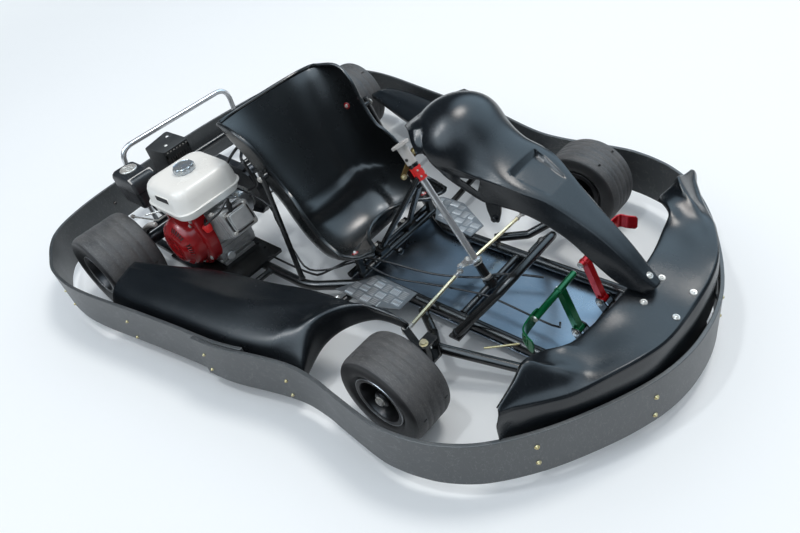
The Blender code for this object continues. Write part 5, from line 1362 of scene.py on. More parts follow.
seat = {
    'thick': 0.006, 'rim': 0.0062,
    'middles': [(-0.352, 0.505), (-0.325, 0.450), (-0.285, 0.370), (-0.245, 0.290), (-0.200, 0.210),
        (-0.150, 0.130), (-0.085, 0.078), (-0.020, 0.070), (0.025, 0.098), (0.045, 0.130),
        (0.052, 0.152), (0.055, 0.170)],
    'lips': [(-0.303, 0.194, 0.516), (-0.221, 0.210, 0.520), (-0.165, 0.206, 0.485),
        (-0.129, 0.199, 0.416), (-0.086, 0.195, 0.354), (-0.055, 0.200, 0.330), (-0.020, 0.207, 0.290),
        (0.025, 0.207, 0.225), (0.065, 0.205, 0.194), (0.101, 0.205, 0.184), (0.148, 0.190, 0.188),
        (0.187, 0.167, 0.204)],
    'tongue': [(0, 0), (0.3, 0.083), (0.587, 0.273), (0.72, 0.667), (0.89, 0.82), (1, 1)],
    'tongueShare': {9: 0.3, 10: 0.6, 11: 1.0}, 'columns': 8, 'padMiddle': (-0.078, 0.0),
    'padHalf': (0.076, 0.150), 'padDepth': 0.010, 'lipHeight': 0.008, 'frontBolt': (0.098, 0.160),
    'stayBolt': (-0.195, 0.395),
}


def tongueAt(share):
    # how far ahead the seat's front edge runs at its share of the width
    for (a, low), (b, high) in zip(seat['tongue'], seat['tongue'][1:]):
        if share <= b:
            return low + (high - low) * (share - a) / (b - a)
    return 1.0


def seatRows():
    # rows across the seat, from its back's top to its front edge
    rows = []
    for k, ((middleX, middleZ), (lipX, lipY, lipZ)) in enumerate(zip(seat['middles'], seat['lips'])):
        row = []
        mix = seat['tongueShare'].get(k, 0)
        for i in range(-seat['columns'], seat['columns'] + 1):
            angle = abs(i) / seat['columns'] * pi / 2
            across = sin(angle) ** 0.8
            rise = 1 - cos(angle) ** 0.8
            ahead = rise * (1 - mix) + tongueAt(across) * mix
            row.append(Vector((middleX + (lipX - middleX) * ahead, copysign(lipY * across, i),
                middleZ + (lipZ - middleZ) * rise)))
        rows.append(row)
    return rows


def pressPad(point):
    # the shallow recess one sits in
    away = abs((point.x - seat['padMiddle'][0]) / seat['padHalf'][0]) ** 3 + abs((point.y
        - seat['padMiddle'][1]) / seat['padHalf'][1]) ** 3
    if point.z > 0.2:
        return point
    fade = max(0.0, min(1.0, (1.0 - away) / 0.22))
    lip = sin(pi * max(0.0, min(1.0, (away - 0.94) / 1.5))) if point.x < seat['padMiddle'][0] else 0
    return point + Vector((0, 0, -seat['padDepth'] * fade * fade * (3 - 2 * fade))) + Vector((0.5, 0,
        0.85)) * seat['lipHeight'] * lip


def buildSeat():
    rows = seatRows()
    surface = sheetPiece('seat', rows, seat['thick'], 'seatGloss', 'seat', steps=(6, 4), edge=0.0015,
        press=pressPad)
    # the rolled rim runs all the way round
    top, bottom = splineThrough(rows[0], 4), splineThrough(rows[-1], 4)
    left = splineThrough([row[-1] for row in rows], 6)
    right = splineThrough([row[0] for row in rows], 6)
    around = top + left[1:] + bottom[::-1][1:] + right[::-1][1:-1]
    rim = Shape()
    rings = []
    for i, point in enumerate(around):
        along = (around[(i + 1) % len(around)] - around[i - 1]).normalized()
        outward = surface.find_nearest(point)[1]
        inward = along.cross(outward).normalized()
        rings.append([point + (outward * x + inward * y) * seat['rim'] for x, y in circle(1, 10)])
    rim.skin(rings, loop=True)
    rim.make('seatRim', 'seatGloss')
    washers, heads = Shape(), Shape()
    stayX, stayZ = seat['stayBolt']
    for side in (-1, 1):
        places = [resting(surface, (seat['frontBolt'][0], side * seat['frontBolt'][1], 1)),
            resting(surface, (stayX, 0, stayZ), (0, side, 0))]
        for place in places:
            washers.turn([(0.0105, -0.001), (0.0105, 0.0006), (0.0085, 0.003), (0.0055, 0.0032),
                (0.0055, -0.001)], place, 24, loop=True)
            heads.cupBolt(place @ at(0, 0, 0.0022), 0.006)
    washers.make('seatWashers', 'redPaint', slot='red_plastic')
    heads.make('seatBolts', 'boltSteel')


def buildStays():
    for side, label, title in sides:
        path = rounded([flip(p, side) for p in ((-0.055, 0.266, 0.08), (-0.128, 0.226, 0.385),
            (-0.136, 0.222, 0.42))], 0.05, 8)
        shape = Shape()
        shape.tube(path, 0.008, 24)
        shape.tube([flip((-0.131, 0.226, 0.4), side), flip((-0.131, 0.207, 0.4), side)], 0.009, 20)
        shape.bead(path[0] + Vector((0, 0, 0.001)), path[1] - path[0], 0.008, 0.002)
        shape.make('seatStay' + title, 'blackPaint', 'seat_stay_' + label, bevel=0.0006)
        bolt = Shape()
        bolt.hexBolt(facing(flip((-0.131, 0.234, 0.4), side), (0, side, 0)), 0.0075, 0.0055, 0.01)
        bolt.make('stayBolt' + title, 'boltSteel')


buildSeat()
buildStays()
print('seat built')


# Steering column, its bearings and the V that holds it up

column = {
    'radius': 0.010, 'top': 0.450, 'pitman': 0.077, 'pitmanThick': 0.005, 'block': 0.368,
    'blockSize': (0.027, 0.024, 0.040), 'hubLow': 0.398, 'hubLength': 0.0625, 'hubRadius': 0.0145,
    'flangeRadius': 0.026, 'plateForward': -0.0214, 'strutFootY': 0.065, 'strutRadius': 0.009,
    'bridgeZ': 0.137, 'barEnds': ((0.236, 0.025, 0.434), (0.228, -0.025, 0.377)),
    'pitmanOutline': [(-0.065, -0.022), (-0.060, -0.0225), (-0.045, -0.022), (-0.010, -0.017),
        (0.006, -0.017), (0.013, -0.012), (0.018, 0), (0.013, 0.012), (0.006, 0.017), (-0.010, 0.017),
        (-0.045, 0.022), (-0.060, 0.0225), (-0.065, 0.022), (-0.068, 0.010), (-0.068, -0.010)],
}


def buildShaft():
    r = column['radius']
    shape = Shape()
    shape.turn([(r * 0.5, -0.01), (r, -0.009), (r, 0.449), (r - 0.0015, column['top']),
        (0.004, column['top'])], columnPlace(0), 40)
    shape.pierced(column['pitmanOutline'],
        [circle(r + 0.0002, 24), circle(0.0045, 16, (-0.055, 0.017)),
        circle(0.0045, 16, (-0.055, -0.017))], -column['pitmanThick'] / 2, column['pitmanThick'] / 2,
        columnPlace(column['pitman']))
    shape.bead(onColumn(column['pitman'] + 0.003), columnAxis, r, 0.0018)
    shape.make('steeringShaft', 'polished', 'steering_shaft', body='steering', bevel=0.0006)
    tubes = Shape()
    tubes.turn(sleeve(r + 0.0002, 0.0125, 0.0185, 0.072), columnPlace(0), 32, loop=True)
    tubes.turn([(r + 0.0002, 0.3865), (0.0135, 0.387), (0.0145, 0.396), (r + 0.0002, 0.397)],
        columnPlace(0), 32, loop=True)
    tubes.make('shaftSleeves', 'blackPaint', body='steering', bevel=0.0005)
    collar = Shape()
    collar.turn(sleeve(0.0126, 0.015, 0.019, 0.025), columnPlace(0), 32, loop=True)
    collar.turn(sleeve(0.0126, 0.0142, 0.066, 0.07), columnPlace(0), 32, loop=True)
    for side in (-1, 1):
        collar.hexBolt(columnPlace(column['pitman'] + 0.0028, -0.055, side * 0.017), 0.0062, 0.005, 0.0075)
    collar.make('shaftCollars', 'boltSteel', body='steering', bevel=0.0003)


def buildSteeringHub():
    low, top = column['hubLow'], column['hubLow'] + column['hubLength']
    bore, r, flange = column['radius'] + 0.0004, column['hubRadius'], column['flangeRadius']
    shape = Shape()
    shape.turn([(bore, low), (r - 0.001, low), (r, low + 0.001), (r, top - 0.01), (r + 0.003, top - 0.0072),
        (bore, top - 0.0072)], columnPlace(0), 40, loop=True)
    holes = [circle(bore, 24)] + [circle(0.0031, 16, (0.0198 * cos(a), 0.0198 * sin(a)))
        for a in (0.5, 0.5 + 2.0944, 0.5 + 4.1888)]
    shape.pierced(circle(flange, 48), holes, top - 0.007, top, columnPlace(0))
    shape.make('steeringHub', 'lightGrey', 'steering_hub', body='steering', bevel=0.0007)
    screw = Shape()
    toward = (columnFront * 0.35 + Vector((0, -1, 0))).normalized()
    place = facing(onColumn(low + 0.017) + toward * (r - 0.0012), toward)
    screw.turn([(0.0045, 0), (0.0045, 0.0022), (0.0036, 0.003), (0.0022, 0.003), (0.002, 0.0012)], place,
        20)
    screw.make('hubScrew', 'exhaustBlack', body='steering')


def buildSteeringBlock():
    depth, width, height = column['blockSize']
    shape = Shape()
    for way in (-1, 1):
        notch = [(x * way, y * way) for x, y in arc(0.011, -84, 84, 14)]
        half = [(0.0006 * way, -width / 2 * way), ((depth / 2 - 0.003) * way, -width / 2 * way),
            (depth / 2 * way, (-width / 2 + 0.003) * way), (depth / 2 * way, (width / 2 - 0.003) * way),
            ((depth / 2 - 0.003) * way, width / 2 * way), (0.0006 * way, width / 2 * way)]
        shape.prism(half + notch[::-1], -height / 2, height / 2, columnPlace(column['block']))
    shape.make('steeringBlock', 'redPlastic', 'steering_block', bevel=0.001)
    bolts = Shape()
    for side in (-1, 1):
        for up in (-0.0095, 0.0095):
            bolts.hexBolt(facing(onColumn(column['block'] + up, depth / 2, side * 0.0085), columnFront,
                up * 40), 0.003, 0.0025)
            bolts.hexBolt(facing(onColumn(column['block'] + up, column['plateForward'] - 0.0021,
                side * 0.0125), -columnFront), 0.005, 0.0045)
    bolts.make('steeringBlockBolts', 'boltSteel')


def buildSteeringSupport():
    shape = Shape()
    place = framed(onColumn(column['block'] - 0.01, column['plateForward']), (0, 1, 0), columnAxis,
        Vector((0, 1, 0)).cross(columnAxis))
    shape.prism(roundBox(0.017, 0.028, 0.006, 5), -0.002, 0.002, place)
    padTop = railTop + 0.0204 + 0.015
    for side in (-1, 1):
        foot = Vector((seatCrossX + 0.006, side * column['strutFootY'], padTop - 0.006))
        head = onColumn(column['block'] - 0.022, column['plateForward'] - 0.004, side * 0.012)
        shape.tube([foot, head, head + (head - foot).normalized() * 0.028], column['strutRadius'], 24)
        shape.bead(foot + (head - foot).normalized() * 0.009, head - foot, column['strutRadius'], 0.0022)
        shape.span((seatCrossX - 0.025, side * 0.065 - 0.02, padTop - 0.0135),
            (seatCrossX + 0.025, side * 0.065 + 0.02, padTop - 0.0005))
        if side == 1:
            share = (column['bridgeZ'] - foot.z) / (head.z - foot.z)
            spot = foot.lerp(head, share)
            shape.tube([flip(spot, -1), spot], 0.006, 18)
    shape.make('steeringSupport', 'blackPaint', 'steering_support', bevel=0.0012)
    bolts = Shape()
    for side in (-1, 1):
        bolts.hexBolt(facing((seatCrossX - 0.016, side * 0.065, padTop), (0, 0, 1), side), 0.006, 0.005,
            0.008)
    bolts.make('supportBolts', 'boltSteel')
    # a flat bar bolted across behind the block, with brass bolts
    bar = Shape()
    ends = [Vector(end) for end in column['barEnds']]
    along = (ends[0] - ends[1]).normalized()
    outward = (columnFront - along * columnFront.dot(along)).normalized()
    place = framed((ends[0] + ends[1]) / 2, along, outward.cross(along), outward)
    bar.prism(roundBox(0.046, 0.0095, 0.008, 6), -0.0018, 0.0018, place)
    bar.make('columnBar', 'agedBrass', bevel=0.0008)
    heads = Shape()
    for reach in (0.037, -0.037):
        head = place @ at(reach, 0, 0.0018)
        nut = place @ at(reach, 0, -0.0018) @ Matrix.Rotation(pi, 4, 'X')
        heads.hexBolt(head, 0.0062, 0.006, 0.0078)
        heads.hexBolt(nut, 0.0062, 0.006, 0.0078)
    heads.make('columnBarBolts', 'brassBolt')


def buildLowerBearing():
    shape = Shape()
    for side in (-1, 1):
        shape.tube([(0.452, side * 0.1296, railZ), (0.452, side * 0.012, railZ)], 0.01, 22)
        shape.bead((0.452, side * 0.127, railZ), (0, 1, 0), 0.01, 0.0016)
    bore = column['radius'] + 0.0008
    shape.turn(sleeve(bore, 0.017, -0.014, 0.016, 0.001), columnPlace(0), 36, loop=True)
    shape.make('lowerSteeringBearing', 'blackPaint', 'lower_steering_bearing', bevel=0.0006)


buildShaft()
buildSteeringHub()
buildSteeringBlock()
buildSteeringSupport()
buildLowerBearing()
print('steering built')


# Front axle

frontAxle = {
    'kingpinY': 0.330, 'z': 0.127, 'barrel': 0.014, 'barrelHalf': 0.027, 'pin': 0.005, 'spindle': 0.0085,
    'arm': (-0.118, -0.050), 'armDrop': 0.023, 'armThick': 0.006, 'armWidth': 0.020, 'earZ': 0.0308,
    'tieZ': 0.0925,
    'yoke': [(0.345, 0.1745, 0.062), (0.428, 0.2295, 0.065), (0.494, 0.290, 0.106),
        (0.690, 0.212, 0.066), (0.860, 0.1745, 0.062)],
}


def buildStub(side, label, title):
    pin = Vector((axleFront, side * frontAxle['kingpinY'], frontAxle['z']))
    half, bore = frontAxle['barrelHalf'], frontAxle['pin'] + 0.0008
    r = frontAxle['barrel']
    shape = Shape()
    shape.turn(sleeve(bore, r, -half, half, 0.001), Matrix.Translation(pin), 32, loop=True)
    out = Vector((0, side, 0))
    shape.turn([(0.0125, 0.01), (0.0125, 0.0682), (0.011, 0.0692), (frontAxle['spindle'], 0.0692),
        (frontAxle['spindle'], 0.177), (0.007, 0.1785), (0.003, 0.1785)], facing(pin, out), 28)
    swing = Vector((frontAxle['arm'][0], side * frontAxle['arm'][1], 0))
    turn = Matrix.Rotation(atan2(swing.y, swing.x), 4, 'Z')
    turn.translation = pin + Vector((0, 0, -frontAxle['armDrop']))
    reach, w = swing.length, frontAxle['armWidth'] / 2
    tip = [(reach + x, y) for x, y in arc(w, -90, 90, 12)]
    outline = [(0.006, -w * 1.2), (0.045, -w)] + tip + [(0.045, w), (0.006, w * 1.2)]
    thick = frontAxle['armThick'] / 2
    shape.pierced(outline, [circle(0.0048, 20, (reach, 0))], -thick, thick, turn)
    shape.bead(pin + out * 0.0145, out, 0.0125, 0.002)
    shape.make('stubAxle' + title, 'blackPaint', 'stub_axle_' + label, body='stub_' + label, bevel=0.0006)
    fittings = Shape()
    fittings.turn([(0.0135, 0.1708), (0.0135, 0.1718), (0.0088, 0.1718)], facing(pin, out), 24)
    fittings.hexBolt(facing(pin + out * 0.1718, out, 0.4), 0.0118, 0.007)
    spot = pin + swing + Vector((0, 0, -frontAxle['armDrop'] + thick))
    fittings.hexBolt(facing(spot, (0, 0, 1), 0.3), 0.0066, 0.0058, 0.0082)
    fittings.make('stubFittings' + title, 'boltSteel', body='stub_' + label, bevel=0.0004)


def buildTieRod(side, label, title):
    outer = Vector((axleFront + frontAxle['arm'][0], side * (frontAxle['kingpinY'] + frontAxle['arm'][1]),
        frontAxle['tieZ']))
    pin = onColumn(column['pitman'], -0.055)
    inner = Vector((pin.x, side * 0.02, frontAxle['tieZ']))
    along = (inner - outer).normalized()
    rod, ends = Shape(), Shape()
    rod.tube([outer.lerp(inner, 0.1), outer.lerp(inner, 0.9)], 0.006, 6)
    rod.make('tieRod' + title, 'zinc', 'tie_rod_' + label, body='tie_' + label, bevel=0.0006, angle=25)
    for spot, way in ((outer, 1), (inner, -1)):
        ends.turn([(0.0045, -0.005), (0.0085, -0.005), (0.01, -0.003), (0.01, 0.003), (0.0085, 0.005),
            (0.0045, 0.005)], Matrix.Translation(spot), 28, loop=True)
        ends.turn([(0.0044, -0.0042), (0.0062, -0.0022), (0.0068, 0.0), (0.0062, 0.0022), (0.0044, 0.0042)],
            Matrix.Translation(spot), 20)
        ends.tube([spot + along * way * 0.008, spot + along * way * 0.024, spot + along * way * 0.034],
            [0.0052, 0.0052, 0.004], 16)
        ends.turn([(0.008, 0), (0.008, 0.005), (0.0072, 0.0055)],
            facing(spot + along * way * 0.0235, along * way), 6)
    ends.tube([outer + Vector((0, 0, 0.004)), outer + Vector((0, 0, 0.0195))], 0.004, 14)
    ends.make('rodEnds' + title, 'boltSteel', body='tie_' + label, bevel=0.0004)


def buildYoke(side, label, title):
    pin = Vector((axleFront, side * frontAxle['kingpinY'], frontAxle['z']))
    shape = Shape()
    path = rounded(frontAxle['yoke'], 0.03, 8)
    shape.tube([flip(p, side) for p in path], 0.013, 28)
    outline = [(x, y * side) for x, y in arc(0.017, 0, 180, 12)] + [(-0.017, side * -0.036),
        (0.017, side * -0.036)]
    for up in (-1, 1):
        place = Matrix.Translation(pin + Vector((0, 0, up * frontAxle['earZ'])))
        shape.prism(outline, -0.003, 0.003, place)
    shape.span((axleFront - 0.008, min(side * 0.295, side * 0.301), pin.z - 0.0318),
        (axleFront + 0.016, max(side * 0.295, side * 0.301), pin.z + 0.0318))
    shape.bead(flip((0.356, 0.1815, 0.0625), side), flip((0.083, 0.055, 0.003), side), 0.013, 0.0022)
    shape.bead(flip((0.835, 0.1795, 0.0625), side), flip((0.17, -0.0375, -0.004), side), 0.013, 0.0022)
    shape.make('kingpinYoke' + title, 'blackPaint', 'kingpin_yoke_' + label, bevel=0.0008)
    bolt = Shape()
    top = pin + Vector((0, 0, frontAxle['earZ'] + 0.003))
    bolt.turn([(0.0115, 0), (0.0115, 0.0015), (0.0098, 0.0016)], Matrix.Translation(top), 28)
    bolt.hexBolt(facing(top + Vector((0, 0, 0.0014)), (0, 0, 1), 0.3), 0.0095, 0.0075)
    bolt.tube([pin - Vector((0, 0, frontAxle['earZ'] + 0.01)),
        pin - Vector((0, 0, frontAxle['earZ'] + 0.002))], 0.005, 16)
    bolt.hexBolt(facing(pin - Vector((0, 0, frontAxle['earZ'] + 0.003)), (0, 0, -1)), 0.0085, 0.006)
    bolt.make('kingpin' + title, 'zinc', bevel=0.0004)


for side, label, title in sides:
    buildStub(side, label, title)
    buildTieRod(side, label, title)
    buildYoke(side, label, title)
print('front axle built')


# Pedals

pedals = {
    'pivotX': 0.752, 'pivotZ': 0.085, 'barX': 0.705, 'barZ': 0.200, 'bar': 0.009, 'plateHalf': 0.020,
    'thick': 0.004,
    'throttle': {
        'y': -0.045, 'bar': (-0.160, 0.018), 'look': 'greenPedal',
        'plate': [(0.700, -0.136), (0.707, -0.207), (0.728, -0.228), (0.751, -0.237)]
    },
    'brake': {
        'y': 0.075, 'bar': (0.050, 0.200), 'look': 'redPedal',
        'plate': [(0.751, 0.262), (0.728, 0.255), (0.703, 0.246), (0.697, 0.180)]
    },
}


def buildPedal(name):
    given = pedals[name]
    y = given['y']
    pivot = Vector((pedals['pivotX'], y, pedals['pivotZ']))
    bar = Vector((pedals['barX'], y, pedals['barZ']))
    rise = (bar - pivot).normalized()
    ahead = Vector((0, 1, 0)).cross(rise)
    paint = Shape()
    paint.turn(sleeve(0.0058, 0.011, -0.013, 0.013, 0.0005), facing(pivot, (0, 1, 0)), 28, loop=True)
    # the arm is a channel: a web in front and two cheeks behind
    place = framed(pivot, ahead, (0, 1, 0), rise)
    length = (bar - pivot).length
    outline = [(-0.009, -0.01), (0.009, -0.01), (0.009, 0.01), (-0.009, 0.01), (-0.009, 0.0074),
        (0.0062, 0.0074), (0.0062, -0.0074), (-0.009, -0.0074)]
    paint.prism(outline, 0.0085, length - 0.004, place)
    low, high = given['bar']
    paint.tube([(bar.x, low, bar.z), (bar.x, high, bar.z)], pedals['bar'], 28)
    paint.bead((bar.x, y - 0.011, bar.z), (0, 1, 0), pedals['bar'], 0.0018)
    path = splineThrough([(x, py, 0) for x, py in given['plate']], 8)
    rings = []
    half, thick = pedals['plateHalf'], pedals['thick']
    for i, p in enumerate(path):
        along = (path[min(i + 1, len(path) - 1)] - path[max(i - 1, 0)]).normalized()
        side = Vector((-along.y, along.x, 0)) * thick / 2
        end = min(i, len(path) - 1 - i)
        h = half * (0.62 if end == 0 else 0.86 if end == 1 else 1)
        rings.append([(p.x + side.x, p.y + side.y, bar.z - h), (p.x + side.x, p.y + side.y, bar.z + h),
            (p.x - side.x, p.y - side.y, bar.z + h), (p.x - side.x, p.y - side.y, bar.z - h)])
    paint.skin(rings)
    # pressed slots with raised edges on the face of the foot plate
    for share in (0.3, 0.5, 0.7):
        k = int(share * (len(path) - 1))
        along = (path[k + 1] - path[k - 1]).normalized()
        normal = Vector((-along.y, along.x, 0))
        if normal.x > 0:
            normal = -normal
        where = framed(Vector((path[k].x, path[k].y, bar.z)) + normal * (thick / 2), along, (0, 0, 1),
            normal)
        paint.ring(roundBox(0.0058, 0.0135, 0.0052, 4), roundBox(0.004, 0.0115, 0.0036, 4), -0.0002, 0.0014,
            where)
    paint.make(name + 'Pedal', given['look'], name + '_pedal', body=name, bevel=0.0006)
    caps = Shape()
    for end, way in ((low, -1), (high, 1)):
        if abs(end - y) > 0.05 and abs(end) > 0.17:
            continue
        caps.turn([(0.0088, 0), (0.007, 0.003), (0.002, 0.0034)], facing((bar.x, end, bar.z), (0, way, 0)),
            20)
    caps.hexBolt(facing(bar + Vector((-0.0085, 0, 0.0)), (-1, 0, 0.1)), 0.0042, 0.0032)
    caps.make(name + 'PedalCaps', 'boltSteel', body=name)


def buildPedalBracket():
    shape = Shape()
    x = pedals['pivotX'] + 0.023
    shape.tube([(x, -0.1296, railZ), (x, 0.1296, railZ)], 0.01, 24)
    bolts = Shape()
    for name in ('throttle', 'brake'):
        y = pedals[name]['y']
        for out in (-1, 1):
            middle = y + out * 0.0158
            cheek = [(-0.011, 0.011), (-0.012, 0), (-0.008, -0.009), (0.01, -0.033), (0.033, -0.033),
                (0.033, -0.018), (0.016, 0.004), (0.01, 0.011), (0, 0.0125)]
            shape.prism(cheek, -0.002, 0.002, upright(pedals['pivotX'], middle, pedals['pivotZ']))
            bolts.hexBolt(facing((pedals['pivotX'], middle + out * 0.002, pedals['pivotZ']), (0, out, 0),
                0.2), 0.0072, 0.0052, 0.009)
        bolts.tube([(pedals['pivotX'], y - 0.018, pedals['pivotZ']),
            (pedals['pivotX'], y + 0.018, pedals['pivotZ'])], 0.005, 18)
    shape.make('pedalBracket', 'blackPaint', 'pedal_bracket', bevel=0.0008)
    bolts.make('pedalPins', 'boltSteel', bevel=0.0003)
    # a bent brass pin lies beside the throttle pedal
    pin = Shape()
    pin.tube(rounded([(0.582, -0.214, 0.0795), (0.616, -0.186, 0.0795), (0.65, -0.157, 0.0795)], 0.02),
        0.0028, 12)
    pin.make('throttlePin', 'brassBolt')


buildPedal('throttle')
buildPedal('brake')
buildPedalBracket()
print('pedals built')


# Rear axle, drive and brake

drive = {
    'z': 0.137, 'axle': 0.020, 'bore': 0.015, 'half': 0.600, 'sprocketY': -0.150, 'sprocket': 0.080,
    'teeth': 60, 'pinion': 0.030, 'pinionTeeth': 20, 'discY': 0.170, 'disc': 0.095, 'carrier': 0.034,
    'hangerY': 0.270, 'hangerHalf': 0.011, 'hanger': 0.040, 'clutch': 0.046, 'clutchFace': 0.006,
    'pitch': 0.0090, 'caliperBack': 0.055, 'caliperAhead': 0.118, 'caliperZ': 0.113,
}


def toothed(radius, depth, teeth):
    # the outline of a sprocket
    outline = []
    for i in range(teeth):
        for share, reach in ((0.0, -depth), (0.22, -depth), (0.42, 0.0), (0.58, 0.0), (0.78, -depth)):
            angle = 2 * pi * (i + share) / teeth
            outline.append(((radius + reach) * cos(angle), (radius + reach) * sin(angle)))
    return outline


def roundHoles(radius, circleRadius, count, start=0.0):
    # equal holes on a circle
    return [circle(radius, 18, (circleRadius * cos(start + 2 * pi * i / count),
        circleRadius * sin(start + 2 * pi * i / count))) for i in range(count)]


def buildRearAxle():
    center = Vector((axleRear, 0, drive['z']))
    shape = Shape()
    r, bore, half = drive['axle'], drive['bore'], drive['half']
    shape.turn(sleeve(bore, r, -half, half, 0.0015), facing(center, (0, 1, 0)), 48, loop=True)
    # the bright steel axle is drawn near-black as painted shade
    shape.make('rearAxle', 'axleSteel', 'rear_axle', body='axle_set')
    collars = Shape()
    for y in (-0.247, 0.247, -0.293, 0.293):
        place = facing(center + Vector((0, y, 0)), (0, 1, 0))
        collars.turn(sleeve(r + 0.0003, 0.0295, -0.0055, 0.0055, 0.001), place, 40, loop=True)
        collars.turn([(0.0034, 0), (0.0034, 0.003), (0.0024, 0.0034)],
            facing(center + Vector((0.029, y, 0)), (1, 0, 0)), 12)
    for side in (-1, 1):
        end = facing(center + Vector((0, side * (half - 0.016), 0)), (0, side, 0))
        collars.turn([(r + 0.0003, -0.01), (0.03, -0.01), (0.03, 0.008), (0.027, 0.011),
            (r + 0.0003, 0.011)], end, 6, loop=True)
    collars.make('axleCollars', 'blackPaint', body='axle_set', bevel=0.0005)
    shape = Shape()
    place = facing(center + Vector((0, drive['sprocketY'], 0)), (0, 1, 0))
    holes = [circle(0.0335, 40)] + roundHoles(0.0085, 0.052, 6, 0.3)
    shape.pierced(toothed(drive['sprocket'] + 0.0035, 0.0055, drive['teeth']), holes, -0.0022, 0.0022,
        place)
    shape.turn([(r + 0.0004, -0.0025), (0.03, -0.0025), (drive['carrier'] + 0.008, -0.0025),
        (drive['carrier'] + 0.008, 0.0055), (drive['carrier'], 0.006), (drive['carrier'] - 0.002, 0.015),
        (r + 0.0004, 0.015)], place, 48, loop=True)
    for i in range(6):
        a = 0.8 + pi * i / 3
        shape.hexBolt(place @ around(0.038, a, 0.0056), 0.0045, 0.004)
    shape.make('axleSprocket', 'steel', 'axle_sprocket', body='axle_set', angle=30)
    shape = Shape()
    place = facing(center + Vector((0, drive['discY'], 0)), (0, 1, 0))
    holes = [circle(0.046, 48)] + roundHoles(0.0036, 0.06, 12) + roundHoles(0.0036, 0.072, 12,
        0.26) + roundHoles(0.0036, 0.084, 12, 0.52)
    shape.pierced(circle(drive['disc'], 96), holes, -0.0024, 0.0024, place)
    shape.make('brakeDisc', 'steel', 'brake_disc', body='axle_set', angle=30)
    shape = Shape()
    spider = [(reach * cos(pi * i / 6), reach * sin(pi * i / 6))
        for i, reach in enumerate((0.043, 0.0535) * 6)]
    shape.pierced([tuple(v)[:2] for v in splineThrough([(*q, 0) for q in spider + spider[:1]], 4)[:-1]],
        [circle(r + 0.0005, 32)], -0.0062, -0.0026, place)
    shape.turn([(r + 0.0004, -0.015), (0.032, -0.015), (drive['carrier'], -0.013),
        (drive['carrier'], -0.006), (r + 0.0004, -0.006)], place, 48, loop=True)
    shape.make('discCarrier', 'castAluminium', body='axle_set', slot='bright_steel', bevel=0.0005)


def buildBearings():
    foot = railTop + 0.0004 - drive['z']
    reach = drive['hanger']
    toe = reach + 0.008
    outline = [(toe, foot), (toe, foot + 0.012), (toe - 0.004, foot + 0.014)] + arc(reach, -12, 192,
        34) + [(-toe + 0.004, foot + 0.014), (-toe, foot + 0.012), (-toe, foot)]
    for side, label, title in sides:
        place = upright(axleRear, side * drive['hangerY'], drive['z'])
        shape = Shape()
        shape.pierced(outline, [circle(0.0295, 48)], -drive['hangerHalf'], drive['hangerHalf'], place)
        shape.make('axleHanger' + title, 'blackPaint', 'axle_bearing_' + label, bevel=0.0012)
        shape = Shape()
        for low, high in ((0.0208, 0.0235), (0.0262, 0.0292)):
            shape.turn(sleeve(low, high, -0.008, 0.008), place, 48, loop=True)
        shape.turn(sleeve(0.0236, 0.0261, -0.0055, 0.0055), place, 48, loop=True)
        for x in (-toe + 0.006, toe - 0.006):
            shape.hexBolt(facing((axleRear + x, side * drive['hangerY'], drive['z'] + foot + 0.0125),
                (0, 0, 1)), 0.0055, 0.005, 0.0075)
        shape.make('axleBearing' + title, 'steel')


def buildCaliper():
    back, ahead, bottom = axleRear + drive['caliperBack'], axleRear + drive['caliperAhead'], drive['caliperZ']
    shape = Shape()
    for side in (-1, 1):
        near, far = side * 0.0045, side * 0.026
        y0, y1 = drive['discY'] + min(near, far), drive['discY'] + max(near, far)
        outline = [(back + 0.004, bottom), (ahead - 0.01, bottom), (ahead - 0.001, bottom + 0.008),
            (ahead - 0.001, bottom + 0.044), (ahead - 0.012, bottom + 0.0535),
            (back + 0.012, bottom + 0.0535), (back + 0.001, bottom + 0.042), (back + 0.001, bottom + 0.006)]
        shape.prism(outline, -y1, -y0, upright())
        shape.turn([(0.0165, 0), (0.0165, 0.002), (0.0135, 0.0035), (0.006, 0.0035)],
            facing((back + 0.028, drive['discY'] + far, bottom + 0.027), (0, side, 0)), 32)
        for x, z in ((back + 0.01, bottom + 0.01), (back + 0.01, bottom + 0.044),
                (ahead - 0.012, bottom + 0.012)):
            shape.hexBolt(facing((x, drive['discY'] + far, z), (0, side, 0)), 0.0042, 0.004)
    shape.span((ahead - 0.014, drive['discY'] - 0.005, bottom + 0.006),
        (ahead - 0.002, drive['discY'] + 0.005, bottom + 0.046))
    shape.span((ahead - 0.018, drive['discY'] + 0.02, drive['z'] - 0.012),
        (ahead - 0.004, 0.268, drive['z'] + 0.004))
    shape.span((ahead - 0.018, 0.256, railTop + 0.0004), (ahead - 0.004, 0.268, drive['z'] + 0.0035))
    shape.make('brakeCaliper', 'castAluminium', 'brake_caliper', slot='aluminium', bevel=0.0016)


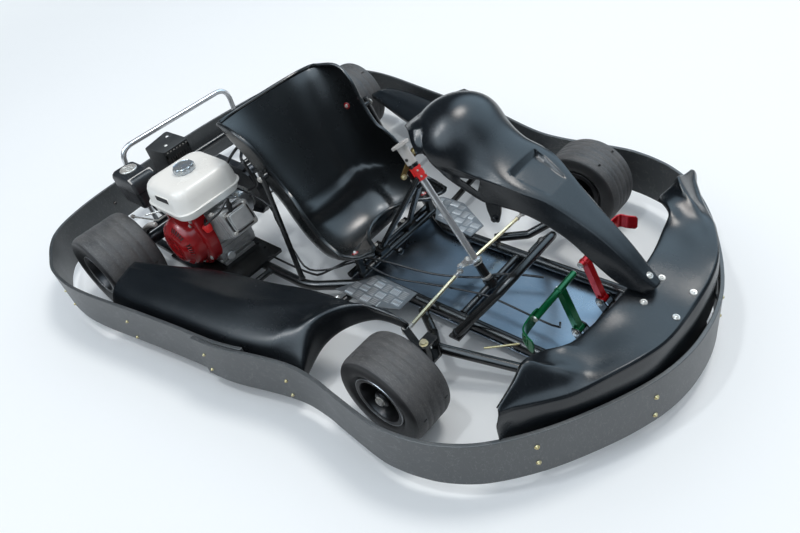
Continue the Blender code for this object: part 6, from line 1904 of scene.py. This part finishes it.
def buildDrive():
    place = facing((crank.x, drive['sprocketY'] - 0.016, crank.z), (0, 1, 0))
    face = drive['clutchFace']
    drum = drive['clutch']
    shape = Shape()
    shape.turn([(0.01, face + 0.0235), (0.0115, face + 0.024), (0.0245, face + 0.024), (0.0245, face),
        (drum - 0.003, face), (drum, face - 0.003), (drum, face - 0.034), (drum - 0.002, face - 0.036),
        (drum - 0.002, face - 0.04), (drum - 0.006, face - 0.04), (drum - 0.006, face - 0.03),
        (0.01, face - 0.03)], place, 64, loop=True)
    shape.pierced(toothed(drive['pinion'] - 0.0008, 0.0045, drive['pinionTeeth']), [circle(0.012, 24)],
        0.0139, 0.0181, place)
    for i in range(3):
        a = 2.0944 * i
        shape.turn([(0.006, 0), (0.006, 0.0008), (0.004, 0.0008)], place @ around(0.034, a, face), 20)
    shape.make('clutchDrum', 'steel', 'clutch_drum', body='clutch', angle=30)
    inner = Shape()
    inner.turn(sleeve(0.0103, drum - 0.008, face - 0.039, face - 0.032), place, 40, loop=True)
    inner.hexBolt(place @ at(0, 0, face + 0.0242), 0.0085, 0.006, 0.0115)
    inner.make('clutchCore', 'exhaustBlack', body='clutch', slot='bright_steel')
    # one closed run round both wheels, then a link for every pitch of it
    start = Vector((axleRear, 0, drive['z']))
    end = Vector((crank.x, 0, crank.z))
    span = end - start
    heading = atan2(span.z, span.x)
    big, small = drive['sprocket'] + 0.0052, drive['pinion'] + 0.0042
    lean = acos((big - small) / span.length)
    loopPoints = []
    for i in range(61):
        a = heading + lean + (2 * pi - 2 * lean) * i / 60
        loopPoints.append(start + Vector((big * cos(a), 0, big * sin(a))))
    for i in range(25):
        a = heading - lean + 2 * lean * i / 24
        loopPoints.append(end + Vector((small * cos(a), 0, small * sin(a))))
    loopPoints.append(loopPoints[0])
    count = round(pathLength(loopPoints) / drive['pitch'] / 2) * 2
    joints = spaced(loopPoints, count, count)
    links, rollers = Shape(), Shape()
    half = 0.003
    for i, a in enumerate(joints):
        b = joints[(i + 1) % count]
        along = (b - a).normalized()
        up = Vector((0, 1, 0)).cross(along)
        outer = i % 2
        for side in (-1, 1):
            y = drive['sprocketY'] + side * (0.004 if outer else 0.003)
            outline = []
            for middle, turn in ((a, 90), (b, -90)):
                for j in range(5):
                    q = radians(turn + 45 * j)
                    outline.append(middle + (along * cos(q) + up * sin(q)) * half)
            links.skin([[Vector((v.x, y + d, v.z)) for v in outline] for d in (-0.0004, 0.0004)])
        rollers.turn([(0.0024, -0.0026), (0.0024, 0.0026)],
            facing((a.x, drive['sprocketY'], a.z), (0, 1, 0)), 10)
        rollers.turn([(0.0011, -0.0047), (0.0011, 0.0047)],
            facing((a.x, drive['sprocketY'], a.z), (0, 1, 0)), 8)
    links.make('chainLinks', 'steel', 'drive_chain')
    rollers.make('chainRollers', 'boltSteel')


buildRearAxle()
buildBearings()
buildCaliper()
buildDrive()
print('rear axle and drive built')


# Engine

engine = {
    'rake': radians(22), 'frontY': -0.360, 'backY': -0.225, 'baseZ': 0.0878, 'middleY': -0.2925,
    'case': (-0.404, 0.176), 'fins': 9, 'finPitch': 0.0105, 'finThick': 0.0022, 'recoilRadius': 0.084,
    'tankTop': 0.412, 'tankHeight': 0.100, 'tankSize': (0.217, 0.233), 'tankMiddle': (-0.389, -0.314),
    'shroudOutline': [(0.104, 0.0), (0.101, 0.030), (0.088, 0.062), (0.080, 0.090), (0.078, 0.112),
        (0.0, 0.112), (-0.092, 0.116), (-0.100, 0.095), (-0.103, 0.045), (-0.104, 0.0), (-0.096, -0.042),
        (-0.074, -0.074), (-0.040, -0.096), (0.0, -0.104), (0.040, -0.096), (0.074, -0.074),
        (0.096, -0.042)],
}


def towards(origin, x, z):
    # a place whose X and Z are the given ones
    x, z = Vector(x).normalized(), Vector(z).normalized()
    return framed(origin, x, z.cross(x), z)


def buildCrankcase():
    front, back, base = engine['frontY'], engine['backY'], engine['baseZ']
    caseX, caseZ = engine['case']
    across = upright(caseX, 0, caseZ)
    shape = Shape()
    shape.prism(roundBox(0.078, 0.084, 0.03, 8), -back - 0.006, -front - 0.004, across)
    cover = roundBox(0.081, 0.086, 0.034, 8)
    shape.prism(cover, -back, -back + 0.012, across)
    shape.prism([(x * 0.9, y * 0.9) for x, y in cover], -back - 0.004, -back, across)
    shape.span((-0.486, front + 0.006, base), (-0.322, back - 0.008, base + 0.012))
    for x in (-0.45, -0.42, -0.39, -0.36):
        shape.span((x, front + 0.004, base + 0.008), (x + 0.004, back - 0.004, base + 0.034))
    for z in (0.11, 0.128, 0.146, 0.164):
        shape.span((-0.33, front + 0.01, z), (-0.3225, back - 0.014, z + 0.0035))
    shape.turn([(0.03, 0), (0.03, 0.018), (0.027, 0.022), (0.012, 0.022)],
        facing((crank.x, back, crank.z), (0, 1, 0)), 40)
    for i in range(8):
        a = 0.3 + pi * i / 4
        x = max(-0.072, min(0.072, 0.1 * cos(a)))
        z = max(-0.076, min(0.076, 0.104 * sin(a)))
        shape.hexBolt(facing((caseX + x, back + 0.004, caseZ + z), (0, 1, 0)), 0.005, 0.0045)
    shape.turn([(0.012, 0), (0.012, 0.01), (0.0145, 0.0105), (0.0145, 0.019), (0.012, 0.021)],
        facing((-0.322, -0.33, 0.118), (1, -0.1, 0.25)), 10)
    # cylinder and head: plates stacked along the raked axis
    axis = Vector((cos(engine['rake']), 0, sin(engine['rake'])))
    across = Vector((0, 1, 0))
    base = Vector((crank.x, engine['middleY'], crank.z))
    core = towards(base, across, axis)
    # a near-black core inside the fins, though the barrel is cast aluminium: painted shade for the gaps
    # between the fins
    inner = Shape()
    inner.prism(roundBox(0.042, 0.036, 0.02, 6), 0.06, 0.2, core)
    inner.make('cylinderShadeCore', 'exhaustBlack', slot='cast_aluminium')
    for i in range(engine['fins']):
        h = 0.08 + i * engine['finPitch']
        shape.prism(roundBox(0.0535 if i < 8 else 0.05, 0.0455, 0.01, 5), h, h + engine['finThick'], core)
    shape.prism(roundBox(0.048, 0.042, 0.008, 5), 0.1725, 0.18, core)
    for h in (0.1835, 0.189, 0.1945):
        shape.prism(roundBox(0.048, 0.042, 0.01, 5), h, h + 0.0024, core)
    for side in (-1, 1):
        for up in (-1, 1):
            shape.turn([(0.0062, 0.168), (0.0062, 0.1985)], core @ at(side * 0.037, up * 0.031, 0), 16)
    shape.make('engineBlock', 'castAluminium', 'engine_block', bevel=0.001)
    cover = Shape()
    cover.prism(roundBox(0.036, 0.03, 0.01, 6), 0.1975, 0.2035, core)
    cover.prism(roundBox(0.032, 0.026, 0.01, 6), 0.2035, 0.2105, core)
    cover.make('valveCover', 'castAluminium', bevel=0.002)
    bolts = Shape()
    for side in (-1, 1):
        for up in (-1, 1):
            bolts.hexBolt(core @ at(side * 0.037, up * 0.031, 0.1985), 0.006, 0.0055, 0.0075)
            bolts.hexBolt(core @ at(side * 0.0315, up * 0.0255, 0.204), 0.004, 0.0035)
    for x, z in ((-0.335, 0.25), (-0.335, 0.105), (-0.473, 0.105)):
        bolts.hexBolt(facing((x, front + 0.0035, z), (0, -1, 0)), 0.0055, 0.005, 0.008)
    for x, y, z in ((-0.3, -0.236, 0.3), (-0.285, -0.345, 0.302), (-0.345, -0.352, 0.292)):
        bolts.tube([(x, y, z - 0.022), (x, y, z + 0.004)], 0.0032, 14)
        bolts.hexBolt(facing((x, y, z - 0.002), (0, 0, 1), 0.3), 0.006, 0.0055, 0.009)
    bolts.make('engineFittings', 'boltSteel', bevel=0.0003)
    plate = Shape()
    high = Vector((-sin(engine['rake']), 0, cos(engine['rake'])))
    spot = base + axis * 0.168 + high * 0.05 + Vector((0, 0.004, 0))
    plate.prism(roundBox(0.024, 0.03, 0.004, 4), 0, 0.0022, towards(spot, across, high))
    plate.prism(roundBox(0.018, 0.004, 0.002, 3), 0.0022, 0.005, towards(spot + axis * 0.018, across, high))
    plate.make('headPlate', 'treadPlate', bevel=0.0008)
    # spark plug with its cap and lead
    plug = Shape()
    top = base + axis * 0.196 + high * 0.03 + Vector((0, -0.012, 0))
    out = (axis * 0.55 + high * 0.83).normalized()
    plug.tube([top, top + out * 0.012, top + out * 0.03, top + out * 0.036],
        [0.0062, 0.0072, 0.0085, 0.006], 16)
    lead = splineThrough([top + out * 0.03, top + out * 0.05, Vector((-0.225, -0.345, 0.33)),
        Vector((-0.262, -0.372, 0.3)), Vector((-0.288, -0.374, 0.282)), Vector((-0.318, -0.355, 0.278))], 8)
    plug.tube(lead, 0.0035, 12)
    plug.make('sparkLead', 'rubber')


def shroudRing(inset, y):
    # the shroud's outline drawn in by the inset, kept under the tank
    points = splineThrough([(x, 0, z) for x, z in engine['shroudOutline'] + engine['shroudOutline'][:1]],
        4)[:-1]
    spots = []
    for p in points:
        reach = hypot(p.x, p.z)
        share = (reach - inset) / reach
        top = min(p.z * share, engine['tankTop'] - engine['tankHeight'] - crank.z - 0.0006)
        spots.append((crank.x + p.x * share, y, crank.z + top))
    return spots


def buildShroud():
    front = engine['frontY'] - 0.0004
    shape = Shape()
    # from the rear edge outside, over the front and back inside
    profile = ((0.0, 0.012), (0.0, -0.018), (0.0015, -0.0225), (0.005, -0.0255), (0.011, -0.0265),
        (0.022, -0.0265), (0.0225, -0.0235), (0.011, -0.0215), (0.003, -0.015), (0.002, 0.012))
    shape.skin([shroudRing(inset, front + y) for inset, y in profile], loop=True)
    shape.make('fanShroud', 'redPaint', 'fan_shroud', bevel=0.0008, angle=40)
    # recoil cover: a dished drum with a rolled rim
    r = engine['recoilRadius']
    place = towards((crank.x, front, crank.z), (1, 0, 0), (0, -1, 0))
    face = Shape()
    face.turn([(r + 0.003, 0.0245), (r + 0.003, 0.0275), (r, 0.029), (r - 0.002, 0.05), (r - 0.006, 0.06),
        (r - 0.013, 0.068), (0.055, 0.08), (0.05, 0.0835), (0.044, 0.0845), (0.036, 0.0845),
        (0.033, 0.0822), (0.012, 0.0815), (0.01, 0.0835), (0.004, 0.0838)], place, 72)
    for i in range(3):
        a = 0.9 + 2.0944 * i
        face.turn([(0.012, 0.0262), (0.012, 0.03), (0.0105, 0.0315), (0.0105, 0.0262)],
            place @ around(r + 0.001, a), 20)
    louvres = ((1.05, 6, 0.0655, 0.071), (1.0, 5, 0.05, 0.0805), (0.1, 5, 0.07, 0.0695),
        (2.4, 5, 0.0655, 0.071), (-0.9, 5, 0.0655, 0.071), (3.9, 5, 0.0655, 0.071))
    # each louvre's opening is a near-black slab on the face: painted shade for the dark inside of a slot that
    # is not cut
    dark = Shape()
    for start, count, reach, height in louvres:
        for i in range(count):
            a = start + (i - (count - 1) / 2) * 0.0085 / reach
            radial = Vector((cos(a), sin(a), 0))
            lean = 0.72 if reach > 0.06 else 0.4
            normal = Vector((radial.x * lean, radial.y * lean, 1)).normalized()
            side = Vector((-radial.y, radial.x, 0))
            local = framed(radial * reach + Vector((0, 0, height + 0.0006)), side, normal.cross(side),
                normal)
            dark.prism(roundBox(0.0023, 0.0072, 0.002, 4), -0.002, 0.0006, place @ local)
            face.prism([(0.0022, -0.008), (0.0036, -0.008), (0.0036, 0.008), (0.0022, 0.008)], -0.002,
                0.0024, place @ local)
    face.make('recoilCover', 'redPaint', bevel=0.0006, angle=35)
    dark.make('recoilSlotShade', 'deepBlack')
    bolts = Shape()
    for i in range(3):
        a = 0.9 + 2.0944 * i
        bolts.hexBolt(place @ around(r + 0.001, a, 0.0316), 0.0046, 0.004, 0.0068)
    for x, z in ((0.1, -0.058), (-0.1, -0.058), (0.066, 0.095), (-0.08, 0.098)):
        bolts.hexBolt(facing((crank.x + x * 0.86, front - 0.0266, crank.z + z * 0.86), (0, -1, 0)), 0.0048,
            0.004, 0.0075)
    bolts.make('shroudBolts', 'boltSteel')
    grip = Shape()
    low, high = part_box('recoil_handle')
    middle = (low + high) / 2
    turn = Matrix.Translation(middle) @ Matrix.Rotation(radians(-20), 4, 'Y')
    rings = [[turn @ Vector((x, y, z)) for x, y in roundBox(hx, hy, min(hx, hy) * 0.8, 5)]
        for z, hx, hy in ((-0.0125, 0.0065, 0.007), (-0.011, 0.0095, 0.01), (-0.005, 0.0125, 0.012),
        (0.003, 0.014, 0.0135), (0.009, 0.014, 0.0138), (0.0125, 0.012, 0.012), (0.0135, 0.008, 0.008))]
    grip.skin(rings)
    grip.make('starterGrip', 'redPlastic', 'recoil_handle', body='starter_handle', bevel=0.0008)
    eye = Shape()
    eye.turn([(0.0035, -0.006), (0.0075, -0.006), (0.009, -0.0045), (0.009, 0.0015), (0.0075, 0.003),
        (0.0035, 0.003)], facing((-0.3235, -0.366, 0.256), (1, 0, 0.1)), 24, loop=True)
    eye.make('ropeEye', 'redPlastic')


def buildTank():
    x, y = engine['tankMiddle']
    length, width = engine['tankSize']
    bottom = engine['tankTop'] - engine['tankHeight']
    profile = [(0.0, 0.02), (0.0006, 0.0155), (0.0025, 0.0115), (0.006, 0.0085), (0.024, 0.0065),
        (0.0262, 0.006), (0.0268, 0.0018), (0.0272, 0.0006), (0.0285, 0.0), (0.03, 0.0), (0.0312, 0.0008),
        (0.0318, 0.0024), (0.0325, 0.0046), (0.036, 0.0055), (0.06, 0.0072), (0.076, 0.01), (0.086, 0.014),
        (0.093, 0.02), (0.0975, 0.029), (0.0993, 0.038), (0.1, 0.052)]
    rings = []
    for z, inset in profile:
        corner = max(0.02, 0.044 - inset * 0.3)
        rings.append([(x + px, y + py, bottom + z)
            for px, py in roundBox(length / 2 - inset, width / 2 - inset, corner, 12)])
    shape = Shape()
    shape.skin(rings)
    shape.make('fuelTank', 'tankWhite', 'fuel_tank', angle=40)
    # the badge recess is a near-black slab set a little proud of the tank's end: painted shade for the recess
    slot = Shape()
    place = towards((-0.378, y - width / 2 + 0.0078, bottom + 0.066), (1, 0, 0.06), (0, -1, 0.1))
    slot.prism(roundBox(0.036, 0.008, 0.003, 5), -0.004, 0.0004, place)
    slot.make('tankSlot', 'deepBlack')
    lip = Shape()
    lip.ring(roundBox(0.0382, 0.0102, 0.005, 5), roundBox(0.036, 0.008, 0.003, 5), -0.004, 0.0012, place)
    lip.make('tankSlotLip', 'tankWhite', bevel=0.0005)
    low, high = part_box('fuel_cap')
    r = (high.x - low.x) / 2
    middle = Vector(((low.x + high.x) / 2, (low.y + high.y) / 2, engine['tankTop'] + 0.0004))
    cap = Shape()
    rings = []
    for z, reach, wave in ((0, 0.94, 0.02), (0.0015, 1.0, 0.035), (0.011, 1.0, 0.045),
            (0.0145, 0.975, 0.045), (0.017, 0.93, 0.035), (0.018, 0.88, 0.02), (0.0168, 0.84, 0.01),
            (0.0165, 0.6, 0), (0.0175, 0.2, 0)):
        rings.append([middle
            + Vector((r * reach * (1 - wave + wave * cos(10 * a)) * cos(a),
            r * reach * (1 - wave + wave * cos(10 * a)) * sin(a), z))
            for a in [2 * pi * i / 120 for i in range(120)]])
    cap.skin(rings)
    cap.make('fuelCap', 'capChrome', 'fuel_cap', body='cap', angle=50)


intake = {
    'filter': (-0.655, -0.367), 'filterHalf': (0.071, 0.046), 'filterCorner': 0.012,
    # height and inset of each ring of the filter's box
    'filterRings': ((0.262, 0.010), (0.264, 0.006), (0.318, 0.003), (0.3185, 0.0045), (0.3205, 0.0045),
        (0.321, 0.0015), (0.352, 0.001), (0.362, 0.004), (0.368, 0.009), (0.370, 0.016)),
    'band': (-0.602, 0.3630), 'wingNut': (-0.672, 0.3690),
    'lever': [(-0.560, -0.412, 0.214), (-0.586, -0.422, 0.210), (-0.628, -0.430, 0.184),
        (-0.668, -0.434, 0.146), (-0.680, -0.434, 0.128)],
    'rod': [(-0.530, -0.362, 0.240), (-0.575, -0.395, 0.214), (-0.700, -0.420, 0.204)],
}


def buildIntake():
    box = Shape()
    x, y = intake['filter']
    halfX, halfY = intake['filterHalf']
    rings = []
    for z, inset in intake['filterRings']:
        rings.append([(x + px, y + py, z) for px, py in roundBox(halfX - inset, halfY - inset,
            intake['filterCorner'], 6)])
    box.skin(rings)
    box.make('airFilter', 'boxBlack', 'air_filter')
    band = Shape()
    band.prism([(-0.0105, -0.042), (0.0105, -0.042), (0.0105, 0.042), (-0.0105, 0.042)], 0, 0.0042,
        at(intake['band'][0], y, intake['band'][1]) @ Matrix.Rotation(radians(30), 4, 'Y'))
    band.make('filterBand', 'lightGrey', bevel=0.0012)
    knob = Shape()
    place = at(intake['wingNut'][0], y, intake['wingNut'][1])
    knob.turn([(0.026, -0.002), (0.0285, 0.001), (0.0285, 0.0035), (0.0265, 0.0055), (0.024, 0.0045),
        (0.009, 0.0035), (0.008, 0.0075), (0.005, 0.008)], place, 48)
    for a in (0.5, 0.5 + pi):
        wing = place @ Matrix.Rotation(a, 4, 'Z')
        knob.prism([(0.003, -0.0016), (0.018, -0.0012), (0.021, 0), (0.018, 0.0012), (0.003, 0.0016)],
            0.004, 0.0115, wing)
    knob.make('filterWingNut', 'boltSteel', bevel=0.0006)
    carb = Shape()
    carb.span((-0.59, -0.349, 0.236), (-0.55, -0.303, 0.28))
    carb.turn([(0.022, 0), (0.022, 0.02), (0.026, 0.022), (0.026, 0.03)],
        facing((-0.552, -0.326, 0.258), (1, 0, 0)), 28)
    carb.turn([(0.018, 0), (0.018, 0.03), (0.014, 0.036), (0.006, 0.038)],
        facing((-0.57, -0.326, 0.238), (0, 0, -1)), 24)
    carb.span((-0.524, -0.352, 0.232), (-0.4866, -0.3, 0.284))
    carb.turn([(0.008, 0), (0.008, 0.012), (0.006, 0.014)], facing((-0.56, -0.349, 0.262), (0, -1, 0)), 18)
    carb.make('carburettor', 'castAluminium', bevel=0.001)
    neck = Shape()
    neck.tube(rounded([(-0.588, -0.326, 0.268), (-0.612, -0.336, 0.276), (-0.64, -0.35, 0.276)], 0.02),
        0.024, 24)
    neck.make('filterNeck', 'boxBlack')
    # the grey choke lever and the throttle's pull rod, below the tank's end
    lever = Shape()
    bend = splineThrough(intake['lever'], 6)
    lever.tube(bend, [0.006] + [0.0088] * (len(bend) - 3) + [0.011, 0.007], 16)
    lever.make('chokeLever', 'lightGrey')
    rod = Shape()
    rod.tube(rounded(intake['rod'], 0.02), 0.0026, 10)
    rod.hexBolt(facing(intake['rod'][-1], (-0.9, 0, -0.1)), 0.0075, 0.01)
    rod.hexBolt(facing((-0.56, -0.3635, 0.262), (0, -1, 0)), 0.006, 0.006)
    rod.tube([(-0.556, -0.355, 0.24), (-0.61, -0.414, 0.236)], 0.003, 10)
    rod.make('throttleRod', 'boltSteel')


muffler = {
    'middle': (-0.690, -0.208, 0.324),
    'corners': ((-0.763, -0.156), (-0.733, -0.266), (-0.630, -0.252), (-0.636, -0.152)),
    # height of each ring, and how far it is drawn to the middle
    'rings': ((-0.049, 0.10), (-0.046, 0.04), (-0.040, 0.02), (0.0450, 0.0), (0.0485, 0.01),
        (0.0500, 0.05)),
    'pipe': [(-0.640, -0.246, 0.300), (-0.545, -0.246, 0.300), (-0.520, -0.246, 0.246),
        (-0.4864, -0.246, 0.246)],
    'outlet': [(-0.742, -0.190, 0.300), (-0.766, -0.190, 0.292), (-0.774, -0.190, 0.286)],
    'guardX': (-0.6252, -0.6215), 'guardZ': (0.284, 0.298, 0.352, 0.366), 'bars': 9, 'barGap': 0.009,
    'rivets': ((-0.718, -0.181), (-0.666, -0.220)),
    'hose': [(-0.4600, -0.170, 0.300), (-0.434, -0.111, 0.350), (-0.370, -0.120, 0.385),
        (-0.300, -0.173, 0.392), (-0.262, -0.192, 0.400), (-0.250, -0.190, 0.360),
        (-0.262, -0.180, 0.310), (-0.300, -0.190, 0.285)],
}


def buildMuffler():
    x, y, z = muffler['middle']
    shape = Shape()
    rings = []
    for dz, inset in muffler['rings']:
        flat = [Vector((cx, cy, 0)).lerp(Vector((x, y, 0)), inset) for cx, cy in muffler['corners']]
        seam = flat[3].lerp(flat[0], 0.5)
        rings.append([(v.x, v.y, z + dz) for v in rounded([seam, *flat, seam], 0.01, 4)[:-1]])
    shape.skin(rings)
    shape.tube(rounded(muffler['pipe'], 0.03, 8), 0.012, 24)
    shape.turn([(0.022, 0), (0.022, 0.005), (0.013, 0.006)], facing((-0.4866, -0.246, 0.246), (-1, 0, 0)),
        24)
    shape.tube(muffler['outlet'], [0.011, 0.011, 0.0105], 20)
    shape.make('muffler', 'exhaustBlack', 'muffler', bevel=0.0012)
    guard = Shape()
    # a slotted guard stands off the front face
    rear, front = muffler['guardX']
    foot, sill, head, top = muffler['guardZ']
    for i in range(muffler['bars']):
        barY = y - 0.036 + i * muffler['barGap']
        guard.span((rear, barY - 0.0026, sill), (front, barY + 0.0026, head))
    guard.span((rear, y - 0.046, head), (front, y + 0.046, top))
    guard.span((rear, y - 0.046, foot), (front, y + 0.046, sill))
    for side in (-1, 1):
        guard.span((rear, y + side * 0.043 - 0.003, foot), (front, y + side * 0.043 + 0.003, top))
        guard.span((-0.63, y + side * 0.04 - 0.005, 0.318), (-0.623, y + side * 0.04 + 0.005, 0.328))
    guard.make('mufflerGuard', 'exhaustBlack', bevel=0.0005)
    rivets = Shape()
    for rx, ry in muffler['rivets']:
        rivets.turn([(0.006, -0.0012), (0.0058, 0.0008), (0.004, 0.0024), (0.001, 0.0026)],
            at(rx, ry, z + 0.0508), 20)
    for i in range(7):
        rivets.span((-0.6275, -0.244 + i * 0.0125, 0.356), (-0.6258, -0.2395 + i * 0.0125, 0.369))
    rivets.make('mufflerRivets', 'boltSteel')
    hose = Shape()
    hose.tube(splineThrough(muffler['hose'], 8), 0.0048, 14)
    hose.make('breatherHose', 'rubber')


def buildChainGuard():
    x0, z0 = crank.x, crank.z
    outline = [(x0 - 0.03, z0 + 0.1), (x0 + 0.03, z0 + 0.08), (x0 + 0.058, z0 + 0.03),
        (x0 + 0.058, z0 - 0.04), (x0 + 0.03, z0 - 0.072), (axleRear + 0.12, 0.105), (axleRear + 0.1, 0.215),
        (axleRear + 0.06, 0.262), (axleRear + 0.03, 0.285), (axleRear + 0.08, 0.305)]
    shape = Shape()
    shape.prism(outline, 0.108, 0.111, upright())
    # its edge is turned over by a wall, apart from the low side where the chain runs out
    middle = Vector((x0 - 0.06, z0 + 0.01))
    inner = [tuple(Vector(p).lerp(middle, 0.003 / (Vector(p) - middle).length)) for p in outline]
    openSide = 5
    for k in range(len(outline)):
        n = (k + 1) % len(outline)
        if k != openSide:
            shape.prism([outline[k], outline[n], inner[n], inner[k]], 0.111, 0.133, upright())
    shape.span((x0 - 0.06, -0.133, z0 + 0.092), (x0 + 0.01, -0.111, z0 + 0.098))
    shape.make('chainGuard', 'boxBlack', bevel=0.0012)


buildCrankcase()
buildShroud()
buildTank()
buildIntake()
buildMuffler()
buildChainGuard()
print('engine built')
